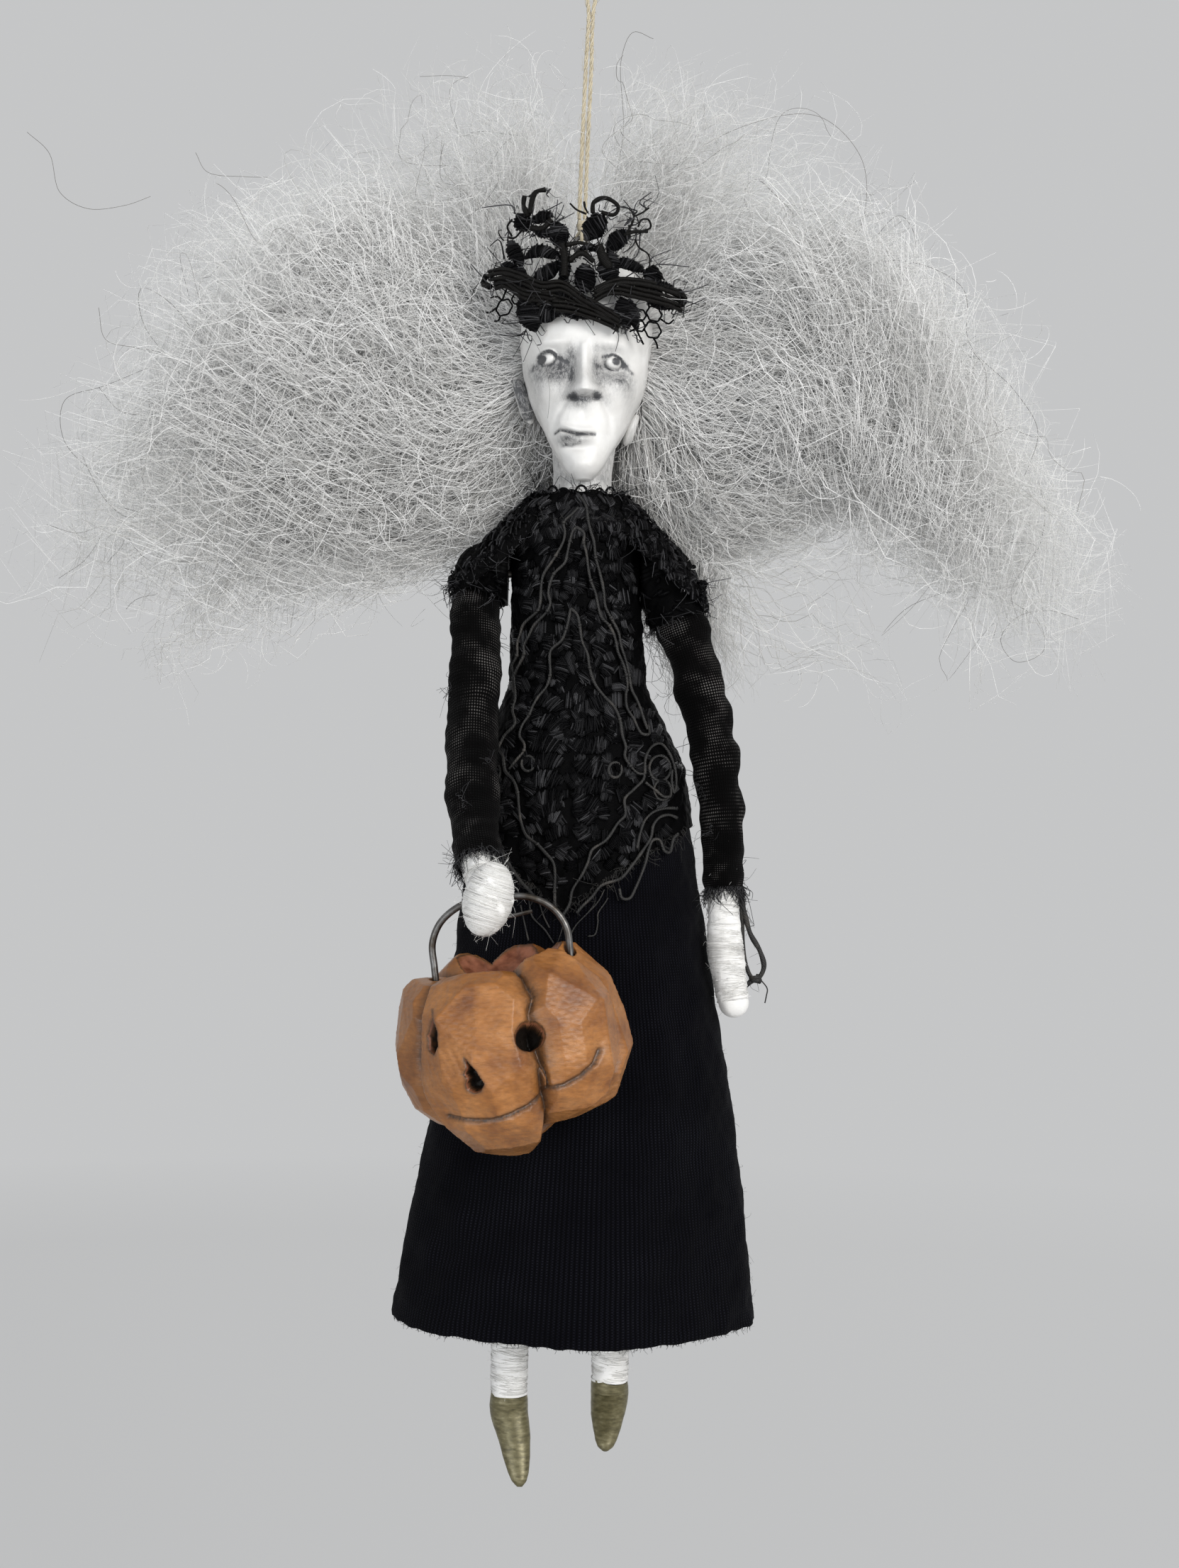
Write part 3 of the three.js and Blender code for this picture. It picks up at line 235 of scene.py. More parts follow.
class Look:
    """A procedural material under construction."""

    def __init__(self, name, color, rough, **inputs):
        self.mat = bpy.data.materials.new(name)
        self.mat.use_nodes = True
        self.tree = self.mat.node_tree
        self.shader = self.tree.nodes["Principled BSDF"]
        self.shader.inputs["Base Color"].default_value = (*color, 1)
        self.shader.inputs["Roughness"].default_value = rough
        for key, value in inputs.items():
            self.shader.inputs[key.replace("_", " ")].default_value = value
        self.height = None

    def node(self, kind, **sockets):
        n = self.tree.nodes.new("ShaderNode" + kind)
        for key, value in sockets.items():
            if hasattr(n, key):
                setattr(n, key, value)
            else:
                self.put(n, key.replace("_", " "), value)
        return n

    def put(self, n, key, value):
        socket = n.inputs[int(key[1:])] if key[0] == "i" and key[1:].isdigit() else n.inputs[key]
        if hasattr(value, "is_output"):
            self.tree.links.new(value, socket)
        else:
            socket.default_value = value

    def place(self, scale=(1000, 1000, 1000), turn=(0, 0, 0)):
        coords = self.node("TexCoord").outputs["Object"]
        return self.node("Mapping", Vector=coords, Scale=scale, Rotation=turn).outputs[0]

    def uv(self, scale=(1, 1, 1), turn=(0, 0, 0)):
        coords = self.node("UVMap", uv_map=CORE_UV).outputs[0]
        return self.node("Mapping", Vector=coords, Scale=scale, Rotation=turn).outputs[0]

    def tone(self):
        return self.node("Attribute", attribute_name="tone").outputs["Fac"]

    def noise(self, vector, scale, detail=3, rough=0.55):
        n = self.node("TexNoise", Vector=vector, Scale=scale, Detail=detail, Roughness=rough)
        return n.outputs["Fac"]

    def ramp(self, value, *stops):
        n = self.node("ValToRGB", Fac=value)
        bar = n.color_ramp
        while len(bar.elements) < len(stops):
            bar.elements.new(0.5)
        for element, (at, color) in zip(bar.elements, stops):
            element.position = at
            element.color = (*color, 1) if isinstance(color, tuple) else (color, color, color, 1)
        return n.outputs["Color"]

    def mix(self, share, a, b, blend="MIX"):
        n = self.node("Mix", data_type="RGBA", blend_type=blend)
        for index, value in ((0, share), (6, a), (7, b)):
            if hasattr(value, "is_output"):
                self.tree.links.new(value, n.inputs[index])
            elif index:
                n.inputs[index].default_value = (*value, 1)
            else:
                n.inputs[index].default_value = value
        return n.outputs[2]

    def math(self, kind, a, b=0.0, clamp=False):
        return self.node("Math", operation=kind, i0=a, i1=b, use_clamp=clamp).outputs[0]

    def times(self, a, b, clamp=False):
        return self.math("MULTIPLY", a, b, clamp)

    def plus(self, a, b, clamp=False):
        return self.math("ADD", a, b, clamp)

    def minus(self, a, b, clamp=False):
        return self.math("SUBTRACT", a, b, clamp)

    def weave(self, vector):
        """Over-and-under height of a plain weave whose threads are one unit apart."""
        parts = self.node("SeparateXYZ", Vector=vector)
        x, y = (self.math("SINE", self.times(parts.outputs[i], math.pi)) for i in (0, 1))
        return self.math("ABSOLUTE", self.times(x, y))

    def bands(self, vector, axis, pitch):
        """Ribs one pitch apart along an axis of the vector, 0 in their valleys and 1 on top."""
        part = self.node("SeparateXYZ", Vector=vector).outputs[axis]
        return self.math("ABSOLUTE", self.math("SINE", self.times(part, math.pi / pitch)))

    def color(self, value):
        self.tree.links.new(value, self.shader.inputs["Base Color"])

    def rough(self, value, low, high):
        n = self.node("MapRange", Value=value, To_Min=low, To_Max=high)
        self.tree.links.new(n.outputs[0], self.shader.inputs["Roughness"])

    def bump(self, value, distance, strength=1.0):
        n = self.node("Bump", Height=value, Distance=distance * MM, Strength=strength)
        if self.height is not None:
            self.tree.links.new(self.height, n.inputs["Normal"])
        self.height = n.outputs[0]
        self.tree.links.new(self.height, self.shader.inputs["Normal"])


def painted_wood():
    look = Look("painted_wood_matt", (0.86, 0.85, 0.83), 0.55)
    at = look.place()
    mottle = look.noise(at, 0.35, 4)
    base = look.ramp(mottle, (0.3, (0.8, 0.79, 0.77)), (0.62, (0.9, 0.895, 0.88)))
    scribble = look.noise(look.place((1000, 1000, 450)), 2.4, 5, 0.7)
    smudge = look.noise(at, 0.9, 3)
    fine = look.noise(look.place((1000, 1000, 700)), 6.0, 3, 0.7)
    grain = look.plus(look.times(scribble, 0.5), look.times(fine, 0.3))
    grain = look.plus(grain, look.times(smudge, 0.2))
    darkening = look.times(look.math("MINIMUM", look.tone(), 1.0), 4.2)
    patchy = look.times(look.minus(grain, 0.5), darkening)
    dark = look.plus(look.tone(), patchy, clamp=True)
    color = look.mix(look.times(dark, 0.95, clamp=True), base, (0.05, 0.052, 0.06))
    look.color(color)
    look.rough(dark, 0.5, 0.36)
    look.bump(look.noise(look.place((1000, 1000, 260)), 1.6, 4), 0.05, 0.5)
    look.bump(grain, 0.03, 0.4)
    return look.mat


def pumpkin_wood():
    look = Look("pumpkin_wood_waxed", (0.52, 0.23, 0.08), 0.4, Coat_Weight=0.12, Coat_Roughness=0.3)
    lean = (0, math.radians(8.2), 0)
    at = look.place((1000, 1000, 1000), lean)
    blotch = look.noise(at, 0.2, 3, 0.6)
    base = look.ramp(
        blotch, (0.3, (0.2, 0.067, 0.013)), (0.45, (0.325, 0.124, 0.026)), (0.58, (0.4, 0.165, 0.043)),
        (0.74, (0.475, 0.215, 0.072)),
    )
    grain = look.noise(look.place((420, 900, 1900), lean), 1.5, 5, 0.7)
    streak = look.ramp(
        grain, (0.34, (0.6, 0.56, 0.52)), (0.5, (0.92, 0.9, 0.88)), (0.66, (1.16, 1.13, 1.1))
    )
    base = look.mix(0.6, base, streak, "MULTIPLY")
    darkening = look.noise(at, 1.1, 5, 0.75)
    mottling = look.times(look.minus(darkening, 0.52, clamp=True), 2.4, clamp=True)
    base = look.mix(mottling, base, (0.27, 0.12, 0.045))
    tone = look.tone()
    # Tone above 2 marks the cut holes and the holes of the bail, painted near black: painted shade.
    edge = look.minus(tone, 2.0, clamp=True)
    red = look.minus(tone, 1.0, clamp=True)
    red = look.times(red, look.minus(1.0, edge))
    patch = look.ramp(look.noise(at, 0.6, 4), (0.36, (0.13, 0.035, 0.018)), (0.62, (0.34, 0.13, 0.075)))
    base = look.mix(look.times(red, 0.9), base, patch)
    pencil = look.noise(look.place((1000, 1000, 600), lean), 2.6, 5, 0.75)
    # Tone up to 1 darkens the wood with pencil along grooves, mouth and cracks, and with painted shade on
    # the lower and left sides.
    pencil_and_shade = look.times(look.math("MINIMUM", tone, 1.0), look.times(pencil, 1.75), clamp=True)
    rest = look.minus(1.0, look.math("MAXIMUM", red, edge), clamp=True)
    pencil_and_shade = look.times(pencil_and_shade, rest)
    base = look.mix(pencil_and_shade, base, (0.045, 0.026, 0.016))
    # Painted shade in the holes.
    base = look.mix(edge, base, (0.01, 0.007, 0.005))
    look.color(base)
    look.rough(grain, 0.26, 0.55)
    look.bump(grain, 0.09, 0.7)
    look.bump(look.noise(at, 3.0, 4), 0.05, 0.5)
    return look.mat


def scaled(color, share):
    return tuple(share * c for c in color)


def cloth(name, color, pitch, sheen, deep=0.05, light=None):
    look = Look(name, color, 0.85, Sheen_Weight=sheen, Sheen_Roughness=0.4, Specular_IOR_Level=0.05)
    weave = look.weave(look.uv((1 / pitch, 1 / pitch, 1)))
    patch = look.node("MapRange", Value=look.noise(look.uv(), 0.16, 3), i1=0.36, i2=0.64).outputs[0]
    # The weave's raised threads are painted lighter and the gaps between them darker, in noise patches:
    # painted highlight and painted shade.
    mottling = look.times(weave, patch)
    # light is the painted highlight colour of the raised threads.
    light = light or tuple(2.6 * c + 0.01 for c in color)
    look.color(look.ramp(mottling, (0.15, scaled(color, 0.3)), (0.45, color), (0.95, light)))
    look.bump(weave, deep, 0.9)
    look.bump(look.noise(look.uv(), 1.1, 4), 0.08, 0.4)
    return look.mat


def knit():
    look = Look(
        "blue_black_knit", (0.005, 0.005, 0.009), 0.95, Sheen_Weight=0.01, Sheen_Roughness=0.5,
        Specular_IOR_Level=0.06,
    )
    at = look.uv()
    wale = look.bands(at, 0, 0.5)
    course = look.bands(look.uv((1, 1, 1), (0, 0, 0.6)), 1, 0.3)
    other = look.bands(look.uv((1, 1, 1), (0, 0, -0.6)), 1, 0.3)
    rows = look.plus(look.times(course, 0.5), look.times(other, 0.5))
    stitch = look.times(wale, rows)
    patch = look.noise(at, 0.12, 4)
    lit = look.times(stitch, look.plus(patch, 0.35))
    look.color(
        look.ramp(
            lit, (0.1, (0.0008, 0.0008, 0.0015)), (0.5, (0.0026, 0.0026, 0.0046)),
            (0.85, (0.01, 0.0104, 0.0148)),
        )
    )
    look.bump(stitch, 0.14, 0.9)
    look.bump(look.noise(at, 0.35, 3), 0.25, 0.35)
    return look.mat


SATIN_GLINT = (0.17, 0.17, 0.18)


def lace(name, color, rough, gloss):
    look = Look(name, color, rough, Specular_IOR_Level=gloss)
    ribs = look.bands(look.uv(), 1, 0.2)
    fibre = look.noise(look.uv((1, 6, 1)), 2.0, 4)
    lit = look.times(ribs, fibre)
    dark = look.ramp(lit, (0.1, scaled(color, 0.4)), (0.4, color), (0.75, scaled(color, 3.2)))
    glint = look.times(look.tone(), fibre, clamp=True)
    look.color(look.mix(glint, dark, SATIN_GLINT))
    look.rough(fibre, rough - 0.1, rough + 0.15)
    look.bump(ribs, 0.05, 0.8)
    look.bump(fibre, 0.05, 0.5)
    return look.mat


def worn_cord():
    look = Look("worn_lace_cord", (0.045, 0.04, 0.036), 0.6)
    twist = look.bands(look.uv((1, 1, 1), (0, 0, 0.8)), 1, 0.3)
    rub = look.noise(look.place(), 0.5, 3)
    look.color(
        look.ramp(
            rub, (0.34, (0.006, 0.006, 0.006)), (0.58, (0.018, 0.017, 0.016)),
            (0.82, (0.07, 0.061, 0.052)),
        )
    )
    look.bump(twist, 0.06, 0.8)
    return look.mat


def wound_cotton():
    look = Look("wound_white_cotton", (0.82, 0.81, 0.78), 0.8, Sheen_Weight=0.2)
    patch = look.noise(look.place(), 0.4, 4)
    fine = look.bands(look.uv(), 1, 0.16)
    fibre = look.noise(look.uv((0.25, 4, 1)), 1.6, 4)
    lit = look.plus(look.times(patch, 0.6), look.times(fibre, 0.4))
    look.color(
        look.ramp(
            lit, (0.28, (0.82, 0.81, 0.785)), (0.48, (0.93, 0.925, 0.91)), (0.68, (0.96, 0.957, 0.95))
        )
    )
    look.bump(fine, 0.03, 0.4)
    look.bump(fibre, 0.03, 0.4)
    return look.mat


def cotton_thread():
    look = Look("cotton_thread", (0.84, 0.83, 0.8), 0.7, Sheen_Weight=0.2)
    tone = look.tone()
    look.color(
        look.ramp(tone, (0.0, (0.72, 0.71, 0.68)), (0.5, (0.88, 0.875, 0.86)), (1.0, (0.94, 0.935, 0.92)))
    )
    look.bump(look.bands(look.uv((1, 1, 1), (0, 0, 0.7)), 1, 0.2), 0.02, 0.5)
    return look.mat


def hair_look(name, low, high):
    look = Look(name, high, 0.38, Sheen_Weight=0.9, Sheen_Roughness=0.4)
    along = look.noise(look.place(), 0.12, 2)
    tone = look.plus(look.times(look.tone(), 0.75), look.times(along, 0.25))
    middle = tuple((a + b) / 2 for a, b in zip(low, high))
    look.color(look.ramp(tone, (0.08, low), (0.45, middle), (0.85, high)))
    look.bump(look.noise(look.uv((2, 0.4, 1)), 3, 3), 0.02, 0.4)
    return look.mat


def twine_look():
    look = Look("waxed_linen_twine", (0.5, 0.41, 0.25), 0.55)
    fibre = look.noise(look.uv((7, 0.35, 1), (0, 0, 0.25)), 2.2, 5, 0.7)
    look.color(
        look.ramp(fibre, (0.28, (0.3, 0.24, 0.15)), (0.48, (0.56, 0.49, 0.35)), (0.72, (0.8, 0.75, 0.62)))
    )
    look.rough(fibre, 0.42, 0.7)
    look.bump(fibre, 0.05, 0.8)
    return look.mat


def wire_look():
    steel = (0.15, 0.147, 0.145)
    look = Look("dark_annealed_wire", steel, 0.36, Metallic=1.0)
    at = look.place()
    stain = look.noise(at, 0.5, 4)
    look.color(look.ramp(stain, (0.34, (0.07, 0.06, 0.05)), (0.56, steel), (0.8, (0.3, 0.295, 0.29))))
    look.rough(look.noise(at, 3.0, 3), 0.26, 0.52)
    look.bump(look.noise(look.place((2500, 2500, 600)), 1.0, 3), 0.02, 0.4)
    return look.mat


def shoe_look():
    look = Look("olive_gold_paint", (0.2, 0.175, 0.085), 0.38, Metallic=0.35)
    at = look.place()
    brush = look.noise(look.place((900, 900, 2600)), 0.9, 5)
    look.color(
        look.ramp(
            brush, (0.3, (0.08, 0.07, 0.034)), (0.55, (0.165, 0.146, 0.075)), (0.78, (0.27, 0.245, 0.15))
        )
    )
    look.rough(look.noise(at, 1.4, 3), 0.26, 0.5)
    look.bump(brush, 0.05, 0.5)
    return look.mat


def plain_wood():
    look = Look("dowel_wood", (0.48, 0.32, 0.17), 0.6)
    grain = look.noise(look.place((2600, 2600, 240)), 0.8, 4)
    look.color(look.ramp(grain, (0.3, (0.34, 0.2, 0.1)), (0.7, (0.58, 0.41, 0.24))))
    look.bump(grain, 0.05, 0.5)
    return look.mat


PAINTED = painted_wood()
PUMPKIN = pumpkin_wood()
SLEEVE = cloth("plain_black_cotton", (0.0045, 0.004, 0.0042), 0.37, 0.02, 0.16, (0.14, 0.133, 0.128))
BODICE = cloth("black_bodice_cotton", (0.003, 0.003, 0.0035), 0.34, 0.03)
KNIT = knit()
LACE = lace("satin_lace_thread", (0.0018, 0.0018, 0.0022), 0.28, 0.05)
NET = lace("lace_net_thread", (0.0012, 0.0012, 0.0014), 0.55, 0.05)
CROWN_CORD = lace("crown_cord_thread", (0.006, 0.0055, 0.005), 0.45, 0.12)
CORD = worn_cord()
COTTON = wound_cotton()
THREAD = cotton_thread()
MOHAIR = hair_look("white_mohair", (0.3, 0.29, 0.27), (0.99, 0.988, 0.98))
DARK_HAIR = hair_look("dark_coarse_hair", (0.06, 0.055, 0.05), (0.2, 0.185, 0.17))
TWINE = twine_look()
WIRE = wire_look()
SHOE = shoe_look()
DOWEL = plain_wood()

# Camera, light and stage

CAMERA_AT = (2.26, -300.0, -117.6)
ROLL = math.radians(1.3)
LENS = 48.8
LAMPS_AIM = (0, 0, -0.11)
GREY = (0.56, 0.565, 0.57)
FLOOR_Z = -0.31
FLOOR_RADIUS = 6
FLOOR_SIDES = 96


def camera():
    data = bpy.data.cameras.new("photo_camera")
    data.sensor_width = 36
    data.lens = LENS
    data.clip_start = 0.01
    obj = bpy.data.objects.new("photo_camera", data)
    bpy.context.scene.collection.objects.link(obj)
    c, s = math.cos(ROLL), math.sin(ROLL)
    turn = Matrix(((c, -s, 0), (0, 0, -1), (s, c, 0))).to_4x4()
    obj.matrix_world = Matrix.Translation([v * MM for v in CAMERA_AT]) @ turn
    bpy.context.scene.camera = obj


def lamp(name, at, size, power, color=(1, 1, 1)):
    data = bpy.data.lights.new(name, "AREA")
    data.shape = "DISK"
    data.size = size
    data.energy = power
    data.color = color
    obj = bpy.data.objects.new(name, data)
    bpy.context.scene.collection.objects.link(obj)
    obj.location = at
    aim = np.array(LAMPS_AIM) - np.array(at)
    obj.rotation_euler = Vector(aim).to_track_quat("-Z", "Y").to_euler()


def seen(tree):
    """1 for the rays that show a background: camera, glossy and transmission rays."""
    path = tree.nodes.new("ShaderNodeLightPath")
    out = path.outputs["Is Camera Ray"]
    for other in ("Is Glossy Ray", "Is Transmission Ray"):
        n = tree.nodes.new("ShaderNodeMath")
        n.operation = "MAXIMUM"
        tree.links.new(out, n.inputs[0])
        tree.links.new(path.outputs[other], n.inputs[1])
        out = n.outputs[0]
    return out


def stage():
    world = bpy.data.worlds.new("studio")
    world.use_nodes = True
    bpy.context.scene.world = world
    tree = world.node_tree
    soft = tree.nodes["Background"]
    soft.inputs["Color"].default_value = (0.97, 0.985, 1, 1)
    soft.inputs["Strength"].default_value = 0.4
    back = tree.nodes.new("ShaderNodeBackground")
    back.inputs["Color"].default_value = (*GREY, 1)
    mix = tree.nodes.new("ShaderNodeMixShader")
    tree.links.new(seen(tree), mix.inputs[0])
    tree.links.new(soft.outputs[0], mix.inputs[1])
    tree.links.new(back.outputs[0], mix.inputs[2])
    tree.links.new(mix.outputs[0], tree.nodes["World Output"].inputs["Surface"])

    look = Look("studio_floor", (0.62, 0.62, 0.62), 0.9)
    at = look.node("TexCoord").outputs["Object"]
    ring = look.node("VectorMath", operation="LENGTH", i0=at)
    far = look.node("MapRange", Value=ring.outputs["Value"], i1=0.3, i2=0.85).outputs[0]
    glow = look.node("Emission", Color=(*GREY, 1), Strength=1.0)
    far = look.math("MAXIMUM", far, 0.7)
    share = look.node("Math", operation="MULTIPLY", i0=far, i1=seen(look.tree)).outputs[0]
    mix = look.node("MixShader", i0=share, i1=look.shader.outputs[0], i2=glow.outputs[0])
    look.tree.links.new(mix.outputs[0], look.tree.nodes["Material Output"].inputs["Surface"])
    rim = [(FLOOR_RADIUS * math.cos(a), FLOOR_RADIUS * math.sin(a), FLOOR_Z) for a in circle(FLOOR_SIDES)]
    mesh = bpy.data.meshes.new("studio_floor")
    mesh.from_pydata(rim, [], [tuple(range(FLOOR_SIDES))])
    mesh.materials.append(look.mat)
    floor = bpy.data.objects.new("studio_floor", mesh)
    bpy.context.scene.collection.objects.link(floor)

    lamp("key", (0.52, -0.78, 0.17), 0.5, 6.25, (1, 0.985, 0.96))
    lamp("fill", (-0.5, -0.8, -0.3), 0.8, 5.4, (0.95, 0.975, 1))
    lamp("back", (0.35, 0.8, 0.45), 0.6, 2.6)


camera()
stage()

# Twine and its fixing

# The twine's two strands from the knot up: their middle x, half their distance, y and z.
STRAND = [
    (-0.6, 0.4, 0.5, -37.82),
    (-0.45, 0.4, 0.4, -28.37),
    (-0.18, 0.4, 0.2, -17.02),
    (0, 0.4, 0, -8),
    (0, 1.092, 0, -5.28),
    (0, 2.016, 0, -2.88),
    (0, 1.68, 0, -0.8),
]


def hanging():
    left = [(a - b, y, z) for a, b, y, z in STRAND]
    right = [(a + b, y, z) for a, b, y, z in STRAND]
    route = even(left + [(0, 0, 0.3)] + right[::-1], 520)
    _, side, up = (v[0] for v in frames(route[None]))
    run = run_along(route[None])[0]
    rng = np.random.default_rng(11)
    plies = []
    for k in range(3):
        turn = run * TAU / 3.4 + k * TAU / 3
        off = 0.155 * (side * np.cos(turn)[:, None] + up * np.sin(turn)[:, None])
        thick = 0.142 + 0.012 * wobble(route, 5, 20 + k)
        plies.append(tubes(route + off, thick[None], 8))
    twine = build("twine_loop", plies, TWINE, "figure", ("hanging_twine",))
    fuzz = []
    for _ in range(230):
        i = rng.integers(6, 500)
        start = route[i] + rng.normal(size=3) * 0.16
        along = (route[min(i + 8, 519)] - route[i - 6]) * rng.choice((-1, 1))
        tip = start + unit(along) * rng.uniform(0.6, 2.2) + rng.normal(size=3) * 0.28
        middle = (start + tip) / 2 + rng.normal(size=3) * 0.15
        fuzz.append(even([start, middle, tip], 5))
    fuzz = np.array(fuzz)
    fuzz[..., 2] = np.minimum(fuzz[..., 2], 0.55)
    fibres = build(
        "twine_fibres", [tubes(fuzz, np.linspace(0.028, 0.012, 5)[None])], TWINE, "figure", ()
    )

    def coil(centre, radius, thick, turns, rise, tilt, phase=0.0):
        t = np.linspace(0, turns * TAU, int(26 * turns)) + phase
        p = np.stack([radius * np.cos(t), radius * np.sin(t), rise * (t - t.mean()) / TAU], 1)
        c, s = math.cos(tilt), math.sin(tilt)
        p = p @ np.array([[c, 0, s], [0, 1, 0], [-s, 0, c]])
        return tubes(p + np.array(centre), thick, 8)

    knot = [
        coil((-0.6, 0.5, -38.75), 0.5, 0.3, 2.2, 0.42, 0.3),
        coil((-0.62, 0.52, -39.35), 0.42, 0.29, 1.3, 0.3, -0.9, 1.5),
        tubes(
            even([(-0.95, 0.35, -38.0), (-0.9, 0.3, -38.5), (-0.6, 0.45, -39.2), (-0.5, 0.6, -39.7)], 14),
            0.28,
            8,
        ),
        tubes(even([(-0.2, 0.5, -37.95), (-0.35, 0.6, -38.5), (-0.6, 0.5, -39.1)], 12), 0.28, 8),
    ]
    t = np.linspace(0, TAU, 40)
    link = np.stack([-0.6 + 0 * t, 0.5 + 0.72 * np.sin(t), -40.4 + 0.78 * np.cos(t)], 1)
    knot.append(tubes(link, 0.26, 8))
    for x, y, z in ((-1.5, 1.0, -40.6), (0.25, 1.3, -40.2)):
        tail = even([(-0.6, 0.6, -39.4), (0.8 * x, y, z + 0.7), (x, y, z)], 9)
        knot.append(tubes(tail, np.linspace(0.26, 0.2, 9)[None], 7))
    wraps = build("twine_knot_wraps", knot, TWINE, "figure", ("twine_knot",))


hanging()

# Head

HEAD_X, HEAD_TOP, HEAD_TALL = 0.36, -43.0, 32.6
HEAD_HALF, FACE_OUT, BACK_OUT = 9.3, 10.0, 11.2
HEAD_ROWS = [
    (0, 0.14, 0.1, 0.24),
    (0.04, 0.5, 0.42, 0.55),
    (0.11, 0.8, 0.72, 0.8),
    (0.22, 0.95, 0.92, 0.95),
    (0.36, 1, 1, 1),
    (0.47, 0.965, 0.98, 0.98),
    (0.59, 0.89, 0.96, 0.91),
    (0.71, 0.725, 0.96, 0.72),
    (0.81, 0.545, 0.96, 0.42),
    (0.9, 0.385, 0.95, 0.1),
    (0.97, 0.235, 0.88, -0.22),
    (1, 0.12, 0.76, -0.4),
]
MOUTH = [(-3.6, -69.4), (-2.9, -69.1), (-1.45, -69.55), (-0.6, -69.8), (0.8, -69.8), (1.85, -69.78)]
EYES = [(-4.95, -59.15), (4.25, -59.7)]


def table(rows, at):
    fine = spline(rows, np.linspace(0, 1, 60 * len(rows)))
    return [np.interp(at, fine[:, 0], fine[:, k]) for k in range(1, fine.shape[1])]


def near(x, z, line):
    """Distance from each (x, z) to a polyline."""
    best = np.full(np.shape(x), FAR)
    points = np.asarray(line, float)
    for a, b in zip(points[:-1], points[1:]):
        d = b - a
        t = np.clip(((x - a[0]) * d[0] + (z - a[1]) * d[1]) / (d @ d), 0, 1)
        best = np.minimum(best, np.hypot(x - a[0] - t * d[0], z - a[1] - t * d[1]))
    return best


def spot(x, z, cx, cz, sx, sz):
    return np.exp(-(((x - cx) / sx) ** 2) - ((z - cz) / sz) ** 2)


def spots(x, z, rows):
    """Sum of soft spots, each a height, a centre and two half sizes."""
    return sum(row[0] * spot(x, z, *row[1:]) for row in rows)


def scored(x, z, line, wide):
    """1 along a line and 0 away from it."""
    return np.exp(-((near(x, z, line) / wide) ** 2))


# Carved features as (height, x, z, half width, half height).
BROWS_AND_SOCKETS = [
    (0.6, -4.6, -57.2, 2.8, 0.8), (0.6, 4.6, -57.4, 2.8, 0.8), (-1.8, -4.8, -59.7, 2.3, 1.5),
    (-1.8, 4.4, -60.1, 2.4, 1.6), (-0.7, -2.0, -60.6, 1.0, 2.2), (-0.6, 2.6, -60.6, 0.9, 2.0),
]
NOSTRILS_CHEEKS_AND_CHIN = [
    (0.9, -1.15, -63.7, 0.72, 0.75), (0.9, 2.0, -63.6, 0.72, 0.75), (-0.9, -1.15, -64.85, 0.6, 0.32),
    (-0.9, 1.95, -64.75, 0.6, 0.32), (0.7, -5.9, -63.0, 1.9, 1.5), (0.7, 6.4, -63.0, 1.9, 1.5),
    (-0.6, -5.0, -67.3, 1.5, 2.0), (-0.6, 5.0, -67.3, 1.7, 2.0), (-0.15, 0.4, -66.9, 0.4, 0.9),
    (-0.6, -0.9, -71.6, 2.0, 0.5), (0.85, 0.3, -73.9, 2.2, 1.3), (-0.35, -3.85, -73.5, 0.35, 0.4),
]
FOLDS_BY_THE_MOUTH = [
    (0.35, [(-1.9, -64.9), (-3.3, -67.0), (-4.3, -69.4)]),
    (0.3, [(2.7, -64.9), (3.7, -67.0), (4.1, -69.4)]),
]
NOSE_TOP, NOSE_LONG = -57.0, 7.3


def eye_ring(x, z, cx, cz):
    """Distance from an eye's middle, where 1 is the edge of the eyeball."""
    return np.hypot((x - cx) / 1.06, (z - cz) / 0.82)


def face_relief(x, z):
    """How far the carved features stand out of the plain head, in the front view."""
    out = spots(x, z, BROWS_AND_SOCKETS)
    for cx, cz in EYES:
        ring = eye_ring(x, z, cx, cz)
        ball = -1.3 + 1.0 * np.sqrt(np.clip(1 - ring**2, 0, 1))
        out = np.where(ring < 1, np.maximum(out, ball), out)
        upper = smooth(z - cz, -0.1, 0.5)
        out += (0.5 * upper + 0.15 * (1 - upper)) * np.exp(-(((ring - 1.2) / 0.22) ** 2))
    down = (NOSE_TOP - z) / NOSE_LONG
    u = np.clip(down, 0, 1)
    middle = 0.15 + 0.3 * u
    ridge = (0.3 + 3.0 * u**1.2) * np.exp(-((np.abs(x - middle) / (0.66 + 0.72 * u**1.5)) ** 2.6))
    out += ridge * smooth(down, -0.12, 0.1) * smooth(z, -64.9, -64.1)
    out += spots(x, z, NOSTRILS_CHEEKS_AND_CHIN)
    for deep, line in FOLDS_BY_THE_MOUTH:
        out -= deep * scored(x, z, line, 0.45)
    level = np.interp(x, [p[0] for p in MOUTH], [p[1] for p in MOUTH])
    wide = smooth(x, -3.9, -2.3) * smooth(-x, -2.3, -0.8)
    upper_lip = 0.45 * np.exp(-(((z - level - 0.6) / 0.42) ** 2))
    lower_lip = 0.75 * np.exp(-(((z - level + 0.75) / 0.6) ** 2))
    return out + wide * (upper_lip + lower_lip) - 0.55 * scored(x, z, MOUTH, 0.2)


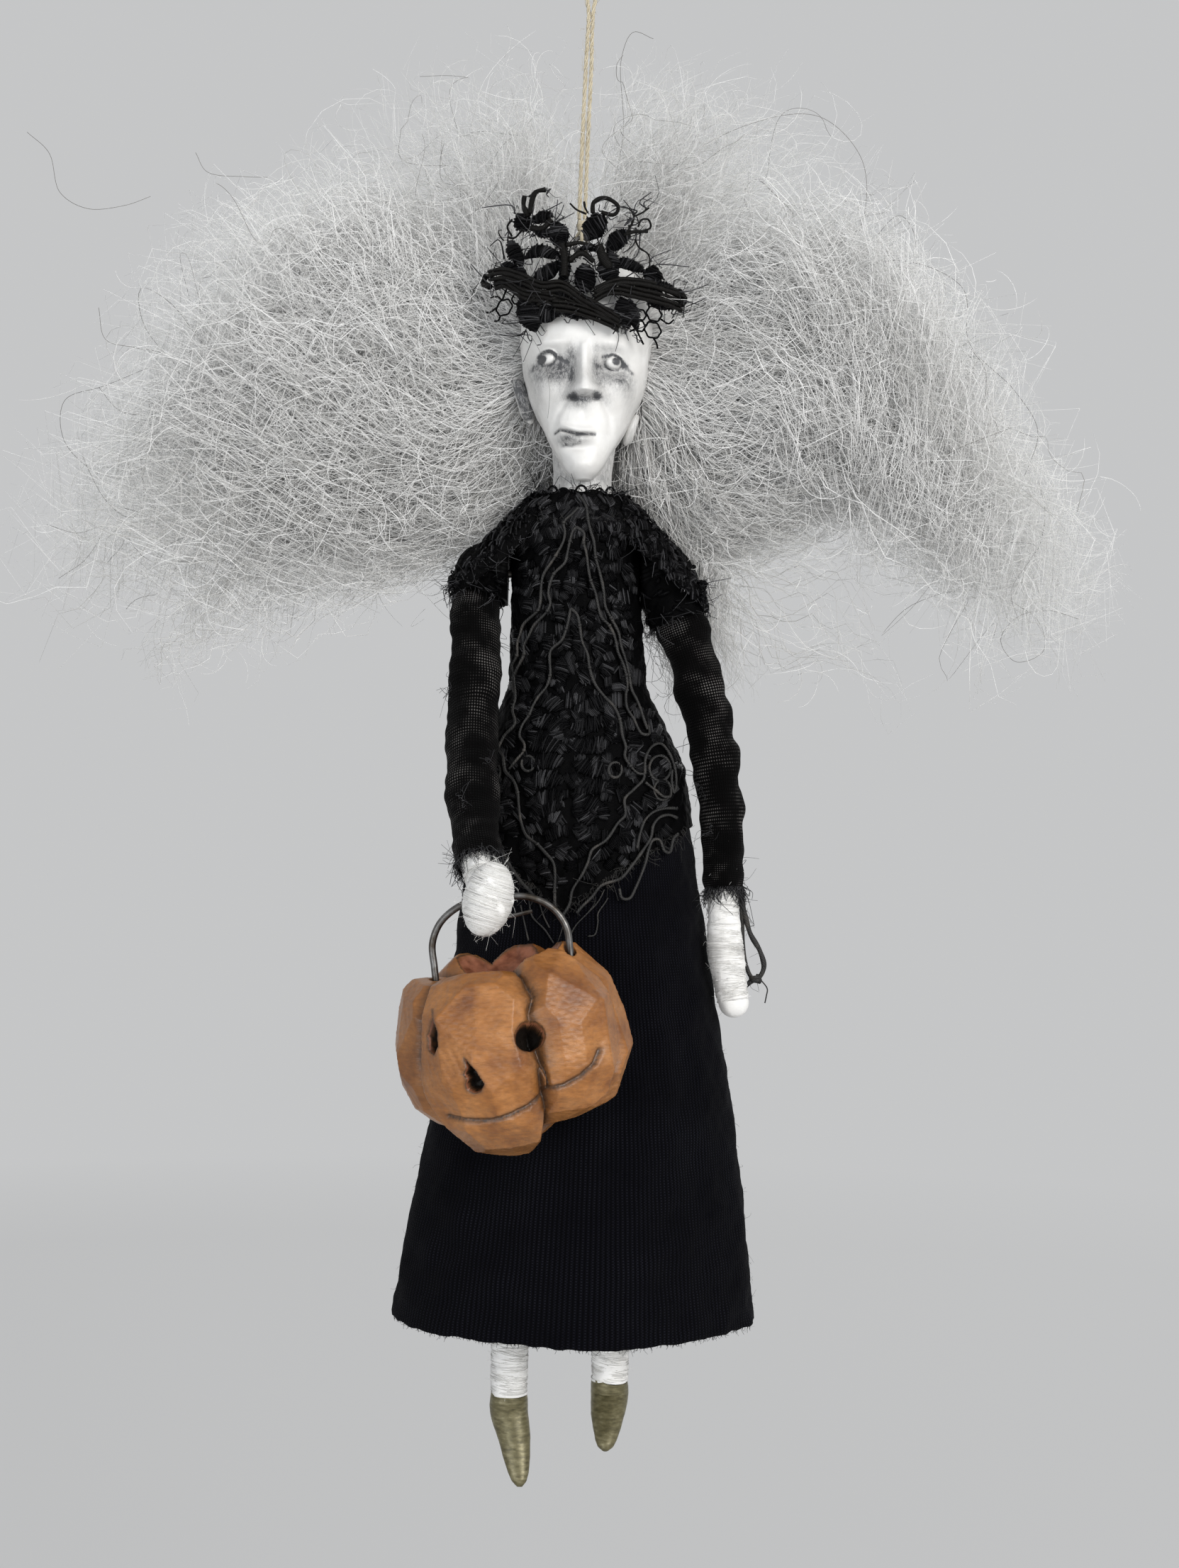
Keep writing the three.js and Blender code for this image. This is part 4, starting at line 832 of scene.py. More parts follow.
# Graphite on the face as (darkness, x, z, half width, half height).
SHADE_ROUND_EYES = [
    (0.6, -5.4, -61.1, 2.7, 2.1), (0.52, -3.0, -61.4, 1.7, 2.2), (0.5, 3.4, -61.7, 2.6, 2.0),
    (0.5, 5.6, -62.0, 1.5, 1.5), (0.45, -6.6, -60.2, 0.8, 0.7), (0.5, -2.9, -60.2, 0.7, 0.8),
    (0.45, 2.3, -60.2, 0.8, 0.9), (0.3, 3.0, -58.0, 1.9, 0.6), (0.6, -1.5, -58.7, 0.9, 1.3),
    (0.62, -1.4, -61.6, 0.7, 2.2), (0.4, 1.75, -59.8, 0.5, 1.9), (0.3, 2.4, -62.6, 0.8, 1.4),
    (0.22, -6.4, -64.5, 1.0, 2.5), (0.2, 6.6, -64.0, 1.0, 2.5),
]
SHADE_ON_NOSE_AND_CHIN = [
    (0.9, 5.75, -59.9, 0.55, 0.45), (1.2, -1.25, -64.6, 0.6, 0.36), (1.2, 2.05, -64.5, 0.55, 0.36),
    (0.85, 0.35, -65.0, 1.7, 0.5), (0.5, -0.3, -65.8, 1.5, 0.8), (0.35, -2.5, -64.7, 0.9, 1.1),
    (0.3, 3.3, -65.0, 1.0, 1.2), (0.62, -1.1, -70.4, 2.1, 0.75), (0.35, -2.3, -70.6, 0.8, 0.7),
    (0.8, -3.85, -73.5, 0.3, 0.42), (0.3, -3.3, -73.3, 0.9, 0.9),
]
# Pencil lines as (darkness, half width, points): two lids, the lips' line and the line below it.
PENCIL = [
    (0.8, 0.26, [(-5.9, -58.8), (-4.6, -58.28), (-3.2, -59.1), (-2.3, -59.8)]),
    (0.75, 0.24, [(2.8, -59.0), (4.2, -58.66), (5.3, -59.2), (6.8, -60.8)]),
    (0.95, 0.22, MOUTH),
    (0.5, 0.2, [(-2.5, -71.2), (-1.2, -71.25), (-0.1, -71.0)]),
]
PUPILS = [(-5.5, -59.3), (4.53, -59.58)]


def face_shade(x, z):
    """Where the painted head is rubbed with graphite, from 0 to about 1."""
    dark = spots(x, z, SHADE_ROUND_EYES)
    for cx, cz in EYES:
        ring = eye_ring(x, z, cx, cz)
        dark *= 1 - 0.85 * smooth(1.1 - ring, 0, 0.35)
        dark += 0.5 * np.exp(-(((ring - 1.14) / 0.2) ** 2))
    right, left = (np.hypot(x - px, z - pz) for px, pz in PUPILS)
    dark += 2.0 * np.exp(-((right / 0.5) ** 6)) + 1.5 * np.exp(-((left / 0.52) ** 6))
    dark -= 0.35 * np.exp(-((left / 0.24) ** 2))
    dark += spots(x, z, SHADE_ON_NOSE_AND_CHIN)
    for much, wide, line in PENCIL:
        dark += much * scored(x, z, line, wide)
    return dark


def skull():
    share = np.r_[
        np.linspace(0, 0.36, 60)[:-1], np.linspace(0.36, 0.93, 190)[:-1], np.linspace(0.93, 1, 34)
    ]
    wide, front, back = table(HEAD_ROWS, share)
    spin = np.linspace(-1, 1, 300, endpoint=False)
    turn = math.pi * (0.55 * spin + 0.45 * spin**3)
    sx, cy = np.sin(turn), -np.cos(turn)
    power = 2.25
    full = (np.abs(sx) ** power + np.abs(cy) ** power) ** (-1 / power)
    x = HEAD_X + (wide * HEAD_HALF)[:, None] * (sx * full)
    middle = (back * BACK_OUT - front * FACE_OUT) / 2
    half = (back * BACK_OUT + front * FACE_OUT) / 2
    y = middle[:, None] + half[:, None] * (cy * full)
    z = np.repeat((HEAD_TOP - share * HEAD_TALL)[:, None], len(turn), 1)
    facing = smooth(-cy, 0.12, 0.5)[None]
    y = y - facing * face_relief(x, z)
    points = np.stack([x, y, z], 2)
    cut = wobble(points, 6, 5, 2)
    cuts = 0.09 * np.sign(cut) * np.abs(cut) ** 0.6
    points[..., :2] += cuts[..., None] * np.stack([sx, cy], 1)[None]
    # Painted shade on the sides of the head (beside) and at its top under the crown.
    beside = 0.3 * smooth(-cy, -0.2, 0.3) * smooth(0.45 + cy, 0, 0.4)[None] * np.ones_like(x)
    tone = facing * face_shade(x, z) + beside + 0.55 * smooth(z, -47, -44)
    return surface(points, tone=tone, cell=(0.2, 0.15))


def neck():
    level = np.linspace(-70, -81.1, 40)
    radius = np.interp(level, [-81.1, -78, -74, -70], [4.2, 4.15, 4.1, 4.5])
    ring = circle(90)
    x = np.interp(level, [-81.1, -70], [0.2, HEAD_X])[:, None] + radius[:, None] * np.cos(ring)
    y = np.interp(level, [-81.1, -70], [0, -0.6])[:, None] + 0.97 * radius[:, None] * np.sin(ring)
    z = np.repeat(level[:, None], len(ring), 1)
    # Painted shade under the chin and beside the raised sinews.
    shade_under_chin = 0.5 * smooth(z, -77, -75) * smooth(-y, -1, 3)
    beside = np.abs(x - 0.3)
    sinew_shade = 0.35 * np.exp(-((np.abs(beside - 2.2) / 0.5) ** 2)) * smooth(-y, 0, 3)
    y = y - 0.35 * np.exp(-((np.abs(beside - 2.0) / 0.7) ** 2)) * smooth(-y, 0, 3)
    return surface(np.stack([x, y, z], 2), tone=shade_under_chin + 0.15 * sinew_shade + 0.02, cell=(0.3, 0.28))


# Each ear: its middle, how thick and how tall it is, and how much painted shade its front gets.
EARS = {-1: ((-8.35, 0.6, -63.6), 1.15, 3.3, 0.85), 1: ((7.0, 0.8, -67.4), 0.8, 2.2, 0.15)}


def ear(side):
    centre, thick, tall, front = EARS[side]
    polar = np.linspace(0.02, math.pi - 0.02, 56)[:, None]
    around = circle(72)[None]
    ex, ey = np.sin(polar) * np.cos(around), np.sin(polar) * np.sin(around)
    ez = np.cos(polar) * np.ones_like(ex)
    outer = smooth(side * ex, -0.1, 0.6)
    rim = np.hypot(ey / 0.62, (ez - 0.12) / 0.66)
    hollow = outer * smooth(1 - rim, 0.05, 0.5)
    px = thick * ex - side * 0.95 * hollow + 0.12 * outer * side * np.exp(-(((rim - 1.25) / 0.2) ** 2))
    py = 1.95 * ey * (1 - 0.18 * np.clip(-ez, 0, 1))
    pz = tall * ez
    points = np.stack([px + side * 0.36 * pz, py, pz - 0.15 * side * px], 2) + np.array(centre)
    # The front of the ear and its hollow are painted darker: painted shade.
    shade = front * smooth(-ey, -0.2, 0.3) * smooth(0.8 - side * ex, 0, 0.25)
    shade = shade * smooth(1 - np.abs(ez), 0.03, 0.2)
    return surface(points, tone=0.8 * hollow + shade + 0.05, cell=(0.2, 0.18))


def carved_head():
    build("carved_head", [skull(), neck(), ear(-1), ear(1)], PAINTED, "figure", ("head",))


carved_head()

# Crown of lace

CROWN_Z = -55.78


def crown_at(x, z, out):
    forward = 10.8 + 0.12 * (z - CROWN_Z)
    share = np.clip((x - HEAD_X) / 13.8, -0.97, 0.97)
    y = -forward * np.sqrt(1 - share**2)
    way = unit(np.stack([(x - HEAD_X) / 13.8**2, y / forward**2], -1))
    return np.stack([x + way[..., 0] * out, y + way[..., 1] * out, z], -1)


LEAF_SHARES = (0.25, 0.75, 1, 0.95, 0.7, 0.3)
LEAF_THICK = 0.5
STITCH_GAP, STITCH_THREAD, BUNDLE_THREAD = 0.23, 0.115, 0.11
FRAY_POINTS = 7


def leaf_share(t, shares):
    """A leaf's width along its length as a share of its full width, closed at both ends."""
    share = np.interp(t, np.linspace(0, 1, len(shares)), shares)
    return share * np.sqrt(np.clip(np.minimum(t, 1 - t) * 9 + 0.12, 0, 1))


def leaf(points, width, place, lift, seed, shares=LEAF_SHARES):
    """A padded satin-stitched leaf drawn in the front view and laid on a surface by place(x, z, out)."""
    long = max(10, int(6 * length_of(points)))
    line = flat_curve(points, long)
    way = unit(np.gradient(line, axis=0))
    t = np.linspace(0, 1, long)
    share = leaf_share(t, shares)
    rng = np.random.default_rng(seed + 77)
    share = share * (1 + 0.07 * np.sin(t * rng.uniform(8, 16) + rng.uniform(0, 6)))
    turn = circle(18)
    across = (share * width / 2)[:, None] * np.cos(turn)
    out = lift + (LEAF_THICK * np.sqrt(share))[:, None] * np.sin(turn)
    stitch = 0.045 * np.sin(np.arange(long) * 2.6)[:, None] * np.sin(turn)
    x = line[:, :1] - way[:, 1:] * across
    z = line[:, 1:] + way[:, :1] * across
    return surface(place(x, z, out + stitch), cell=(width / 9, length_of(line) / (long - 1)))


def stitched(points, width, place, lift, seed, shares=LEAF_SHARES):
    """The satin stitches of a leaf: threads laid over it from edge to edge."""
    rng = np.random.default_rng(seed + 991)
    run = length_of(points)
    count = max(5, int(run / STITCH_GAP))
    fine = flat_curve(points, 60)
    way = unit(np.gradient(fine, axis=0))
    t = np.linspace(0.02, 0.98, count)[:, None] + rng.normal(size=(count, 1)) * 0.012
    a = np.sin(np.linspace(-1.5, 1.5, 9))[None]
    slant = 0.3 + rng.normal(size=(count, 1)) * 0.12
    along = np.clip(t + slant * width / 2 / run * a, 0, 1)
    share = leaf_share(along, shares)
    reach = share * width / 2 * (1 + rng.normal(size=(count, 1)) * 0.1)
    px, pz = (np.interp(along * 59, np.arange(60), fine[:, k]) for k in (0, 1))
    wx, wz = (np.interp(along * 59, np.arange(60), way[:, k]) for k in (0, 1))
    padding = LEAF_THICK * np.sqrt(share) * np.sqrt(1 - 0.98 * a**2)
    out = lift + padding + 0.04 + rng.uniform(0, 0.06, (count, 1))
    path = place(px - wz * reach * a, pz + wx * reach * a, out)
    lit = np.clip(np.sin(t[:, 0] * rng.uniform(5, 9) + rng.uniform(0, TAU)), 0, 1)
    tone = rng.uniform(0, 1, count) ** 2 * (0.12 + 0.75 * lit)
    return tubes(path, STITCH_THREAD * rng.uniform(0.75, 1.25, (count, 1)), 5, tone=tone)


def bundle(cx, cz, lean, long, count, place, rng, lift, rise):
    """A few satin threads side by side that arch over the ground."""
    t = np.linspace(-1, 1, 7)[None]
    row = (np.arange(count)[:, None] - (count - 1) / 2) * 0.2
    shorter = 1 - 0.25 * (np.abs(row) / (0.1 * count)) ** 2
    half = long / 2 * shorter * rng.uniform(0.85, 1.1, (count, 1))
    along = half * t + rng.normal(size=(count, 1)) * 0.08
    x = cx + along * math.sin(lean) + row * math.cos(lean)
    z = cz + along * math.cos(lean) - row * math.sin(lean)
    out = lift + rise * (1 - t**2) * (1 - (np.abs(row) / (0.13 * count + 0.1)) ** 2) + 0 * x
    tone = rng.uniform(0, 1) ** 2 * rng.uniform(0, 1, count) * 0.9
    return tubes(place(x, z, out), BUNDLE_THREAD * rng.uniform(0.8, 1.2, (count, 1)), 5, tone=tone)


def cordline(points, width, place, lift, step=0.25, seed=0):
    """A round cord along a line of x and z points."""
    count = max(6, int(length_of(points) / step))
    line = flat_curve(points, count)
    path = place(line[:, 0], line[:, 1], np.full(count, lift))
    thick = width / 2 * (1 + 0.12 * wobble(path, 2.0, seed))
    return tubes(path, thick[None], 8)


def frays(starts, ways, length, radius, seed, curl):
    """Loose thread ends. starts and ways are (n, 3); length and radius are (low, high)."""
    rng = np.random.default_rng(seed)
    starts, ways = np.asarray(starts, float), unit(np.asarray(ways, float))
    n = len(starts)
    t = np.linspace(0, 1, FRAY_POINTS)[None, :, None]
    long = rng.uniform(*length, (n, 1, 1))
    bend = rng.normal(size=(n, 1, 3)) * curl
    bend2 = rng.normal(size=(n, 1, 3)) * curl * 0.6
    paths = starts[:, None] + long * (t * ways[:, None] + t**2 * bend + np.sin(4 * t) * bend2 * t)
    thick = rng.uniform(*radius, (n, 1)) * np.linspace(1, 0.55, FRAY_POINTS)[None]
    return tubes(paths, thick, 4, tone=rng.uniform(0, 1, n))


CROWN_LEAVES = [
    ([(-10.2, -43.3), (-9.3, -45.2), (-8.3, -47)], 1.95),
    ([(-7.8, -46.1), (-6.2, -45.3), (-4.4, -45.8), (-3.1, -46.4)], 1.83),
    ([(-8.8, -40), (-8.3, -41.3), (-7.8, -42.5)], 2.44),
    ([(-7, -41.4), (-5.6, -40.9), (-4.3, -40.6)], 1.71),
    ([(-4.1, -41.7), (-3.4, -43.4), (-2.9, -45.3)], 2.81),
    ([(-6.8, -49.1), (-5, -48.3), (-3.1, -46.9)], 2.2),
    ([(-0.2, -47.2), (0.1, -49), (0.2, -51.1)], 3.29),
    ([(2.5, -40.9), (1.2, -42.4), (0.1, -44.1)], 3.29),
    ([(5.9, -42.6), (4.7, -43.4), (3.8, -44.4), (2.9, -45.6)], 2.44),
    ([(2.1, -46.8), (3.1, -48.2), (4.1, -49.6)], 2.81),
    ([(3.9, -46.7), (5.9, -46.9), (8, -47.5)], 1.71),
    ([(9.1, -46.6), (9.1, -48), (9.1, -49.5)], 2.81),
    ([(-7.6, -51.3), (-7, -53.7), (-6.3, -56.1)], 3.05),
    ([(4.9, -51.4), (5.4, -53.4), (5.9, -55.4)], 2.81),
    ([(-3.9, -51.2), (-2.6, -51), (-1.4, -50.8)], 2.56),
    ([(-7.2, -53.9), (-5, -53.8), (-2.8, -53.3)], 2.44),
    ([(-3.4, -53.3), (-0.4, -53.4), (2.6, -53.7)], 2.56),
    ([(1.8, -53.6), (3.6, -54.1), (5.4, -54.9)], 2.32),
    ([(-10.9, -46.4), (-9.6, -47.2), (-8.4, -48.6)], 1.59),
    ([(8.2, -48.9), (10, -49.1), (12, -49.2)], 1.34),
    ([(8.6, -51.5), (10.4, -51.6), (12.3, -51.3)], 1.34),
    ([(-8.6, -47.0), (-8.2, -48.6), (-7.4, -50.0)], 1.5),
    ([(-2.8, -46.0), (-2.6, -48.2), (-2.9, -50.2)], 1.7),
    ([(3.3, -45.2), (3.6, -47.0), (4.0, -49.0)], 1.9),
    ([(5.9, -51.6), (6.5, -53.4), (7.0, -55.6)], 1.5),
    ([(-8.4, -51.2), (-8.2, -53.2), (-7.6, -55.4)], 1.5),
    ([(-5.6, -52.0), (-4.0, -53.0), (-2.0, -53.6)], 1.7),
    ([(-1.0, -52.0), (1.0, -52.8), (3.0, -53.4)], 1.7),
    ([(-6.4, -43.0), (-5.2, -43.2), (-4.2, -42.6)], 1.1),
    ([(-0.6, -45.4), (0.6, -45.0), (1.9, -45.6)], 1.0),
    ([(6.6, -49.4), (8.4, -49.9), (10.6, -50.2)], 1.2),
    ([(-9.8, -48.6), (-8.2, -49.8), (-6.4, -50.8)], 1.3),
    ([(-4.9, -50.4), (-3.2, -51.0), (-1.2, -51.6)], 1.4),
]
CROWN_CORDS = [
    ([(-4.3, -41.4), (-5.5, -42.5), (-6.9, -42.3)], 1.08),
    ([(-7.8, -37.9), (-7.9, -39.2), (-7.2, -40.7)], 0.94),
    ([(-5.1, -37.5), (-6.3, -37.7), (-6.8, -38.9), (-7, -40.4)], 0.88),
    ([(-2.9, -44.7), (-2.5, -46.6), (-2.5, -49)], 1.22),
    ([(-2, -46.9), (-0.4, -45.9), (1.2, -47)], 0.94),
    (
        [
            (0.9, -40.7), (1, -39.3), (2.0, -38.7), (2.8, -38.7), (4.1, -39.6), (3.9, -40.5),
            (3.4, -40.8), (2, -40.5),
        ],
        0.74,
    ),
    ([(1.7, -44.8), (2.3, -46.4), (3.2, -47.8)], 1.62),
    (
        [
            (-12.2, -47.5), (-10.2, -47.8), (-8.1, -48.8), (-5.3, -50.3), (-2.8, -50.3), (-0.3, -52),
            (1.9, -53.2), (4.6, -54.8),
        ],
        0.84,
    ),
    ([(-11.6, -48.9), (-10.6, -48.8), (-7.8, -50.9), (-5.3, -51.6), (-2.4, -52.4)], 0.84),
    ([(1.3, -51.6), (3.3, -50.5), (7.5, -50.8), (12.4, -51.2)], 0.84),
    ([(1.5, -51.1), (4, -49.8), (6.8, -49.5), (12.2, -49.9)], 0.94),
    ([(-3.9, -52.8), (-1.2, -53.2), (1.6, -54.1), (4.4, -55.2)], 0.74),
    ([(-6, -52.6), (-3.2, -51.7), (-0.6, -52.6)], 0.68),
    ([(-2.4, -44.9), (-0.6, -44.6), (1.0, -45.1)], 0.74),
    ([(12.1, -49.3), (12.9, -50.1), (12.5, -51.1)], 1.08),
    ([(-12.6, -47.3), (-12.9, -48.2), (-12.0, -49.1)], 1.08),
    ([(-5.9, -50.2), (-6.3, -51.5), (-7.1, -52.2)], 0.81),
    ([(6.7, -42.0), (7.1, -41.0), (8.0, -40.8), (8.3, -41.8), (7.4, -42.4)], 0.28),
    ([(5.1, -43.2), (5.9, -41.6), (6.2, -40.2)], 0.28),
    ([(6.0, -40.8), (7.2, -40.0), (7.9, -39.3)], 0.25),
    ([(6.4, -43.6), (6.9, -44.6), (8.2, -45.4), (8.4, -46.9)], 0.25),
    ([(4.9, -43.3), (6.2, -42.7), (7.9, -42.4)], 0.47),
    ([(-9.3, -43.0), (-9.9, -41.6), (-9.3, -40.8)], 0.29),
    ([(-7.9, -42.5), (-8.9, -43.4), (-9.7, -43.1)], 0.29),
    ([(0.1, -40.8), (-1.2, -40.2), (-2.0, -39.4)], 0.28),
    ([(0.3, -40.7), (-0.1, -39.9), (-0.2, -39.2)], 0.28),
]
# The five long cords have two thinner ones along them: how far across and up, and how thin.
for points, width in CROWN_CORDS[7:12]:
    for across, rise, share in ((0.1, -0.62, 0.7), (0, 0.55, 0.6)):
        double = [(round(x + across, 2), round(z + rise, 2)) for x, z in points]
        CROWN_CORDS.append((double, round(share * width, 2)))
# Open net cells at the crown's sides: middle x, middle z and radius.
NET_CELLS = [
    (-10.7, -52.2, 1.07), (-8.9, -51.3, 0.72), (9.3, -55.2, 1.07), (9.4, -53, 0.98), (7.5, -54.9, 0.72),
    (7.6, -53.4, 0.7),
]
NET_TAILS = [
    [(-11.7, -51.9), (-12.6, -52.2), (-13.2, -52.0)],
    [(-11.2, -53.2), (-11.5, -53.8), (-12.0, -53.7)],
    [(-11.0, -51.2), (-11.6, -50.5), (-12.6, -50.2)],
    [(-11.0, -51.2), (-10.6, -50.2), (-10.2, -49.4)],
    [(-9.1, -52.0), (-8.3, -52.6), (-7.9, -53.6)],
    [(10.3, -53.5), (11.4, -53.9), (12.1, -53.2)],
    [(9.4, -56.2), (9.9, -57.0), (10.0, -57.6)],
    [(7.2, -55.6), (7.6, -56.4), (8.1, -57.3)],
    [(10.0, -52.2), (10.2, -51.3)],
    [(8.7, -52.2), (8.6, -51.3)],
    [(6.9, -55.4), (6.2, -55.8)],
    [(8.5, -54.4), (8.9, -54.0)],
]


def crown():
    parts = []
    for i, (points, width) in enumerate(CROWN_LEAVES):
        width = width * (0.92 if width > 2.2 else 0.96)
        for make in (leaf, stitched):
            parts.append(make(points, width, crown_at, 0.3 + 0.09 * (i % 5), i))
    cords = []
    for i, (points, width) in enumerate(CROWN_CORDS):
        width = width * (0.78 if width > 0.6 else 1)
        cords.append(cordline(points, width, crown_at, 0.9 + 0.12 * (i % 4), 0.28, i))
    build("crown_cords", cords, CROWN_CORD, "figure", ())
    for cx, cz, r in NET_CELLS:
        turn = np.linspace(0, TAU, 37) + 0.4
        wide = r * (1 + 0.06 * np.cos(6 * turn))
        ring = crown_at(cx + wide * np.cos(turn), cz + wide * np.sin(turn), np.full(37, 0.4))
        parts.append(tubes(ring, 0.13, 6))
    parts += [cordline(line, 0.26, crown_at, 0.4, 0.2, i) for i, line in enumerate(NET_TAILS)]
    rng = np.random.default_rng(31)
    starts, ways = [], []
    for points, width in CROWN_LEAVES + CROWN_CORDS[:20]:
        for tip, inner in ((points[0], points[1]), (points[-1], points[-2])):
            way = np.array([tip[0] - inner[0], tip[1] - inner[1]])
            way = way / np.linalg.norm(way)
            for _ in range(6):
                x, z = np.array(tip) + rng.normal(size=2) * width * 0.22
                starts.append(crown_at(np.array(x), np.array(z), 0.4))
                side, front, up = (rng.normal() * much for much in (0.7, 0.5, 0.7))
                ways.append((way[0] + side, front, way[1] + up))
    parts.append(frays(starts[::3], ways[::3], (0.7, 2.0), (0.09, 0.14), 32, 1.1))
    parts.append(frays(starts[1::3], ways[1::3], (0.5, 1.9), (0.05, 0.08), 33, 1.0))
    build("crown_of_lace", parts, LACE, "figure", ("lace_crown",))


crown()

# Dress

# The dress at each level: z, the middle's x, and half its width and depth.
DRESS_ROWS = [
    (-77.5, 0.2, 5.7, 5.4),
    (-79.0, 0.1, 7.55, 5.95),
    (-81.25, -0.2, 9.1, 6.41),
    (-83.28, -0.3, 9.4, 6.5),
    (-84.56, -0.3, 8.7, 6.7),
    (-92.15, -0.2, 8.7, 6.7),
    (-104.0, 0.3, 9.3, 7.0),
    (-109.6, 0.7, 11.79, 8.67),
    (-115.05, 0.9, 14.35, 10.26),
    (-121.0, 1.1, 15.1, 11.4),
    (-159.5, 2.2, 20.66, 16.57),
    (-191.5, 1.5, 25.25, 20.85),
]


def dress_at(z):
    levels = np.array(DRESS_ROWS)[::-1]
    return [np.interp(z, levels[:, 0], levels[:, k]) for k in (1, 2, 3)]


def dress_ring(turn, z, out):
    middle, wide, deep = dress_at(z)
    fold = 0.7 * np.clip((-121 - z) / 70, 0, 1) ** 2 * np.cos(5 * turn + 0.6)
    x, y = middle + (wide + out + fold) * np.cos(turn), (deep + out + fold) * np.sin(turn)
    return np.stack([x, y, z + 0 * turn], -1)


def dress_front(x, z, out):
    """A point of the dress's front, out from its surface."""
    middle, wide, deep = dress_at(z)
    share = np.clip((x - middle) / (wide + out), -0.985, 0.985)
    return np.stack([x + 0 * out, -(deep + out) * np.sqrt(1 - share**2), z + 0 * out], -1)


def slab(outer, inner, wrap, cell):
    """A closed thin sheet from two grids of the same size."""
    rows, cols, _ = outer.shape
    count = rows * cols
    quads, corner = grid_faces(rows, cols, wrap)
    faces = [quads, quads[:, ::-1] + count]
    uvs = [corner * np.array(cell), corner[:, ::-1] * np.array(cell)]
    edges = [(np.arange(cols), False), (np.arange(cols) + (rows - 1) * cols, True)]
    if not wrap:
        edges += [(np.arange(rows) * cols, True), (np.arange(rows) * cols + cols - 1, False)]
    for line, flip in edges:
        ahead = np.roll(line, -1) if wrap else line[1:]
        here = line if wrap else line[:-1]
        strip = np.stack([here, here + count, ahead + count, ahead], 1)
        if flip:
            strip = strip[:, ::-1]
        faces.append(strip)
        uvs.append(np.zeros((len(strip), 4, 2)))
    verts = np.concatenate([outer.reshape(-1, 3), inner.reshape(-1, 3)])
    return {"verts": verts, "faces": faces, "uvs": uvs, "tone": np.zeros(2 * count)}


def tube_grid(rows, cols, top, bottom):
    """Angles and levels of a (rows, cols) grid round the dress, and its points."""
    turn = circle(cols)[None] * np.ones((rows, 1))
    level = np.linspace(top, bottom, rows)[:, None] * np.ones((1, cols))
    return turn, level, dress_ring(turn, level, 0)


def skirt():
    rows, cols = 190, 300
    turn, level, base = tube_grid(rows, cols, -112.6, -191.9)
    fall = np.linspace(0, 1, rows)[:, None]
    folds = np.stack([9 * np.cos(turn), 9 * np.sin(turn), 0.16 * level], -1)
    drape = 0.32 * fall * wobble(folds, 9, 41, 2) + 0.16 * wobble(base, 7, 42)
    hem_line = np.stack([25 * np.cos(turn), 25 * np.sin(turn), 0 * turn], -1)
    hem = 0.09 * wobble(hem_line, 3, 43, 4) * fall**30
    outer = dress_ring(turn, level + hem, drape - 0.1)
    inner = dress_ring(turn, level + hem, drape * 0.7 - 0.85)
    part = slab(outer, inner, True, (112 / cols, 80 / rows))
    piece = build("knit_skirt", [part], KNIT, "figure", ("skirt",))
    rng = np.random.default_rng(44)
    over, along_hem = 1500, 700
    col = rng.integers(0, cols, over)
    row = (rng.uniform(0, 1, over) ** 0.8 * (rows - 1)).astype(int)
    away = [np.cos(turn[0, col]), np.sin(turn[0, col]), rng.normal(size=over) * 0.9 - 0.4]
    ways = np.stack(away, 1) + rng.normal(size=(over, 3)) * 0.6
    edge = outer[-1, rng.integers(0, cols, along_hem)]
    sway = [0.2 * rng.normal(size=along_hem) for _ in range(2)]
    hem_ways = np.stack(sway + [-np.ones(along_hem)], 1)
    ends = [
        frays(outer[row, col], ways, (0.3, 0.9), (0.01, 0.02), 45, 0.5),
        frays(edge - 0.3 * unit(edge * (1, 1, 0)), hem_ways, (0.15, 0.5), (0.02, 0.04), 46, 0.5),
    ]
    build("skirt_fuzz", ends, KNIT, "figure", ())


def bodice():
    rows, cols = 130, 240
    turn, level, base = tube_grid(rows, cols, -77.4, -112.9)
    crease = np.minimum(0.17 * wobble(base * (1, 1, 1.6), 5, 51), 0.12)
    outer, inner = dress_ring(turn, level, crease), dress_ring(turn, level, crease - 0.45)
    part = slab(outer, inner, True, (58 / cols, 37 / rows))
    piece = build("black_bodice", [part], BODICE, "figure", ("bodice",))


skirt()
bodice()

# Lace on the dress

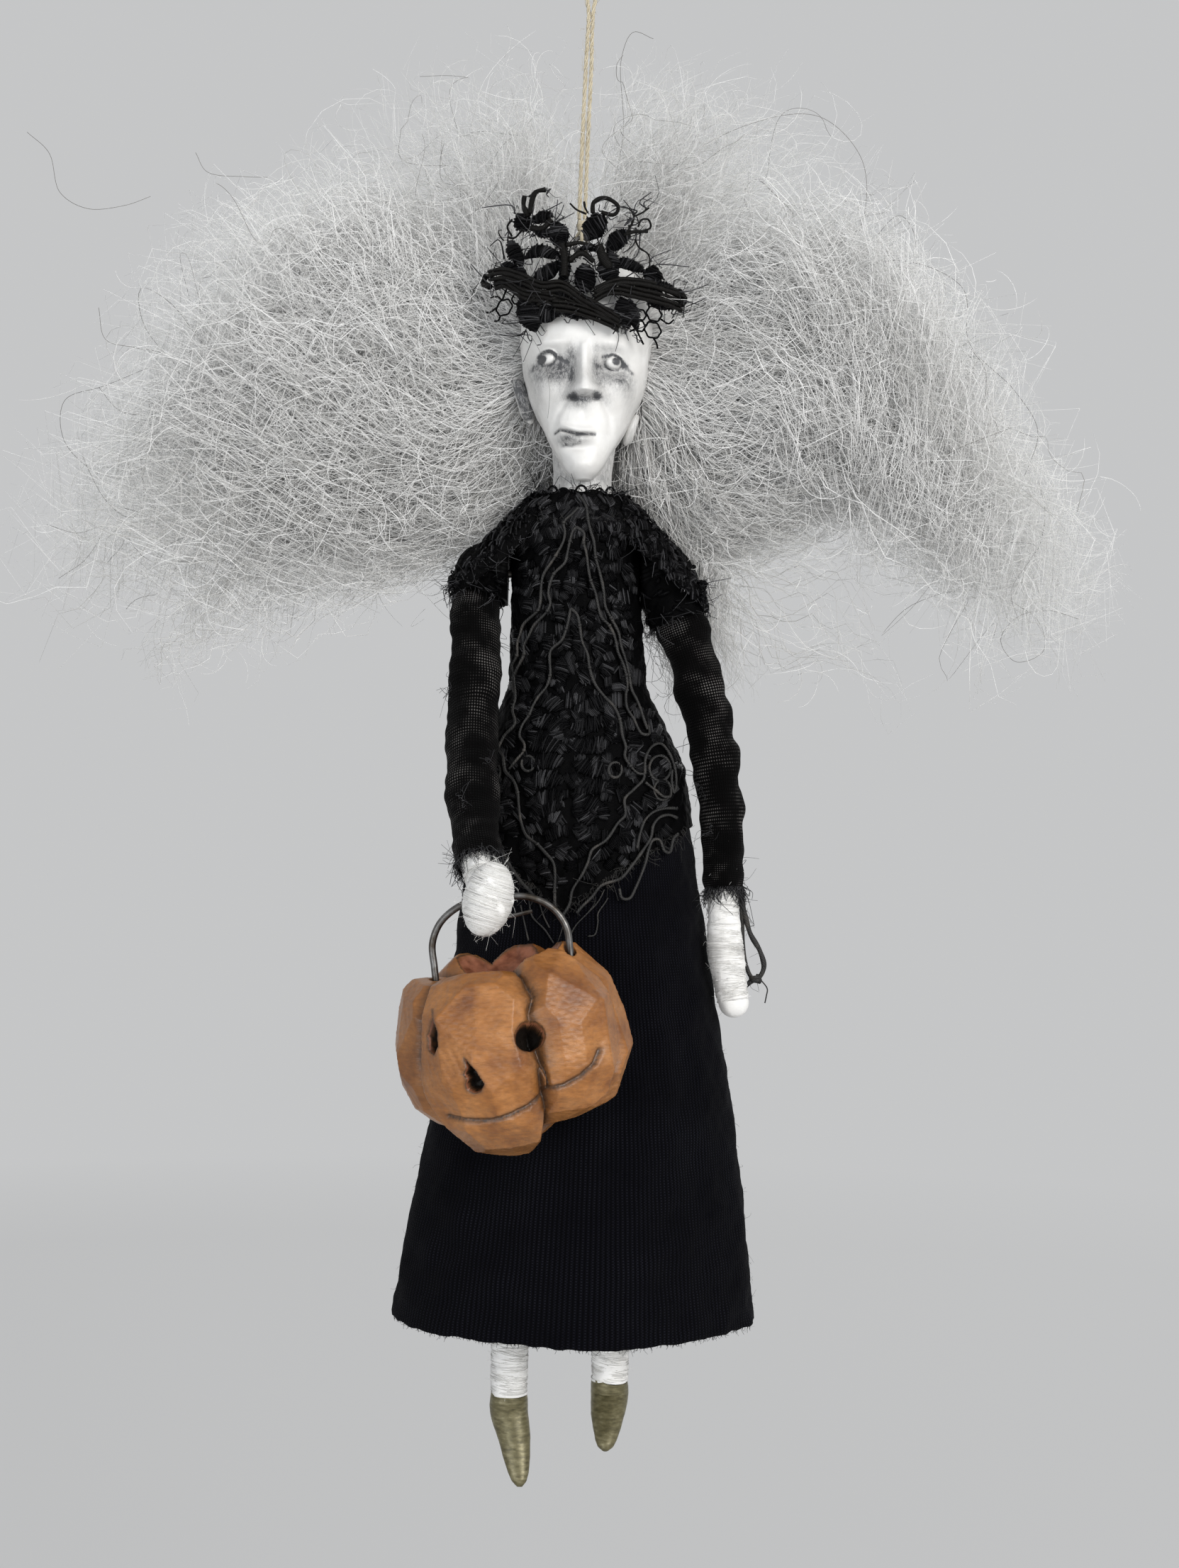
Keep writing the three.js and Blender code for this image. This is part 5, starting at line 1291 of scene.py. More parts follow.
# Corded scrolls of the panel, each as x and z points.
PANEL_CORDS = [
    [
        (-0.1, -79.5), (-0.9, -80.4), (-2.1, -81.7), (-1.9, -83.0), (-2.1, -84.3), (-3.1, -86.3),
        (-4.7, -88.8), (-5.0, -90.2), (-5.1, -92.8), (-5.4, -93.8), (-7.4, -95.7), (-7.8, -96.9),
        (-8.2, -98.3), (-8.2, -100.0), (-8.9, -101.4), (-8.6, -102.7), (-8.4, -104.5), (-8.3, -106.1),
        (-8.6, -107.6), (-8.2, -109.5), (-9.6, -111.2), (-10.5, -113.0),
    ],
    [
        (-0.3, -82.3), (-0.8, -82.8), (-1.2, -84.3), (-1.5, -85.9), (-1.8, -87.2), (-3.3, -88.8),
        (-3.8, -90.1), (-4.0, -91.5), (-3.7, -92.8), (-4.1, -93.9), (-6.0, -96.0), (-6.6, -97.3),
        (-7.3, -98.7), (-7.2, -99.8), (-7.8, -101.1), (-8.4, -102.3), (-8.7, -103.4), (-8.5, -105.2),
    ],
    [
        (-0.3, -82.3), (0.7, -83.1), (0.7, -84.5), (1.1, -85.8), (1.4, -87.8), (1.8, -89.6), (2.5, -91.3),
        (2.9, -93.1), (3.4, -94.6), (4.5, -95.7), (5.3, -97.3), (5.8, -99.3), (6.5, -100.8),
        (7.0, -102.4), (7.2, -103.9), (7.0, -105.1), (7.2, -107.0), (8.1, -108.4), (9.3, -110.5),
        (10.3, -110.5), (10.2, -109.2),
    ],
    [
        (0.1, -78.0), (0.9, -79.3), (1.2, -81.1), (1.6, -82.7), (2.1, -84.2), (2.4, -86.4), (3.0, -88.4),
        (3.6, -90.9), (3.9, -93.1), (4.7, -94.6), (5.8, -96.6), (6.2, -98.4), (6.9, -100.4),
        (7.4, -102.4), (7.8, -104.4), (8.5, -105.7), (8.9, -106.6), (9.6, -108.6), (10.1, -109.9),
    ],
    [
        (-0.9, -93.5), (-1.1, -95.0), (-1.4, -96.3), (-2.0, -97.9), (-3.5, -99.4), (-3.5, -102.8),
        (-4.0, -104.4), (-5.1, -105.8), (-5.8, -107.1), (-6.2, -108.2), (-7.2, -109.8), (-7.5, -111.2),
        (-6.8, -112.3), (-6.8, -113.2), (-7.8, -114.5), (-8.8, -115.8),
    ],
    [
        (-0.9, -93.5), (0.0, -94.3), (0.4, -95.8), (0.8, -98.0), (1.6, -99.8), (1.9, -101.6),
        (2.7, -103.8), (4.1, -105.6), (5.4, -106.9), (6.2, -108.6), (6.6, -110.8), (7.1, -112.4),
        (7.0, -113.7), (7.8, -115.0), (8.9, -116.0), (9.7, -116.1), (9.6, -116.8), (8.3, -118.2),
        (7.1, -119.5), (7.2, -121.7), (6.3, -122.7), (4.7, -125.1), (2.8, -126.5), (2.3, -128.1),
        (1.5, -129.9), (0.3, -131.9), (-0.1, -133.9), (-0.9, -135.3),
    ],
    [
        (-10.5, -113.0), (-9.8, -113.9), (-9.5, -115.2), (-9.3, -116.1), (-8.1, -117.4), (-7.5, -119.0),
        (-7.3, -120.7), (-6.9, -123.0), (-6.1, -124.8), (-4.6, -125.9), (-3.6, -126.9), (-2.4, -128.3),
        (-2.1, -130.0), (-2.1, -132.2), (-1.8, -134.6), (-0.9, -135.3),
    ],
    [
        (9.8, -116.1), (9.9, -113.7), (10.9, -112.1), (12.0, -111.8), (13.1, -112.9), (14.0, -115.1),
        (14.2, -117.6), (13.9, -118.5), (13.6, -117.1), (13.6, -115.4),
    ],
    [(9.9, -117.2), (11.4, -118.3), (12.5, -119.1), (13.4, -119.0), (13.5, -117.8)],
    [(14.4, -120.7), (12.8, -120.7), (11.1, -121.2), (9.9, -122.4), (9.3, -124.1), (8.9, -126.2)],
    [
        (14.4, -122.0), (13.3, -121.6), (12.0, -121.9), (11.1, -123.0), (10.8, -124.6), (9.6, -126.6),
        (8.3, -128.4), (6.8, -130.2), (4.2, -131.2), (2.9, -132.8), (1.6, -134.1), (0.9, -135.0),
    ],
    [
        (14.6, -124.2), (14.0, -124.7), (13.4, -126.7), (12.7, -126.5), (12.0, -125.0), (11.1, -125.0),
        (10.5, -126.3), (10.1, -128.1), (8.8, -131.5), (8.0, -132.9), (7.0, -132.9), (6.6, -131.6),
    ],
    [
        (-10.5, -123.3), (-10.1, -125.3), (-9.1, -127.5), (-8.1, -129.2), (-6.5, -131.2), (-5.4, -132.3),
        (-4.7, -133.2),
    ],
]
LOOSE_THREADS = [
    [(-6.7, -134.2), (-6.2, -136.2), (-5.5, -138.9)],
    [(-5.6, -133.3), (-5.1, -135.6), (-3.3, -137.4), (-2.1, -139.1)],
    [(-4.2, -133.7), (-3.5, -135.6), (-2.7, -137.1)],
    [(0.0, -138.2), (0.9, -136.6), (2.2, -135.2), (3.8, -133.4), (4.6, -131.8)],
    [(2.5, -138.1), (3.4, -137.9), (3.8, -136.3), (3.8, -135.0), (4.7, -133.6), (5.1, -132.9)],
]
# Satin leaves of half the panel: middle x, middle z, length, width and lean in degrees.
HALF_PANEL_LEAVES = (
    (
        2.6, -106.5, 4.4, 1.3, 62
    ), (2.6, -109.5, 4.6, 1.3, 74), (2.7, -112.2, 5.0, 1.4, 84), (2.8, -114.8, 5.0, 1.3, 95),
    (
        2.7, -117.3, 4.6, 1.3, 103
    ), (2.5, -119.8, 4.2, 1.2, 110), (2.2, -122.1, 3.6, 1.1, 118), (1.7, -124.6, 3.2, 1.0, 128),
    (4.9, -108.6, 2.4, 1.0, 20), (5.4, -111.5, 2.2, 0.9, 10), (
        5.3, -118.4, 2.2, 0.9, -15
    ), (4.4, -121.5, 2.4, 1.0, -25),
    (1.1, -98.2, 3.0, 0.9, 8), (2.6, -94.2, 2.6, 0.9, 14), (3.3, -98.6, 2.8, 1.0, 16), (
        4.6, -101.4, 2.6, 1.0, 12
    ),
    (
        1.3, -102.0, 3.4, 1.1, 4
    ), (2.5, -90.4, 2.2, 0.8, 12), (0.9, -90.6, 2.2, 0.8, 4), (2.9, -86.4, 2.0, 0.9, 30),
    (
        5.2, -97.0, 2.0, 0.8, 16
    ), (5.4, -90.5, 2.4, 0.9, 34), (5.0, -85.8, 2.4, 1.0, 55), (6.9, -88.0, 2.0, 0.9, 20),
    (6.4, -93.0, 2.4, 0.9, 10), (7.4, -97.6, 2.2, 0.8, 5), (7.5, -103.6, 2.4, 0.9, -4), (
        6.9, -108.0, 2.0, 0.8, -14
    ),
    (8.7, -112.0, 2.6, 1.0, -24), (
        10.4, -115.4, 2.4, 1.0, -30
    ), (10.9, -119.6, 2.6, 1.1, 10), (8.8, -120.6, 2.4, 0.9, 30),
    (
        7.6, -124.2, 2.6, 1.0, 40
    ), (5.4, -126.8, 2.6, 0.9, 48), (3.2, -129.6, 2.4, 0.9, 40), (3.8, -82.3, 2.2, 0.9, 60),
    (6.0, -81.9, 2.0, 0.9, 75), (0.8, -86.2, 1.6, 0.7, 0), (
        2.4, -127.0, 2.0, 0.8, 30
    ), (12.0, -117.4, 2.0, 0.9, 0),
)
PANEL_LEAVES = [
    (x * side - 0.6, z, long, wide, lean * side)
    for side in (-1, 1)
    for x, z, long, wide, lean in HALF_PANEL_LEAVES
]
# Round corded cells of the panel's edges: centre x, centre z, radius.
PANEL_RINGS = [
    (11.9, -115.2, 1.5), (12.3, -118.2, 1.2), (-11.3, -116.2, 1.3), (-11.6, -119.6, 1.2),
    (5.7, -115.6, 0.9), (-6.2, -115.0, 0.9),
]


def panel_edge(x):
    """How far down the panel reaches: a V with scallops."""
    fall = -135.6 + 10.4 * (np.abs(x + 1.0) / 14.5) ** 0.85
    return fall + 0.45 * np.abs(np.sin(x * 1.05 + 0.4)) ** 0.7


SATIN_SHARES = (0.5, 0.9, 1, 0.95, 0.6)


def panel_ground():
    rows, cols = 200, 220
    turn = np.linspace(math.pi + 0.12, TAU - 0.12, cols)
    share = np.linspace(0, 1, rows)[:, None]
    middle, wide, _ = dress_at(np.full(cols, -122.0))
    bottom = panel_edge(middle + wide * np.cos(turn))
    top = -81.6 + 0.35 * np.abs(np.sin(7 * turn))
    level = top + (bottom - top) * share
    turns = np.broadcast_to(turn, level.shape)
    pucker = 0.1 * wobble(dress_ring(turns, level, 0), 2.2, 61)
    outer, inner = (dress_ring(turns, level, out) for out in (0.5 + pucker, 0.28 + 0 * pucker))
    part = slab(outer, inner, False, (44 / cols, 54 / rows))
    return build("lace_ground", [part], NET, "figure", ("lace_panel",))


def panel_satin(rng):
    """The panel's padded leaves, and the threads over them and between them."""
    leaves, threads = [], []
    for i, (cx, cz, long, wide, lean) in enumerate(PANEL_LEAVES):
        if cz - 0.6 < panel_edge(np.array(cx)):
            continue
        lean = math.radians(lean + rng.normal() * 7)
        cx, cz = cx + rng.normal() * 0.3, cz + rng.normal() * 0.3
        half = np.array([math.sin(lean), math.cos(lean)]) * long / 2
        bow = np.array([half[1], -half[0]]) * 0.16
        line = [(cx + dx, cz + dz) for dx, dz in (-half, bow, half)]
        for made, make in ((leaves, leaf), (threads, stitched)):
            made.append(make(line, 1.75 * wide, dress_front, 0.5, 200 + i, SATIN_SHARES))
    for _ in range(560):
        cz = rng.uniform(-132, -79.5)
        middle, wide, _ = dress_at(cz)
        cx = middle + wide * rng.uniform(-0.93, 0.93)
        if cz < panel_edge(np.array(cx)) + 0.8:
            continue
        lean = rng.normal() * (0.45 if cz > -104 else 0.8)
        long, count = rng.uniform(1.0, 2.6), rng.integers(3, 9)
        threads.append(bundle(cx, cz, lean, long, count, dress_front, rng, 0.52, rng.uniform(0.2, 0.55)))
    stitches = build("lace_satin_stitches", threads, LACE, "figure", ())
    satin = build("lace_satin_leaves", leaves, LACE, "figure", ())
    return [satin, stitches]


def panel_cords():
    cords = [cordline(line, 0.4, dress_front, 1.12, seed=300 + i) for i, line in enumerate(PANEL_CORDS)]
    for i, (cx, cz, r) in enumerate(PANEL_RINGS):
        ring = arc_line(cx, cz, r, 1.15 * r, np.linspace(0, TAU, 30) + i)
        cords.append(cordline(ring, 0.4, dress_front, 0.85, seed=340 + i))
    for line in PANEL_CORDS[:7]:
        for k in (2, 5, 9, 13):
            if k < len(line):
                x, z = line[k]
                across = np.array([-1, 0, 1])
                knot = dress_front(x + 0.12 * across, z - 0.16 * across, np.array([1.12, 1.18, 1.12]))
                cords.append(tubes(knot, np.array([[0.2, 0.33, 0.2]]), 8))
    return build("lace_raised_cords", cords, CORD, "figure", ())


def panel_threads(rng):
    """Loose threads along the panel's lower edge and where it was cut at the neck."""
    threads = [cordline(line, 0.2, dress_front, 0.35, seed=380 + i) for i, line in enumerate(LOOSE_THREADS)]
    below, above = 330, 110
    edge = np.linspace(-14.6, 15.6, below)
    starts = dress_front(edge, panel_edge(edge) + rng.uniform(0, 0.5, below), np.full(below, 0.45))
    sway, front = rng.normal(size=below) * 0.7, -0.3 - 0.3 * rng.uniform(size=below)
    ways = np.stack([sway, front, -np.ones(below)], 1)
    threads.append(frays(starts, ways, (0.5, 2.0), (0.03, 0.07), 63, 0.45))
    cut = np.linspace(-9, 8.4, above)
    starts = dress_front(cut, np.full(above, -81.4), np.full(above, 0.5))
    ways = np.stack([rng.normal(size=above), np.full(above, -0.4), np.full(above, 0.6)], 1)
    threads.append(frays(starts, ways, (0.4, 1.2), (0.03, 0.06), 64, 0.5))
    return build("lace_loose_threads", threads, CORD, "figure", ())


def lace_panel():
    rng = np.random.default_rng(62)
    ground = panel_ground()
    pieces = panel_satin(rng) + [panel_cords(), panel_threads(rng)]


COLLAR_RADIUS = 8.0


def collar_place(along, z, out):
    """A point of the collar, from a distance round it."""
    return dress_ring(along / COLLAR_RADIUS, z, out)


def lace_collar():
    rows, cols = 60, 260
    turn = circle(cols)
    share = np.linspace(0, 1, rows)[:, None]
    top = -76.9 + 0.3 * np.sin(9 * turn) * np.abs(np.sin(4.3 * turn))
    bottom = -83.2 + 0.4 * np.abs(np.sin(8 * turn))
    level = top + (bottom - top) * share
    turns = np.broadcast_to(turn, level.shape)
    pucker = 0.12 * wobble(dress_ring(turns, level, 0), 2.0, 71)
    outer, inner = (dress_ring(turns, level, out) for out in (0.5 + pucker, 0.22 + 0 * pucker))
    part = slab(outer, inner, True, (48 / cols, 7 / rows))
    ground = build("collar_lace_ground", [part], NET, "figure", ("lace_collar",))
    rng = np.random.default_rng(72)
    parts = []
    round_it = TAU * COLLAR_RADIUS
    for _ in range(240):
        along, z = rng.uniform(0, round_it), rng.uniform(-82.6, -78.0)
        lean = rng.normal() * 0.9
        half = np.array([math.sin(lean), math.cos(lean)]) * rng.uniform(0.5, 1.1)
        count = rng.integers(3, 7)
        parts.append(bundle(along, z, lean, 2.2 * np.hypot(*half), count, collar_place, rng, 0.5, 0.3))
    for i in range(16):
        along = round_it * i / 16 + rng.normal() * 0.3
        wide, high = rng.uniform(0.8, 1.3), rng.uniform(0.5, 1.2)
        loop = arc_line(along, -77.4, wide, high, np.linspace(0, math.pi, 9))
        parts.append(cordline(loop, 0.35, collar_place, 0.45, seed=700 + i))
    count = 240
    around = rng.uniform(0, TAU, count)
    below = np.arange(count) % 3 == 0
    level = np.where(below, -83.0, -77.2) + rng.normal(size=count) * 0.2
    starts = dress_ring(around, level, np.full(count, 0.45))
    x, y = (turned(around) * 0.7 + rng.normal(size=count) * 0.5 for turned in (np.cos, np.sin))
    ways = np.stack([x, y, np.where(below, -0.8, 1.0)], 1)
    parts.append(frays(starts, ways, (0.4, 1.4), (0.035, 0.08), 73, 0.9))
    motifs = build("collar_lace_motifs", parts, LACE, "figure", ())


SHOULDER_Z = -88.2
# Distances out from the middle where a drape would start to follow the arm and follow it fully; nothing
# bends the drapes by them.
DRAPE_BENDS = (7.5, 12.0)


def drape_shape(side, seed, rows, cols):
    """The drape's sheet as a (rows, cols, 3) grid, and the ways out of it."""
    ridge = [(5.6, 0, -76.9), (8.2, 0, -78.9), (11.2, 0, -81.9), (14.2, 0, -85.4), (16.9, 0, -89.2)]
    u, v = np.linspace(0, 1, rows), np.linspace(-1, 1, cols)
    top = spline(ridge, u)
    half = np.interp(u, [0, 0.3, 0.7, 1], [5.4, 6.5, 6.0, 4.4])[:, None]
    fall = np.interp(u, [0, 0.3, 0.7, 1], [6.5, 8.0, 6.4, 3.4])[:, None]
    fall = fall * (1 + 0.12 * np.sin(9 * v + seed))[None]
    angle = v * 1.45
    y = half * np.sin(angle)
    z = top[:, 2:] - fall * (1 - np.cos(angle)) * 0.95
    x = side * (top[:, :1] + 0.5 * (1 - np.cos(angle)))
    ones = np.ones_like(x)
    out = np.stack(
        [side * 0.6 * np.cos(angle) * ones, np.sin(angle) * ones, 0.8 * np.cos(angle) * ones], -1
    )
    return np.stack([x, y, z], -1), unit(out)


def drape_bundles(outer, out, rng):
    """Short rows of satin threads, scattered over the drape."""
    rows, cols, _ = outer.shape
    made = []
    for _ in range(330):
        row, col = rng.integers(3, rows - 4), rng.integers(4, cols - 5)
        here = outer[row, col]
        down, across = outer[row + 3, col] - here, outer[row, col + 4] - here
        mixed = rng.normal() * down + rng.normal() * across
        if np.linalg.norm(mixed) < 0.1:
            continue
        half = unit(mixed) * rng.uniform(0.4, 1.1)
        beside = 0.2 * unit(np.cross(half, out[row, col]))
        for step in range(rng.integers(2, 6)):
            middle = here + (step - 2) * beside
            arch = even([middle - half, middle + 0.22 * out[row, col], middle + half], 7)
            made.append(tubes(arch, 0.11, 5, tone=0.6 * rng.uniform() ** 4))
    return made


def drape_loops(outer, side, rng):
    """Small corded loops along the drape's three free edges."""
    rows, cols, _ = outer.shape
    made = []
    for i in range(30):
        if i % 3:
            row, col = rows - 2, rng.integers(2, cols - 3)
        else:
            row, col = rng.integers(20, rows - 2), rng.choice([2, cols - 3])
        away = np.array([side * rng.uniform(0.3, 1), rng.normal() * 0.6, rng.normal() * 0.5 - 0.2])
        away = unit(away)
        other = unit(np.cross(away, rng.normal(size=3)))
        turn = np.linspace(0, 1.7 * math.pi, 12)[:, None]
        r = rng.uniform(0.4, 0.75)
        loop = outer[row, col] + r * ((1 - np.cos(turn)) * away + np.sin(turn) * other)
        made.append(tubes(loop, 0.12, 6))
    return made


def shoulder_drape(side, seed):
    """Lace that falls from the neck over a shoulder, with a frayed, looped edge."""
    rows, cols = 70, 90
    sheet, out = drape_shape(side, seed, rows, cols)
    pucker = 0.16 * wobble(sheet, 2.3, seed, 3)
    outer, inner = sheet + (0.3 + pucker)[..., None] * out, sheet
    name = "right" if side < 0 else "left"
    if side < 0:
        outer, inner = outer[:, ::-1], inner[:, ::-1]
    part = slab(outer, inner, False, (17 / cols, 17 / rows))
    ground = build(name + "_lace_drape", [part], NET, None, ())
    rng = np.random.default_rng(seed)
    parts = drape_bundles(outer, out, rng) + drape_loops(outer, side, rng)
    edge = np.concatenate([outer[-1], outer[:, 0], outer[:, -1]])
    count = 150
    start = edge[rng.integers(0, len(edge), count)]
    x = side * np.abs(rng.normal(size=count)) * 0.7
    y = np.sign(start[:, 1]) * 0.4 + rng.normal(size=count) * 0.6
    ways = np.stack([x, y, -0.5 + rng.normal(size=count) * 0.5], 1)
    parts.append(frays(start, ways, (0.4, 1.5), (0.035, 0.08), seed + 1, 1.0))
    pick = rng.integers(2, rows - 2, 50), rng.integers(2, cols - 2, 50)
    ways = out[pick] + rng.normal(size=(50, 3)) * 0.6
    parts.append(frays(outer[pick], ways, (0.3, 0.8), (0.03, 0.06), seed + 2, 0.9))
    motifs = build(name + "_drape_motifs", parts, LACE, None, ())
    start, end = ((side * x * MM, 0, SHOULDER_Z * MM) for x in DRAPE_BENDS)
    for piece in (ground, motifs):
        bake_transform(piece)


lace_panel()
lace_collar()
shoulder_drape(-1, 75)
shoulder_drape(1, 78)

# Arms

ARM = 60.0
RIGHT_SHOULDER, LEFT_SHOULDER = (np.array([x, 0, SHOULDER_Z]) for x in (-12.9, 11.9))
RIGHT_ARM = RIGHT_SHOULDER + ARM * np.array([
    (0, 0, 0), (-0.02, -0.008, -0.07), (-0.017, -0.075, -0.222), (-0.015, -0.175, -0.405),
    (-0.005, -0.292, -0.563), (0.018, -0.383, -0.672), (0.042, -0.467, -0.74),
])
LEFT_ARM = LEFT_SHOULDER + ARM * np.array([
    (0, 0, 0), (0.045, -0.005, -0.108), (0.09, -0.017, -0.247), (0.128, -0.033, -0.408),
    (0.152, -0.055, -0.607), (0.155, -0.07, -0.73), (0.162, -0.09, -0.863), (0.182, -0.108, -0.985),
])
RIGHT_RADII = [2.7, 2.7, 2.8, 2.8, 2.6, 2.3, 2.0]
LEFT_RADII = [2.7, 2.7, 2.7, 2.6, 2.2, 1.95, 2.5, 2.1]
FIST_AT = np.array([-10.38, -28.02, -132.6])


def domed(grid, path, tangent, radius, end):
    """The same grid with a round end added before its first row or after its last."""
    sign = -1 if end == 0 else 1
    rings = []
    for a in np.linspace(0.15, 1.45, 9):
        ahead = sign * tangent[end] * radius[end] * math.sin(a)
        rings.append(path[end] + (grid[end] - path[end]) * math.cos(a) + ahead)
    rings = np.array(rings)
    return np.concatenate([rings[::-1], grid] if end == 0 else [grid, rings])


def limb(points, radii, start, stop, rows, cols, grow=0.0, relief=None, round_ends=(True, True)):
    """A closed tube round part of a curve, with its grid. relief(grid, t, turn) moves it outwards."""
    t = np.linspace(start, stop, rows)
    path = spline(points, t)
    _, side, up = (v[0] for v in frames(path[None]))
    radius = np.interp(t, np.linspace(0, 1, len(radii)), radii) + grow
    turn = circle(cols)
    ring = side[:, None] * np.cos(turn)[:, None] + up[:, None] * np.sin(turn)[:, None]
    grid = path[:, None] + radius[:, None, None] * ring
    if relief is not None:
        grid = grid + relief(grid, t[:, None], turn[None])[..., None] * ring
    tangent = unit(np.gradient(path, axis=0))
    for end, on in zip((0, -1), round_ends):
        if on:
            grid = domed(grid, path, tangent, radius, end)
    return grid


WINDING_POINTS = 34


def windings(points, radii, start, stop, count, thread, seed, slope=0.25):
    """Cotton threads wound round a limb: arcs of one to two turns, each a little askew."""
    rng = np.random.default_rng(seed)
    s = np.linspace(0, 1, WINDING_POINTS)[None]
    span = rng.uniform(0.7, 1.6, (count, 1))
    phase = rng.uniform(0, TAU, (count, 1))
    at = rng.uniform(start, stop, (count, 1))
    drift = rng.normal(size=(count, 1)) * 0.018 + 0.006
    sway = slope * 0.02 * np.sin(span * TAU * s + phase)
    t = np.clip(at + drift * (s - 0.5) * 2 + sway, start, stop)
    turn = phase + span * TAU * s
    path = spline(points, t.ravel()).reshape(count, WINDING_POINTS, 3)
    fine = spline(points, np.linspace(0, 1, 200))
    _, side, up = (v[0] for v in frames(fine[None]))
    index = np.clip((t * 199).astype(int), 0, 199)
    radius = np.interp(t, np.linspace(0, 1, len(radii)), radii)
    radius = radius + rng.uniform(-0.05, 0.1, (count, 1)) + 0.03 * np.sin(3 * turn)
    ring = side[index] * np.cos(turn)[..., None] + up[index] * np.sin(turn)[..., None]
    thick = thread * rng.uniform(0.6, 1.25, (count, 1)) * np.ones((1, WINDING_POINTS))
    return tubes(path + radius[..., None] * ring, thick, 3, tone=rng.uniform(0, 1, count))


def cotton_ends(grid, pick, centre, rng, spread, length, radius, seed):
    """Short cotton ends that stand out of picked points of a grid."""
    ways = unit(grid[pick] - centre) + rng.normal(size=(len(pick[0]), 3)) * spread
    return frays(grid[pick], ways, length, radius, seed, 0.8)


def fist_path():
    lean = math.radians(12)
    axis = np.array([math.sin(lean), 0, math.cos(lean)])
    share = np.sin(np.linspace(-1.5, 1.5, 19))
    points = FIST_AT + axis * share[:, None] * 4.8
    radii = 3.15 * np.sqrt(1 - share**2)
    return points, radii


def sleeve_relief(seed):
    """Folds and sharp nicks of a sleeve's cloth."""

    def relief(grid, t, turn):
        fold = 0.3 * wobble(grid * np.array([0.8, 0.8, 1.5]), 9, seed, 2)
        nick = -0.09 * np.clip(wobble(grid * np.array([0.7, 0.7, 2.4]), 5, seed + 1, 1), 0, 1)
        return np.clip(fold + nick, -0.36, 0.4)

    return relief


TUFTS_AT = np.array([0.1, 0.2, 0.33, 0.47, 0.55, 0.68, 0.8, 0.9, 0.97])


def sleeve(name, node, points, radii, stop, body, seed):
    rows, cols = 190, 110
    outer = limb(points, radii, 0.0, stop, rows, cols, 0.75, sleeve_relief(seed), (False, False))
    inner = limb(points, radii, 0.0, stop, rows, cols, 0.32, None, (False, False))
    inner = inner + 0.35 * (outer - inner)
    long = length_of(spline(points, np.linspace(0, stop, rows)))
    part = slab(outer, inner, True, (22 / cols, long / rows))
    piece = build(name, [part], SLEEVE, body, (node,))
    rng = np.random.default_rng(seed + 5)
    way = unit(spline(points, [stop])[0] - spline(points, [stop - 0.06])[0])
    at_cuff, in_tufts, tufts = 300, 110, len(TUFTS_AT)
    around = rng.integers(0, cols, at_cuff)
    ways = way + rng.normal(size=(at_cuff, 3)) * 0.28
    starts = outer[-1, around] - way * rng.uniform(0, 0.6, (at_cuff, 1))
    parts = [frays(starts, ways, (0.7, 2.8), (0.03, 0.07), seed + 6, 0.3)]
    tuft = rng.integers(0, tufts, in_tufts)
    row = TUFTS_AT[tuft] * (rows - 1) + rng.normal(size=in_tufts) * 2.5
    row = row.astype(int).clip(0, rows - 1)
    col = rng.integers(0, cols, tufts)[tuft] + rng.normal(size=in_tufts) * 2
    starts = outer[row, col.astype(int) % cols]
    centre = spline(points, row / (rows - 1) * stop)
    ways = unit(starts - centre) + rng.normal(size=(in_tufts, 3)) * 0.6 + 0.4 * way
    parts.append(frays(starts, ways, (0.4, 1.4), (0.025, 0.055), seed + 7, 0.9))
    fray = build(name + "_frays", parts, NET, body, ())


LUMP = np.array([0.08, 0.26, 0.36, 0.4, 0.42, 0.4, 0.36, 0.26, 0.08])


def shoulder(name, node, points, radii, body, side, seed):
    """Frayed lace over a sleeve's head, with a few short raised cords."""
    cols = 110

    def pucker(grid, t, turn):
        return 0.16 * wobble(grid, 2.4, seed)

    outer = limb(points, radii, 0.0, 0.135, 46, cols, 1.65, pucker, (True, False))
    cap = limb(points, radii, 0.0, 0.135, 46, cols, 1.15, None, (True, False))
    rows = outer.shape[0]
    face = points[0][0] - side * (radii[0] + 0.35)
    for grid in (outer, cap):
        x = grid[..., 0]
        grid[..., 0] = np.where(side * (x - face) < 0, face + 0.02 * (x - face), x)
    part = slab(outer, cap, True, (28 / cols, 12 / rows))
    ground = build(name, [part], NET, body, (node,))
    rng = np.random.default_rng(seed)
    parts = []
    centre = points[0]
    for _ in range(46):
        row = rng.integers(7, rows - 3)
        col = rng.integers(0, cols)
        here = outer[row, col]
        if side * (here[0] - face) < 0.6:
            continue
        down = outer[min(row + 4, rows - 1), col] - here
        across = outer[row, (col + 4) % cols] - here
        mixed = rng.normal() * down + rng.normal() * across
        if np.linalg.norm(mixed) < 0.2:
            continue
        half = unit(mixed) * rng.uniform(0.5, 1.1)
        line = even([here - half, here + 0.2 * unit(here - centre), here + half], len(LUMP))
        parts.append(tubes(line, LUMP[None] * rng.uniform(0.6, 1.0), 7))
    around = rng.integers(0, cols, 64)
    starts = outer[-1, around]
    starts = starts[side * (starts[:, 0] - face) > 0.3]
    ways = unit(points[1] - points[0]) + rng.normal(size=starts.shape) * 0.55
    parts.append(frays(starts, ways, (0.4, 1.5), (0.04, 0.085), seed + 1, 1.1))
    starts = outer[rng.integers(6, rows, 24), rng.integers(0, cols, 24)]
    starts = starts[side * (starts[:, 0] - face) > 0.8]
    ways = unit(starts - centre) + rng.normal(size=starts.shape) * 0.5
    parts.append(frays(starts, ways, (0.4, 1.2), (0.03, 0.065), seed + 2, 1.0))
    motifs = build(name + "_motifs", parts, LACE, body, ())


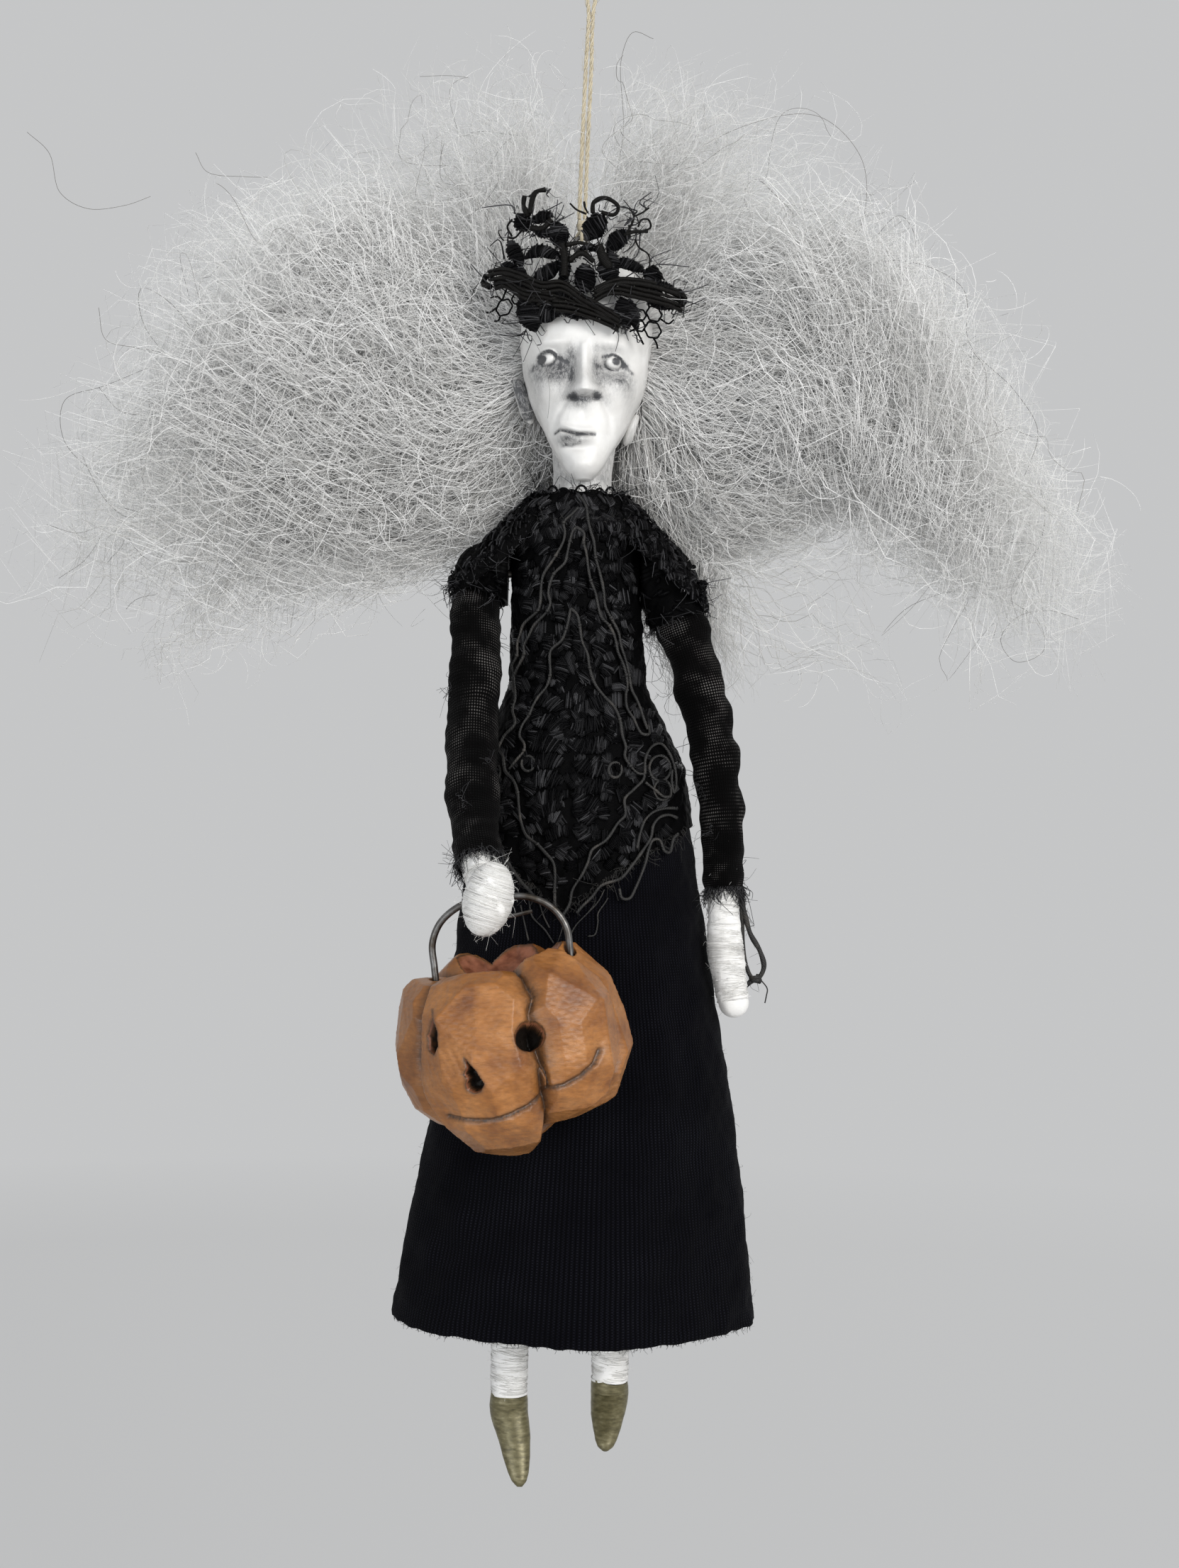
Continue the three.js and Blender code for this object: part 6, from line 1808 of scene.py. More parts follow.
COTTON_GRAIN = np.array([0.7, 0.7, 1.6])


def cotton_relief(seed, depth=0.09):
    """Uneven turns of the cotton wound round a limb."""

    def relief(grid, t, turn):
        return depth * wobble(grid * COTTON_GRAIN, 2.6, seed, 3)

    return relief


def mitten(grid, t, turn):
    """The left hand's cotton, with the crease where the hand starts."""
    crease = -0.28 * np.exp(-(((t - 0.862) / 0.012) ** 2)) * (0.6 + 0.4 * np.cos(turn))
    return crease + 0.07 * wobble(grid * COTTON_GRAIN, 2.4, 87, 3)


def arms():
    right = limb(RIGHT_ARM, RIGHT_RADII, 0.0, 1.0, 150, 64, 0, cotton_relief(81))
    points, radii = fist_path()
    fist = limb(points, radii, 0, 1, 110, 110, -0.04, cotton_relief(82, 0.14), (False, False))
    parts = [surface(right, cell=(0.26, 0.4)), surface(fist, cell=(0.18, 0.1))]
    arm = build("right_arm_cotton", parts, COTTON, "right_arm", ("right_arm",))
    threads = [
        windings(points, radii, 0.04, 0.96, 360, 0.075, 83, 1.2),
        windings(RIGHT_ARM, RIGHT_RADII, 0.8, 0.99, 90, 0.055, 84),
    ]
    rng = np.random.default_rng(85)
    pick = rng.integers(5, 105, 150), rng.integers(0, 110, 150)
    threads.append(cotton_ends(fist, pick, FIST_AT, rng, 0.9, (0.3, 1.3), (0.012, 0.025), 86))
    build("right_fist_threads", threads, THREAD, "right_arm", ())

    left = limb(LEFT_ARM, LEFT_RADII, 0.0, 1.0, 190, 72, 0, mitten)
    parts = [surface(left, cell=(0.22, 0.33))]
    other = build("left_arm_cotton", parts, COTTON, "left_arm", ("left_arm",))
    threads = [windings(LEFT_ARM, LEFT_RADII, 0.68, 0.995, 210, 0.045, 88)]
    pick = rng.integers(120, 198, 130), rng.integers(0, 72, 130)
    centre = spline(LEFT_ARM, np.clip(pick[0] / 190, 0, 1))
    threads.append(cotton_ends(left, pick, centre, rng, 0.9, (0.25, 1.0), (0.012, 0.022), 89))
    build("left_hand_threads", threads, THREAD, "left_arm", ())


arms()
sleeve("right_sleeve_cloth", "right_sleeve", RIGHT_ARM, RIGHT_RADII, 5 / 6, "right_arm", 90)
sleeve("left_sleeve_cloth", "left_sleeve", LEFT_ARM, LEFT_RADII, 5 / 7, "left_arm", 110)
shoulder("right_shoulder_lace_cap", "right_shoulder_lace", RIGHT_ARM, RIGHT_RADII, "right_arm", -1, 130)
shoulder("left_shoulder_lace_cap", "left_shoulder_lace", LEFT_ARM, LEFT_RADII, "left_arm", 1, 140)


TAIL_FIRST = [
    (23.7, -3.6, -132.4), (24.3, -3.2, -135.0), (25.2, -3.0, -138.0), (26.6, -3.0, -140.4),
    (27.2, -3.0, -142.6), (26.6, -3.1, -144.0), (25.5, -3.2, -144.6), (24.6, -3.3, -145.4),
]
TAIL_SECOND = [
    (23.6, -3.2, -132.6), (24.0, -3.0, -136.0), (24.2, -2.8, -139.4),
    (24.7, -2.8, -142.4), (25.6, -3.0, -144.2), (26.9, -3.2, -144.6),
]
TAIL_END = [(26.8, -3.2, -144.4), (27.7, -3.4, -145.6), (27.6, -3.4, -146.6), (27.4, -3.5, -147.6)]


def lace_tail():
    """The knotted end of lace cord that hangs from the left cuff."""
    first = even(TAIL_FIRST, 60)
    lumpy = 0.36 * (1 + 0.1 * np.sin(np.linspace(0, 30, 60)))
    t = np.linspace(0, 2.2 * TAU, 50)
    rise = 0.12 * (t / TAU) * 3 - 0.4
    coil = np.stack([26.0 + 0.62 * np.cos(t), -3.1 + 0.5 * np.sin(t), -144.3 + rise], 1)
    rng = np.random.default_rng(151)
    at = first[rng.integers(0, 60, 60)]
    parts = [
        tubes(first, lumpy[None], 9),
        tubes(even(TAIL_SECOND, 50), 0.3, 8),
        tubes(coil, 0.3, 8),
        tubes(even(TAIL_END, 16), 0.09, 6),
        frays(at, rng.normal(size=(60, 3)), (0.3, 1.0), (0.02, 0.045), 152, 0.8),
    ]
    build("cuff_lace_cord", parts, CORD, "left_arm", ("cuff_lace_tail",))


lace_tail()

# Torso, legs and shoes


TORSO_TOP, TORSO_BOTTOM, TORSO_INSET = -81.6, -123.4, 1.25


def torso():
    turn, level, base = tube_grid(120, 100, TORSO_TOP, TORSO_BOTTOM)
    to_end = np.minimum(level - TORSO_BOTTOM, TORSO_TOP - level)
    closing = np.sqrt(np.clip(to_end / 3.0, 0.02, 1))
    middle, wide, deep = dress_at(level)
    wide, deep = np.minimum(wide, 12.9) - TORSO_INSET, np.minimum(deep, 9.8) - TORSO_INSET
    rough = 0.12 * wobble(base * (1, 1, 1.8), 3, 161)
    x = middle + (wide * closing + rough) * np.cos(turn)
    y = (deep * closing + rough) * np.sin(turn)
    parts = [surface(np.stack([x, y, level], -1), cell=(0.5, 0.35))]
    core = build("wound_torso", parts, COTTON, "figure", ("body_core",))


# Each leg from the hip to the ankle, and the tip of its shoe.
LEGS = {
    "right": (
        [(-7.3, 0, -120), (-7.3, -0.3, -150), (-7.2, -1.0, -180), (-7.1, -1.6, -203.4)],
        (-5.2, -5.4, -215.2),
    ),
    "left": (
        [(7.3, 0, -120), (7.25, -0.3, -149), (7.1, -1.0, -178), (7.0, -1.6, -201.2)], (6.5, -8.0, -209.1)
    ),
}
LEG_RADII = [2.7, 3.0, 2.75, 2.5]
# A shoe's half width and half depth along it, from the ankle to the tip.
SHOE_STOPS = [0, 0.1, 0.25, 0.45, 0.62, 0.78, 0.9, 0.96, 1]
SHOE_WIDE = [2.5, 2.65, 2.7, 2.6, 2.35, 1.95, 1.45, 1.05, 0.35]
SHOE_DEEP = [2.5, 2.6, 2.5, 2.1, 1.6, 1.2, 0.9, 0.7, 0.25]


def shoe(name, ankle, toe, seed):
    t = np.linspace(0, 1, 90)
    line = [ankle + (0, 0, -0.1), ankle + (0, 0, -2.2), ankle * 0.5 + toe * 0.5 + (0, 0.5, -0.4), toe]
    path = spline(line, t)
    wide, deep = (np.interp(t, SHOE_STOPS, row)[:, None, None] for row in (SHOE_WIDE, SHOE_DEEP))
    turn = circle(72)
    c, s = (part(turn)[None, :, None] for part in (np.cos, np.sin))
    across = np.array([1.0, 0, 0])
    front = unit(np.cross(across, unit(np.gradient(path, axis=0))))
    shape = path[:, None] + wide * c * across + deep * s * front[:, None]
    cut = wobble(shape, 4.5, seed + 4, 1)
    out = unit(shape - path[:, None])
    shape = shape + (0.05 * np.sign(cut) * np.abs(cut) ** 0.5)[..., None] * out
    collar = 0.75 * np.clip(np.cos(turn + 2.8), 0, 1) ** 2 + 0.1
    shape[..., 2] += np.exp(-((t / 0.07) ** 2))[:, None] * collar[None]
    lip = path[0] + (shape[:1] - path[0]) * 0.86 + (0, 0, -0.5)
    parts = [surface(np.concatenate([lip, shape]), cell=(0.2, 0.13))]
    build(name + "_shoe_carved", parts, SHOE, name + "_leg", (name + "_shoe",))


def leg(name, seed):
    line, toe = LEGS[name]
    body = name + "_leg"
    grid = limb(line, LEG_RADII, 0, 1, 260, 64, 0, cotton_relief(seed, 0.1), (True, False))
    parts = [surface(grid, cell=(0.26, 0.33))]
    piece = build(name + "_leg_cotton", parts, COTTON, body, (body,))
    threads = [windings(line, LEG_RADII, 0.55, 0.995, 330, 0.05, seed + 1)]
    rng = np.random.default_rng(seed + 2)
    pick = rng.integers(200, 268, 90), rng.integers(0, 64, 90)
    centre = np.array(line[-1]) * (1, 1, 0) + grid[pick] * (0, 0, 1)
    threads.append(cotton_ends(grid, pick, centre, rng, 0.8, (0.25, 0.9), (0.012, 0.022), seed + 3))
    build(name + "_leg_threads", threads, THREAD, body, ())
    shoe(name, np.array(line[-1], float), np.array(toe, float), seed)


torso()
leg("right", 171)
leg("left", 181)

# Pumpkin pail

PAIL_AT = np.array([-6.69, -28.02, -152.02])
PAIL_LEAN = math.radians(8.2)
# Angles of the grooves between the lobes, where 0 faces forward.
GROOVES = [-114, -54, 16, 76, 134, 192]
# Each lobe after a groove: how large it is, and how far its foot and its shoulder rise.
LOBES = [
    (0.965, 2.6, -0.9), (1.02, 0.0, -0.7), (1.01, 2.9, 0.2), (0.99, 2.4, 0.4), (1.0, 1.4, 0.5),
    (0.98, 1.8, 0.2),
]
# Radius and height of the pumpkin's outline, as shares of its size, from foot to top.
PAIL_ROWS = np.array(
    [
        (0.3, -0.5), (0.62, -0.44), (0.86, -0.28), (0.985, -0.06), (0.975, 0.14), (0.88, 0.32),
        (0.72, 0.44), (0.56, 0.5), (0.3, 0.53),
    ]
)


def pail_world(p):
    """Points of the pumpkin's own frame, leaned and set in the row frame."""
    c, s = math.cos(PAIL_LEAN), math.sin(PAIL_LEAN)
    x, z = c * p[..., 0] - s * p[..., 2], s * p[..., 0] + c * p[..., 2]
    return np.stack([PAIL_AT[0] + x, PAIL_AT[1] + p[..., 1], PAIL_AT[2] + z], -1)


PAIL_CENTRE = np.array([0, 0, -1.0])
PAIL_WIDE, PAIL_DEEP, PAIL_TALL = 15.1, 12.8, 25.2
PAIL_FOOT = -11.6
# The dish inside the rim: the height of its middle, and how steeply it curves up round it.
DISH_LOW, DISH_BEND = 8.6, 0.075
BAIL_HALF = 8.75
BAIL_ARCH = [(1, 8.0), (1, 11.85), (0.985, 15.0), (0.82, 17.6), (0.47, 19.45)]
BAIL_POINTS = 150
# Cuts of the pumpkin's face, as x and z points in its own frame.
PAIL_MOUTH = [
    (11.25, 0.0), (10.4, -1.5), (8.5, -2.8), (6.4, -3.6), (3.9, -3.9), (3.3, -4.75),
    (1.5, -5.7), (-0.65, -6.4), (-2.9, -6.8), (-4.7, -6.8), (-6.7, -6.5), (-8.6, -6.1),
]
PAIL_CRACK = [(3.6, 1.2), (4.0, -0.8), (4.5, -2.6), (4.4, -3.8)]
PAIL_SPLIT = [(-8.9, 7.4), (-8.85, 6.2)]
PAIL_SLIT = [(-8.95, 6.3), (-8.55, 4.9), (-8.7, 3.0), (-9.3, 1.9), (-10.0, 2.5), (-9.9, 4.3)]
PAIL_NOSE = [
    (-5.45, 1.35), (-4.2, -0.3), (-3.4, -2.0), (-4.0, -2.9), (-4.8, -3.1),
    (-5.6, -2.6), (-5.7, -1.8), (-5.4, -1.2), (-5.75, -0.6), (-5.35, 0.1),
]


def gauss(away, wide):
    """1 on a cut and 0 away from it."""
    return np.exp(-((away / wide) ** 2))


def inside(x, z, points):
    """Signed distance into a closed outline, positive inside."""
    ring = np.asarray(points + points[:1], float)
    odd = np.zeros(x.shape, bool)
    for a, b in zip(ring[:-1], ring[1:]):
        line_x = (b[0] - a[0]) * (z - a[1]) / (b[1] - a[1] + 1e-9) + a[0]
        odd ^= ((a[1] > z) != (b[1] > z)) & (x < line_x)
    return np.where(odd, 1, -1) * near(x, z, ring)


def lobe_point(t, s, middle, half, size, lift):
    """A point of a lobe: t runs across it from -1 to 1, and s from its foot to its top."""
    shares = np.linspace(0, 1, len(PAIL_ROWS))
    share, level = (np.interp(s, shares, PAIL_ROWS[:, i]) for i in (0, 1))
    angle = middle + t * half
    upper, lower = smooth(s, 0.62, 0.95), smooth(-s, -0.4, -0.05)
    bulge = 1.03 - (0.17 + 0.2 * upper + 0.14 * lower) * abs(t) ** 2.3
    reach = share * bulge * size
    z = PAIL_TALL * level + lift[0] * lower + lift[1] * upper - 1.5 * upper * t * t
    return np.array([PAIL_WIDE * reach * math.sin(angle), -PAIL_DEEP * reach * math.cos(angle), z])


def lobe_reach(way, turns, number, rng):
    """How far each way goes until it leaves one lobe, which is cut flat by flat."""
    groove, after = GROOVES[number], (GROOVES + [GROOVES[0] + 360])[number + 1]
    middle, half = math.radians((groove + after) / 2), math.radians((after - groove) / 2)
    size, *lift = LOBES[number]
    best = np.full(turns.shape, FAR)
    for t in (-1.4, -1.0, -0.5, 0.0, 0.5, 1.0, 1.4):
        for s in (0.02, 0.14, 0.3, 0.46, 0.62, 0.78, 0.92):
            across = t + (rng.normal() * 0.13 if abs(t) < 1.3 else 0)
            along = np.clip(s + rng.normal() * 0.035, 0.01, 0.97)
            here = lobe_point(across, along, middle, half, size, lift)
            beside = lobe_point(across + 0.02, along, middle, half, size, lift) - here
            above = lobe_point(across, along + 0.012, middle, half, size, lift) - here
            normal = unit(np.cross(beside, above))
            if normal @ (here - PAIL_CENTRE) < 0:
                normal = -normal
            normal = unit(normal + rng.normal(size=3) * 0.045)
            slope = way @ normal
            reach = (here - PAIL_CENTRE) @ normal / np.maximum(slope, 0.03)
            best = np.minimum(best, np.where(slope > 0.03, reach, FAR))
    gap = np.abs((turns - middle + math.pi) % TAU - math.pi)
    return np.where(gap < 1.7 * half, best, 0)


def dish_reach(way):
    """How far each way goes until it meets the dish of the pumpkin's top."""
    up = way[..., 2]
    flat = np.hypot(way[..., 0], way[..., 1])
    root = up**2 - 4 * DISH_BEND * flat**2 * (DISH_LOW + 1)
    below = np.maximum(up + np.sqrt(np.clip(root, 0, None)), 1e-9)
    dish = np.where((root > 0) & (up > 0.2), 2 * (DISH_LOW + 1) / below, FAR)
    return dish * (1 + 0.02 * np.round(1.5 * wobble(way * 8, 9, 192, 1)))


def pail_body():
    """The carved pumpkin in its own frame, and its tone: how dark or bare its wood is, with painted shade
    low, on the left and in the holes.
    """
    rng = np.random.default_rng(191)
    spin = np.linspace(-1, 1, 380, endpoint=False)
    turn = math.pi * (0.62 * spin + 0.38 * spin**3)
    turns, rises = np.meshgrid(turn, np.radians(np.linspace(-89.5, 89.5, 255)))
    way = np.stack([np.cos(rises) * np.sin(turns), -np.cos(rises) * np.cos(turns), np.sin(rises)], -1)
    order = np.sort([lobe_reach(way, turns, number, rng) for number in range(len(GROOVES))], axis=0)
    pinch = order[-1] - order[-2]
    down = way[..., 2]
    reach = np.minimum(order[-1], np.where(down < -0.05, PAIL_FOOT / np.minimum(down, -0.05), FAR))
    dish = dish_reach(way)
    in_dish = dish < reach
    edge = np.clip((reach - dish) / 0.6, 0, 1)
    reach = np.minimum(reach, dish)

    p = PAIL_CENTRE + reach[..., None] * way
    x, z = p[..., 0], p[..., 2]
    front = smooth(-way[..., 1], 0.15, 0.3)
    tone = np.where(in_dish, 1 + edge, 0.45 * gauss(pinch, 0.7) + 0.5 * gauss(pinch, 1.5))
    # Painted shade: darker towards the bottom and on the left side, over the pencil along the grooves.
    darkening = np.maximum(tone, 0.34 * smooth(-z, 6.0, 11.5)) + 0.24 * smooth(-x, 7.0, 13.5)
    tone = np.where(in_dish, tone, darkening)
    reach = reach - (0.3 * gauss(pinch, 0.4) + 0.22 * gauss(pinch, 1.1)) * (~in_dish)
    away, below = near(x, z, PAIL_MOUTH), near(x, z - 0.9, PAIL_MOUTH)
    reach -= front * (0.42 * gauss(away, 0.28) + 0.22 * gauss(below, 0.9))
    tone = np.maximum(tone, front * (0.9 * gauss(away, 0.3) + 0.25 * gauss(away, 0.8)))
    crack = near(x, z, PAIL_CRACK)
    wide = np.interp(z, [-3.8, -0.5, 1.4], [0.14, 0.3, 0.62])
    reach -= front * 0.8 * gauss(crack, wide)
    tone = np.maximum(tone, front * gauss(crack, wide + 0.12))
    tone = np.maximum(tone, front * 0.9 * gauss(near(x, z, PAIL_SPLIT), 0.16))

    rough = 0.05 * wobble(p, 1.3, 193, 2)
    round_eye = 1.86 - np.hypot(x - 2.82, z - 2.96) + 0.6 * rough
    slit = inside(x, z, PAIL_SLIT) + 0.5 * rough
    nose = inside(x, z, PAIL_NOSE) + 0.35 * rough
    for hole, depth in ((round_eye, 3.4), (slit, 2.6), (nose, 2.6)):
        bowl = 0.75 + 0.25 * smooth(hole, 0.2, 1.2)
        reach = reach - front * depth * smooth(hole, -0.05, 0.32) * bowl
        # The inside of each hole is marked near black: painted shade.
        tone = np.where(front > 0.5, np.maximum(tone, 3 * smooth(hole, -0.12, 0.12)), tone)
        tone = np.maximum(tone, front * 0.55 * smooth(hole, -0.5, -0.05))
    reach -= 0.025 * wobble(p * (1, 1, 2.4), 1.4, 194, 3)
    return PAIL_CENTRE + reach[..., None] * way, tone


def pumpkin():
    p, tone = pail_body()
    for side in (-1, 1):
        seat = np.hypot(p[..., 0] - side * BAIL_HALF, p[..., 1])
        top = p[..., 2] > 7
        # Where the bail goes in, the wood is painted near black: painted shade in its holes.
        tone = np.where((seat < 0.72) & top, 3.0, tone)
        p[..., 2] -= np.where(top, 1.6 * smooth(0.8 - seat, 0, 0.25), 0)
    part = surface(pail_world(p), tone=tone, cell=(0.2, 0.2))
    build("carved_pumpkin", [part], PUMPKIN, "pumpkin_pail", ("pumpkin",))

    arch = [(share * BAIL_HALF, z) for share, z in BAIL_ARCH]
    line = [(-x, 0, z) for x, z in arch] + [(-0.88, 0, 19.75)] + [(x, 0, z) for x, z in arch[::-1]]
    wire = pail_world(even(line, BAIL_POINTS))
    bent = 0.06 * wobble(wire, 9, 195, 2)
    count = np.arange(BAIL_POINTS)
    wire[:, 1] += bent * np.clip(np.minimum(count, count[::-1]) / 20, 0, 1)
    build("wire_bail", [tubes(wire, 0.45, 16)], WIRE, "pumpkin_pail", ("pumpkin_handle",))


pumpkin()

# Hair

# Each side of the hair from the temple outwards: distance from the middle, then the centre's
# y and z and the half sizes in y and z.
HAIR_ROWS = {
    -1: np.array(
        [
            (8.3, 3.5, -57.9, 3.6, 9), (12, 5.5, -58.4, 6.2, 14), (19.9, 6.5, -60.9, 9.5, 21.5),
            (32, 5, -61.9, 12, 25.5), (44.8, 4, -65.4, 12, 24.5), (57, 3, -70.4, 11, 22.5),
            (66.9, 2.5, -76.9, 8.5, 19), (76, 2, -80.5, 5, 14),
        ]
    ),
    1: np.array(
        [
            (8.5, 3.0, -58.4, 3.6, 9.5), (13.1, 5.5, -59.4, 6, 14.5), (18.5, 6.5, -58.9, 9, 20),
            (28.4, 5, -55.6, 10, 18.8), (39, 4.5, -57.2, 11, 18.2), (49.7, 4, -65.0, 11, 19.4),
            (58.2, 3.5, -73.9, 10, 19), (65.3, 3, -80.9, 7.5, 15), (73, 3, -87.9, 4, 10),
        ]
    ),
}


def curled(paths, seed, group, waves, growth=1.0):
    """Adds springy waves to (n, k, 3) paths. waves are (length, size at the root, size at the tip);
    strands of one group share most of their first wave."""
    rng = np.random.default_rng(seed)
    n, k, _ = paths.shape
    _, side, up = frames(paths)
    run = run_along(paths)
    s = np.linspace(0, 1, k)[None]
    out = paths.copy()
    for i, (length, low, high) in enumerate(waves):
        if i == 0:
            shared = rng.uniform(0, TAU, group.max() + 1)[group]
            phase = shared + rng.normal(size=n) * 0.8
            pitch = length * rng.uniform(0.8, 1.25, group.max() + 1)[group] * rng.uniform(0.9, 1.1, n)
        else:
            phase = rng.uniform(0, TAU, n)
            pitch = length * rng.uniform(0.7, 1.4, n)
        size = (low + (high - low) * s**growth) * rng.uniform(0.5, 1.4, (n, 1))
        size = size * smooth(s, -0.02, 0.12)
        angle = phase[:, None] + TAU * run / pitch[:, None]
        squash = rng.uniform(0.4, 1.0, (n, 1))
        out += (size * np.cos(angle))[..., None] * side + (size * squash * np.sin(angle))[..., None] * up
    return out


def fan(side, count, k, seed, spread=1.0):
    """Strands of one side, which leave the temple together and open out."""
    rng = np.random.default_rng(seed)
    rows = HAIR_ROWS[side]
    clumps = 130
    angle, reach = rng.uniform(0, TAU, clumps), rng.uniform(0, 1, clumps) ** 0.58
    group = rng.integers(0, clumps, count)
    s = np.linspace(0, 1, k)[None]
    cross = []
    for part in (np.sin(angle), np.cos(angle)):
        drift = (rng.normal(size=clumps) * 0.34)[group] + rng.normal(size=count) * 0.16
        start = spread * (reach * part)[group] + rng.normal(size=count) * 0.13
        cross.append(np.clip(start[:, None] + drift[:, None] * s**1.2, -1.3 * spread, 1.22 * spread))
    v, w = cross
    long = (rng.uniform(0.3, 1.0, clumps) ** 0.8)[group] * rng.uniform(0.75, 1.12, count)
    long = long * (1 - 0.16 * smooth(np.abs(v[:, -1]), 0.5, 1.2))
    x = rows[0, 0] + (rows[-1, 0] - rows[0, 0]) * long[:, None] * s
    at = [np.interp(x, rows[:, 0], rows[:, i]) for i in range(1, 5)]
    swell = 0.82 + 0.22 * (x - rows[0, 0]) / (rows[-1, 0] - rows[0, 0])
    droop = 3.0 * (long[:, None] * s) ** 3
    paths = np.stack([side * x, at[0] + w * at[2] * swell, at[1] + v * at[3] * swell - droop], -1)
    paths = curled(paths, seed + 1, group, [(24, 0.6, 4.0), (11, 0.5, 2.8), (6, 0.3, 1.4)])
    murky = (rng.uniform(0, 1, clumps) < 0.16)[group]
    # Strands higher up and further forward are lighter, lower and further back darker: painted light and
    # painted shade.
    tone = 0.86 + 0.16 * v.mean(1) - 0.08 * w.mean(1) + (rng.normal(size=clumps) * 0.1)[group] - 0.5 * murky
    tone = np.clip(tone + rng.normal(size=count) * 0.16, 0.0, 1)
    return paths, tone


def lock(points, count, k, seed):
    """Strands that follow a curve of x, y, z and radius."""
    rng = np.random.default_rng(seed)
    fine = spline(points, np.linspace(0, 1, 120))
    tangent = unit(np.gradient(fine[:, :3], axis=0))
    beside = unit(np.cross(tangent, (0, 1, 0)))
    clumps = max(5, count // 22)
    angle, reach = rng.uniform(0, TAU, clumps), rng.uniform(0, 1, clumps) ** 0.55
    group = rng.integers(0, clumps, count)
    s = np.linspace(0, 1, k)[None]
    long = rng.uniform(0.55, 1.0, clumps)[group] * rng.uniform(0.85, 1.0, count)
    at = long[:, None] * s * 118.9
    low = at.astype(int)
    part = (at - low)[..., None]
    line = fine[low] * (1 - part) + fine[low + 1] * part
    cross = []
    for way in (np.sin(angle), np.cos(angle)):
        drift = (rng.normal(size=clumps) * 0.35)[group] + rng.normal(size=count) * 0.2
        cross.append(((reach * way)[group] + rng.normal(size=count) * 0.15)[:, None] + drift[:, None] * s)
    first, second = ((part * line[..., 3])[..., None] for part in cross)
    paths = line[..., :3] + first * beside[low] + second * np.array([0, 1.0, 0])
    paths = curled(paths, seed + 1, group, [(22, 0.3, 2.6), (10, 0.25, 1.6), (6, 0.15, 0.8)])
    # Locks under the fans are painted a darker grey: painted shade.
    return paths, np.clip(0.5 + rng.normal(size=count) * 0.26, 0, 1)


# Curls that would reach further out than this, behind or beside, are left out.
CURLS_END_BEHIND = 29.5
CURLS_END_BESIDE = 83.5


def frizz(paths, count, seed, size=(1.0, 5.4), drift=1.2, late=0.75):
    """Short loose curls along strands, mostly towards their tips."""
    rng = np.random.default_rng(seed)
    n, k, _ = paths.shape
    which = rng.integers(0, n, count)
    at = (rng.uniform(0.1, 1, count) ** late * (k - 2)).astype(int)
    start = paths[which, at] + rng.normal(size=(count, 3)) * drift
    way = unit(unit(paths[which, at + 1] - paths[which, at]) + rng.normal(size=(count, 3)) * 0.85)
    bend = unit(np.cross(way, rng.normal(size=(count, 3))))
    third = np.cross(way, bend)
    radius = rng.uniform(*size, count)[:, None]
    sweep = rng.uniform(0.7, 4.4, count)[:, None] ** 0.9 * np.linspace(0, 1, 9)[None]
    grow = radius * (1 + 0.35 * rng.normal(size=(count, 1)) * sweep / 3)
    rise = rng.normal(size=(count, 1)) * 0.5
    along, out, up = grow * np.sin(sweep), grow * (1 - np.cos(sweep)), radius * rise * sweep * 0.5
    path = start[:, None] + along[..., None] * way[:, None]
    path = path + out[..., None] * bend[:, None] + up[..., None] * third[:, None]
    held = (path[..., 1].max(1) < CURLS_END_BEHIND) & (np.abs(path[..., 0]).max(1) < CURLS_END_BESIDE)
    return path[held], np.clip(rng.uniform(0.35, 1.4, count), 0, 1)[held]


def strand_radii(count, k, thick, seed):
    rng = np.random.default_rng(seed)
    taper = np.interp(np.linspace(0, 1, k), [0, 0.6, 0.9, 1], [1, 0.95, 0.6, 0.25])
    return thick * rng.uniform(0.7, 1.25, (count, 1)) * taper[None]


def lay(name, paths, tone, thick, node, seed, each=1500):
    """Strands made into pieces of at most each strands."""
    for i in range(0, len(paths), each):
        part = paths[i : i + each]
        radii = strand_radii(len(part), part.shape[1], thick, seed + i)
        tube = tubes(part, radii, 3, tone=tone[i : i + each])
        title = name if len(paths) <= each else f"{name}_{i // each + 1}"
        build(title, [tube], MOHAIR, "figure", (node,))


# Locks under the main fans: x, y, z and radius along each, then how many strands.
LOCKS = {
    -1: [
        (
            [
                (-8.2, 4, -60.5, 2.0), (-11, 6, -69, 4.2), (-17, 7, -77, 5.6), (-28, 6, -81.5, 6.4),
                (-42, 5, -82, 7), (-56, 4, -84, 7),
            ],
            800,
        ),
        ([(-7.5, 6, -65, 2.2), (-10, 8, -74, 4), (-14, 8.5, -81.5, 4.2), (-18, 8, -88, 3.2)], 420),
        ([(-36, 4, -78, 6), (-48, 4, -88, 8), (-58, 3, -97, 9), (-64, 3, -104, 7)], 70),
    ],
    1: [
        (
            [
                (8.2, 4, -61.5, 2.0), (11.5, 6, -71, 4.4), (17.5, 7, -79, 5), (26, 6, -79, 4.6),
                (38, 5, -77, 5), (50, 4, -81, 6),
            ],
            800,
        ),
        (
            [
                (7.6, 6, -66, 2.4), (11, 8, -78, 4.8), (15.5, 9, -90, 5.6), (19.5, 8.5, -100, 5),
                (22, 8, -108, 4),
            ],
            560,
        ),
        ([(18, 6, -84, 4), (28, 6, -92, 6), (40, 5, -98, 7), (52, 4, -104, 6)], 36),
    ],
}


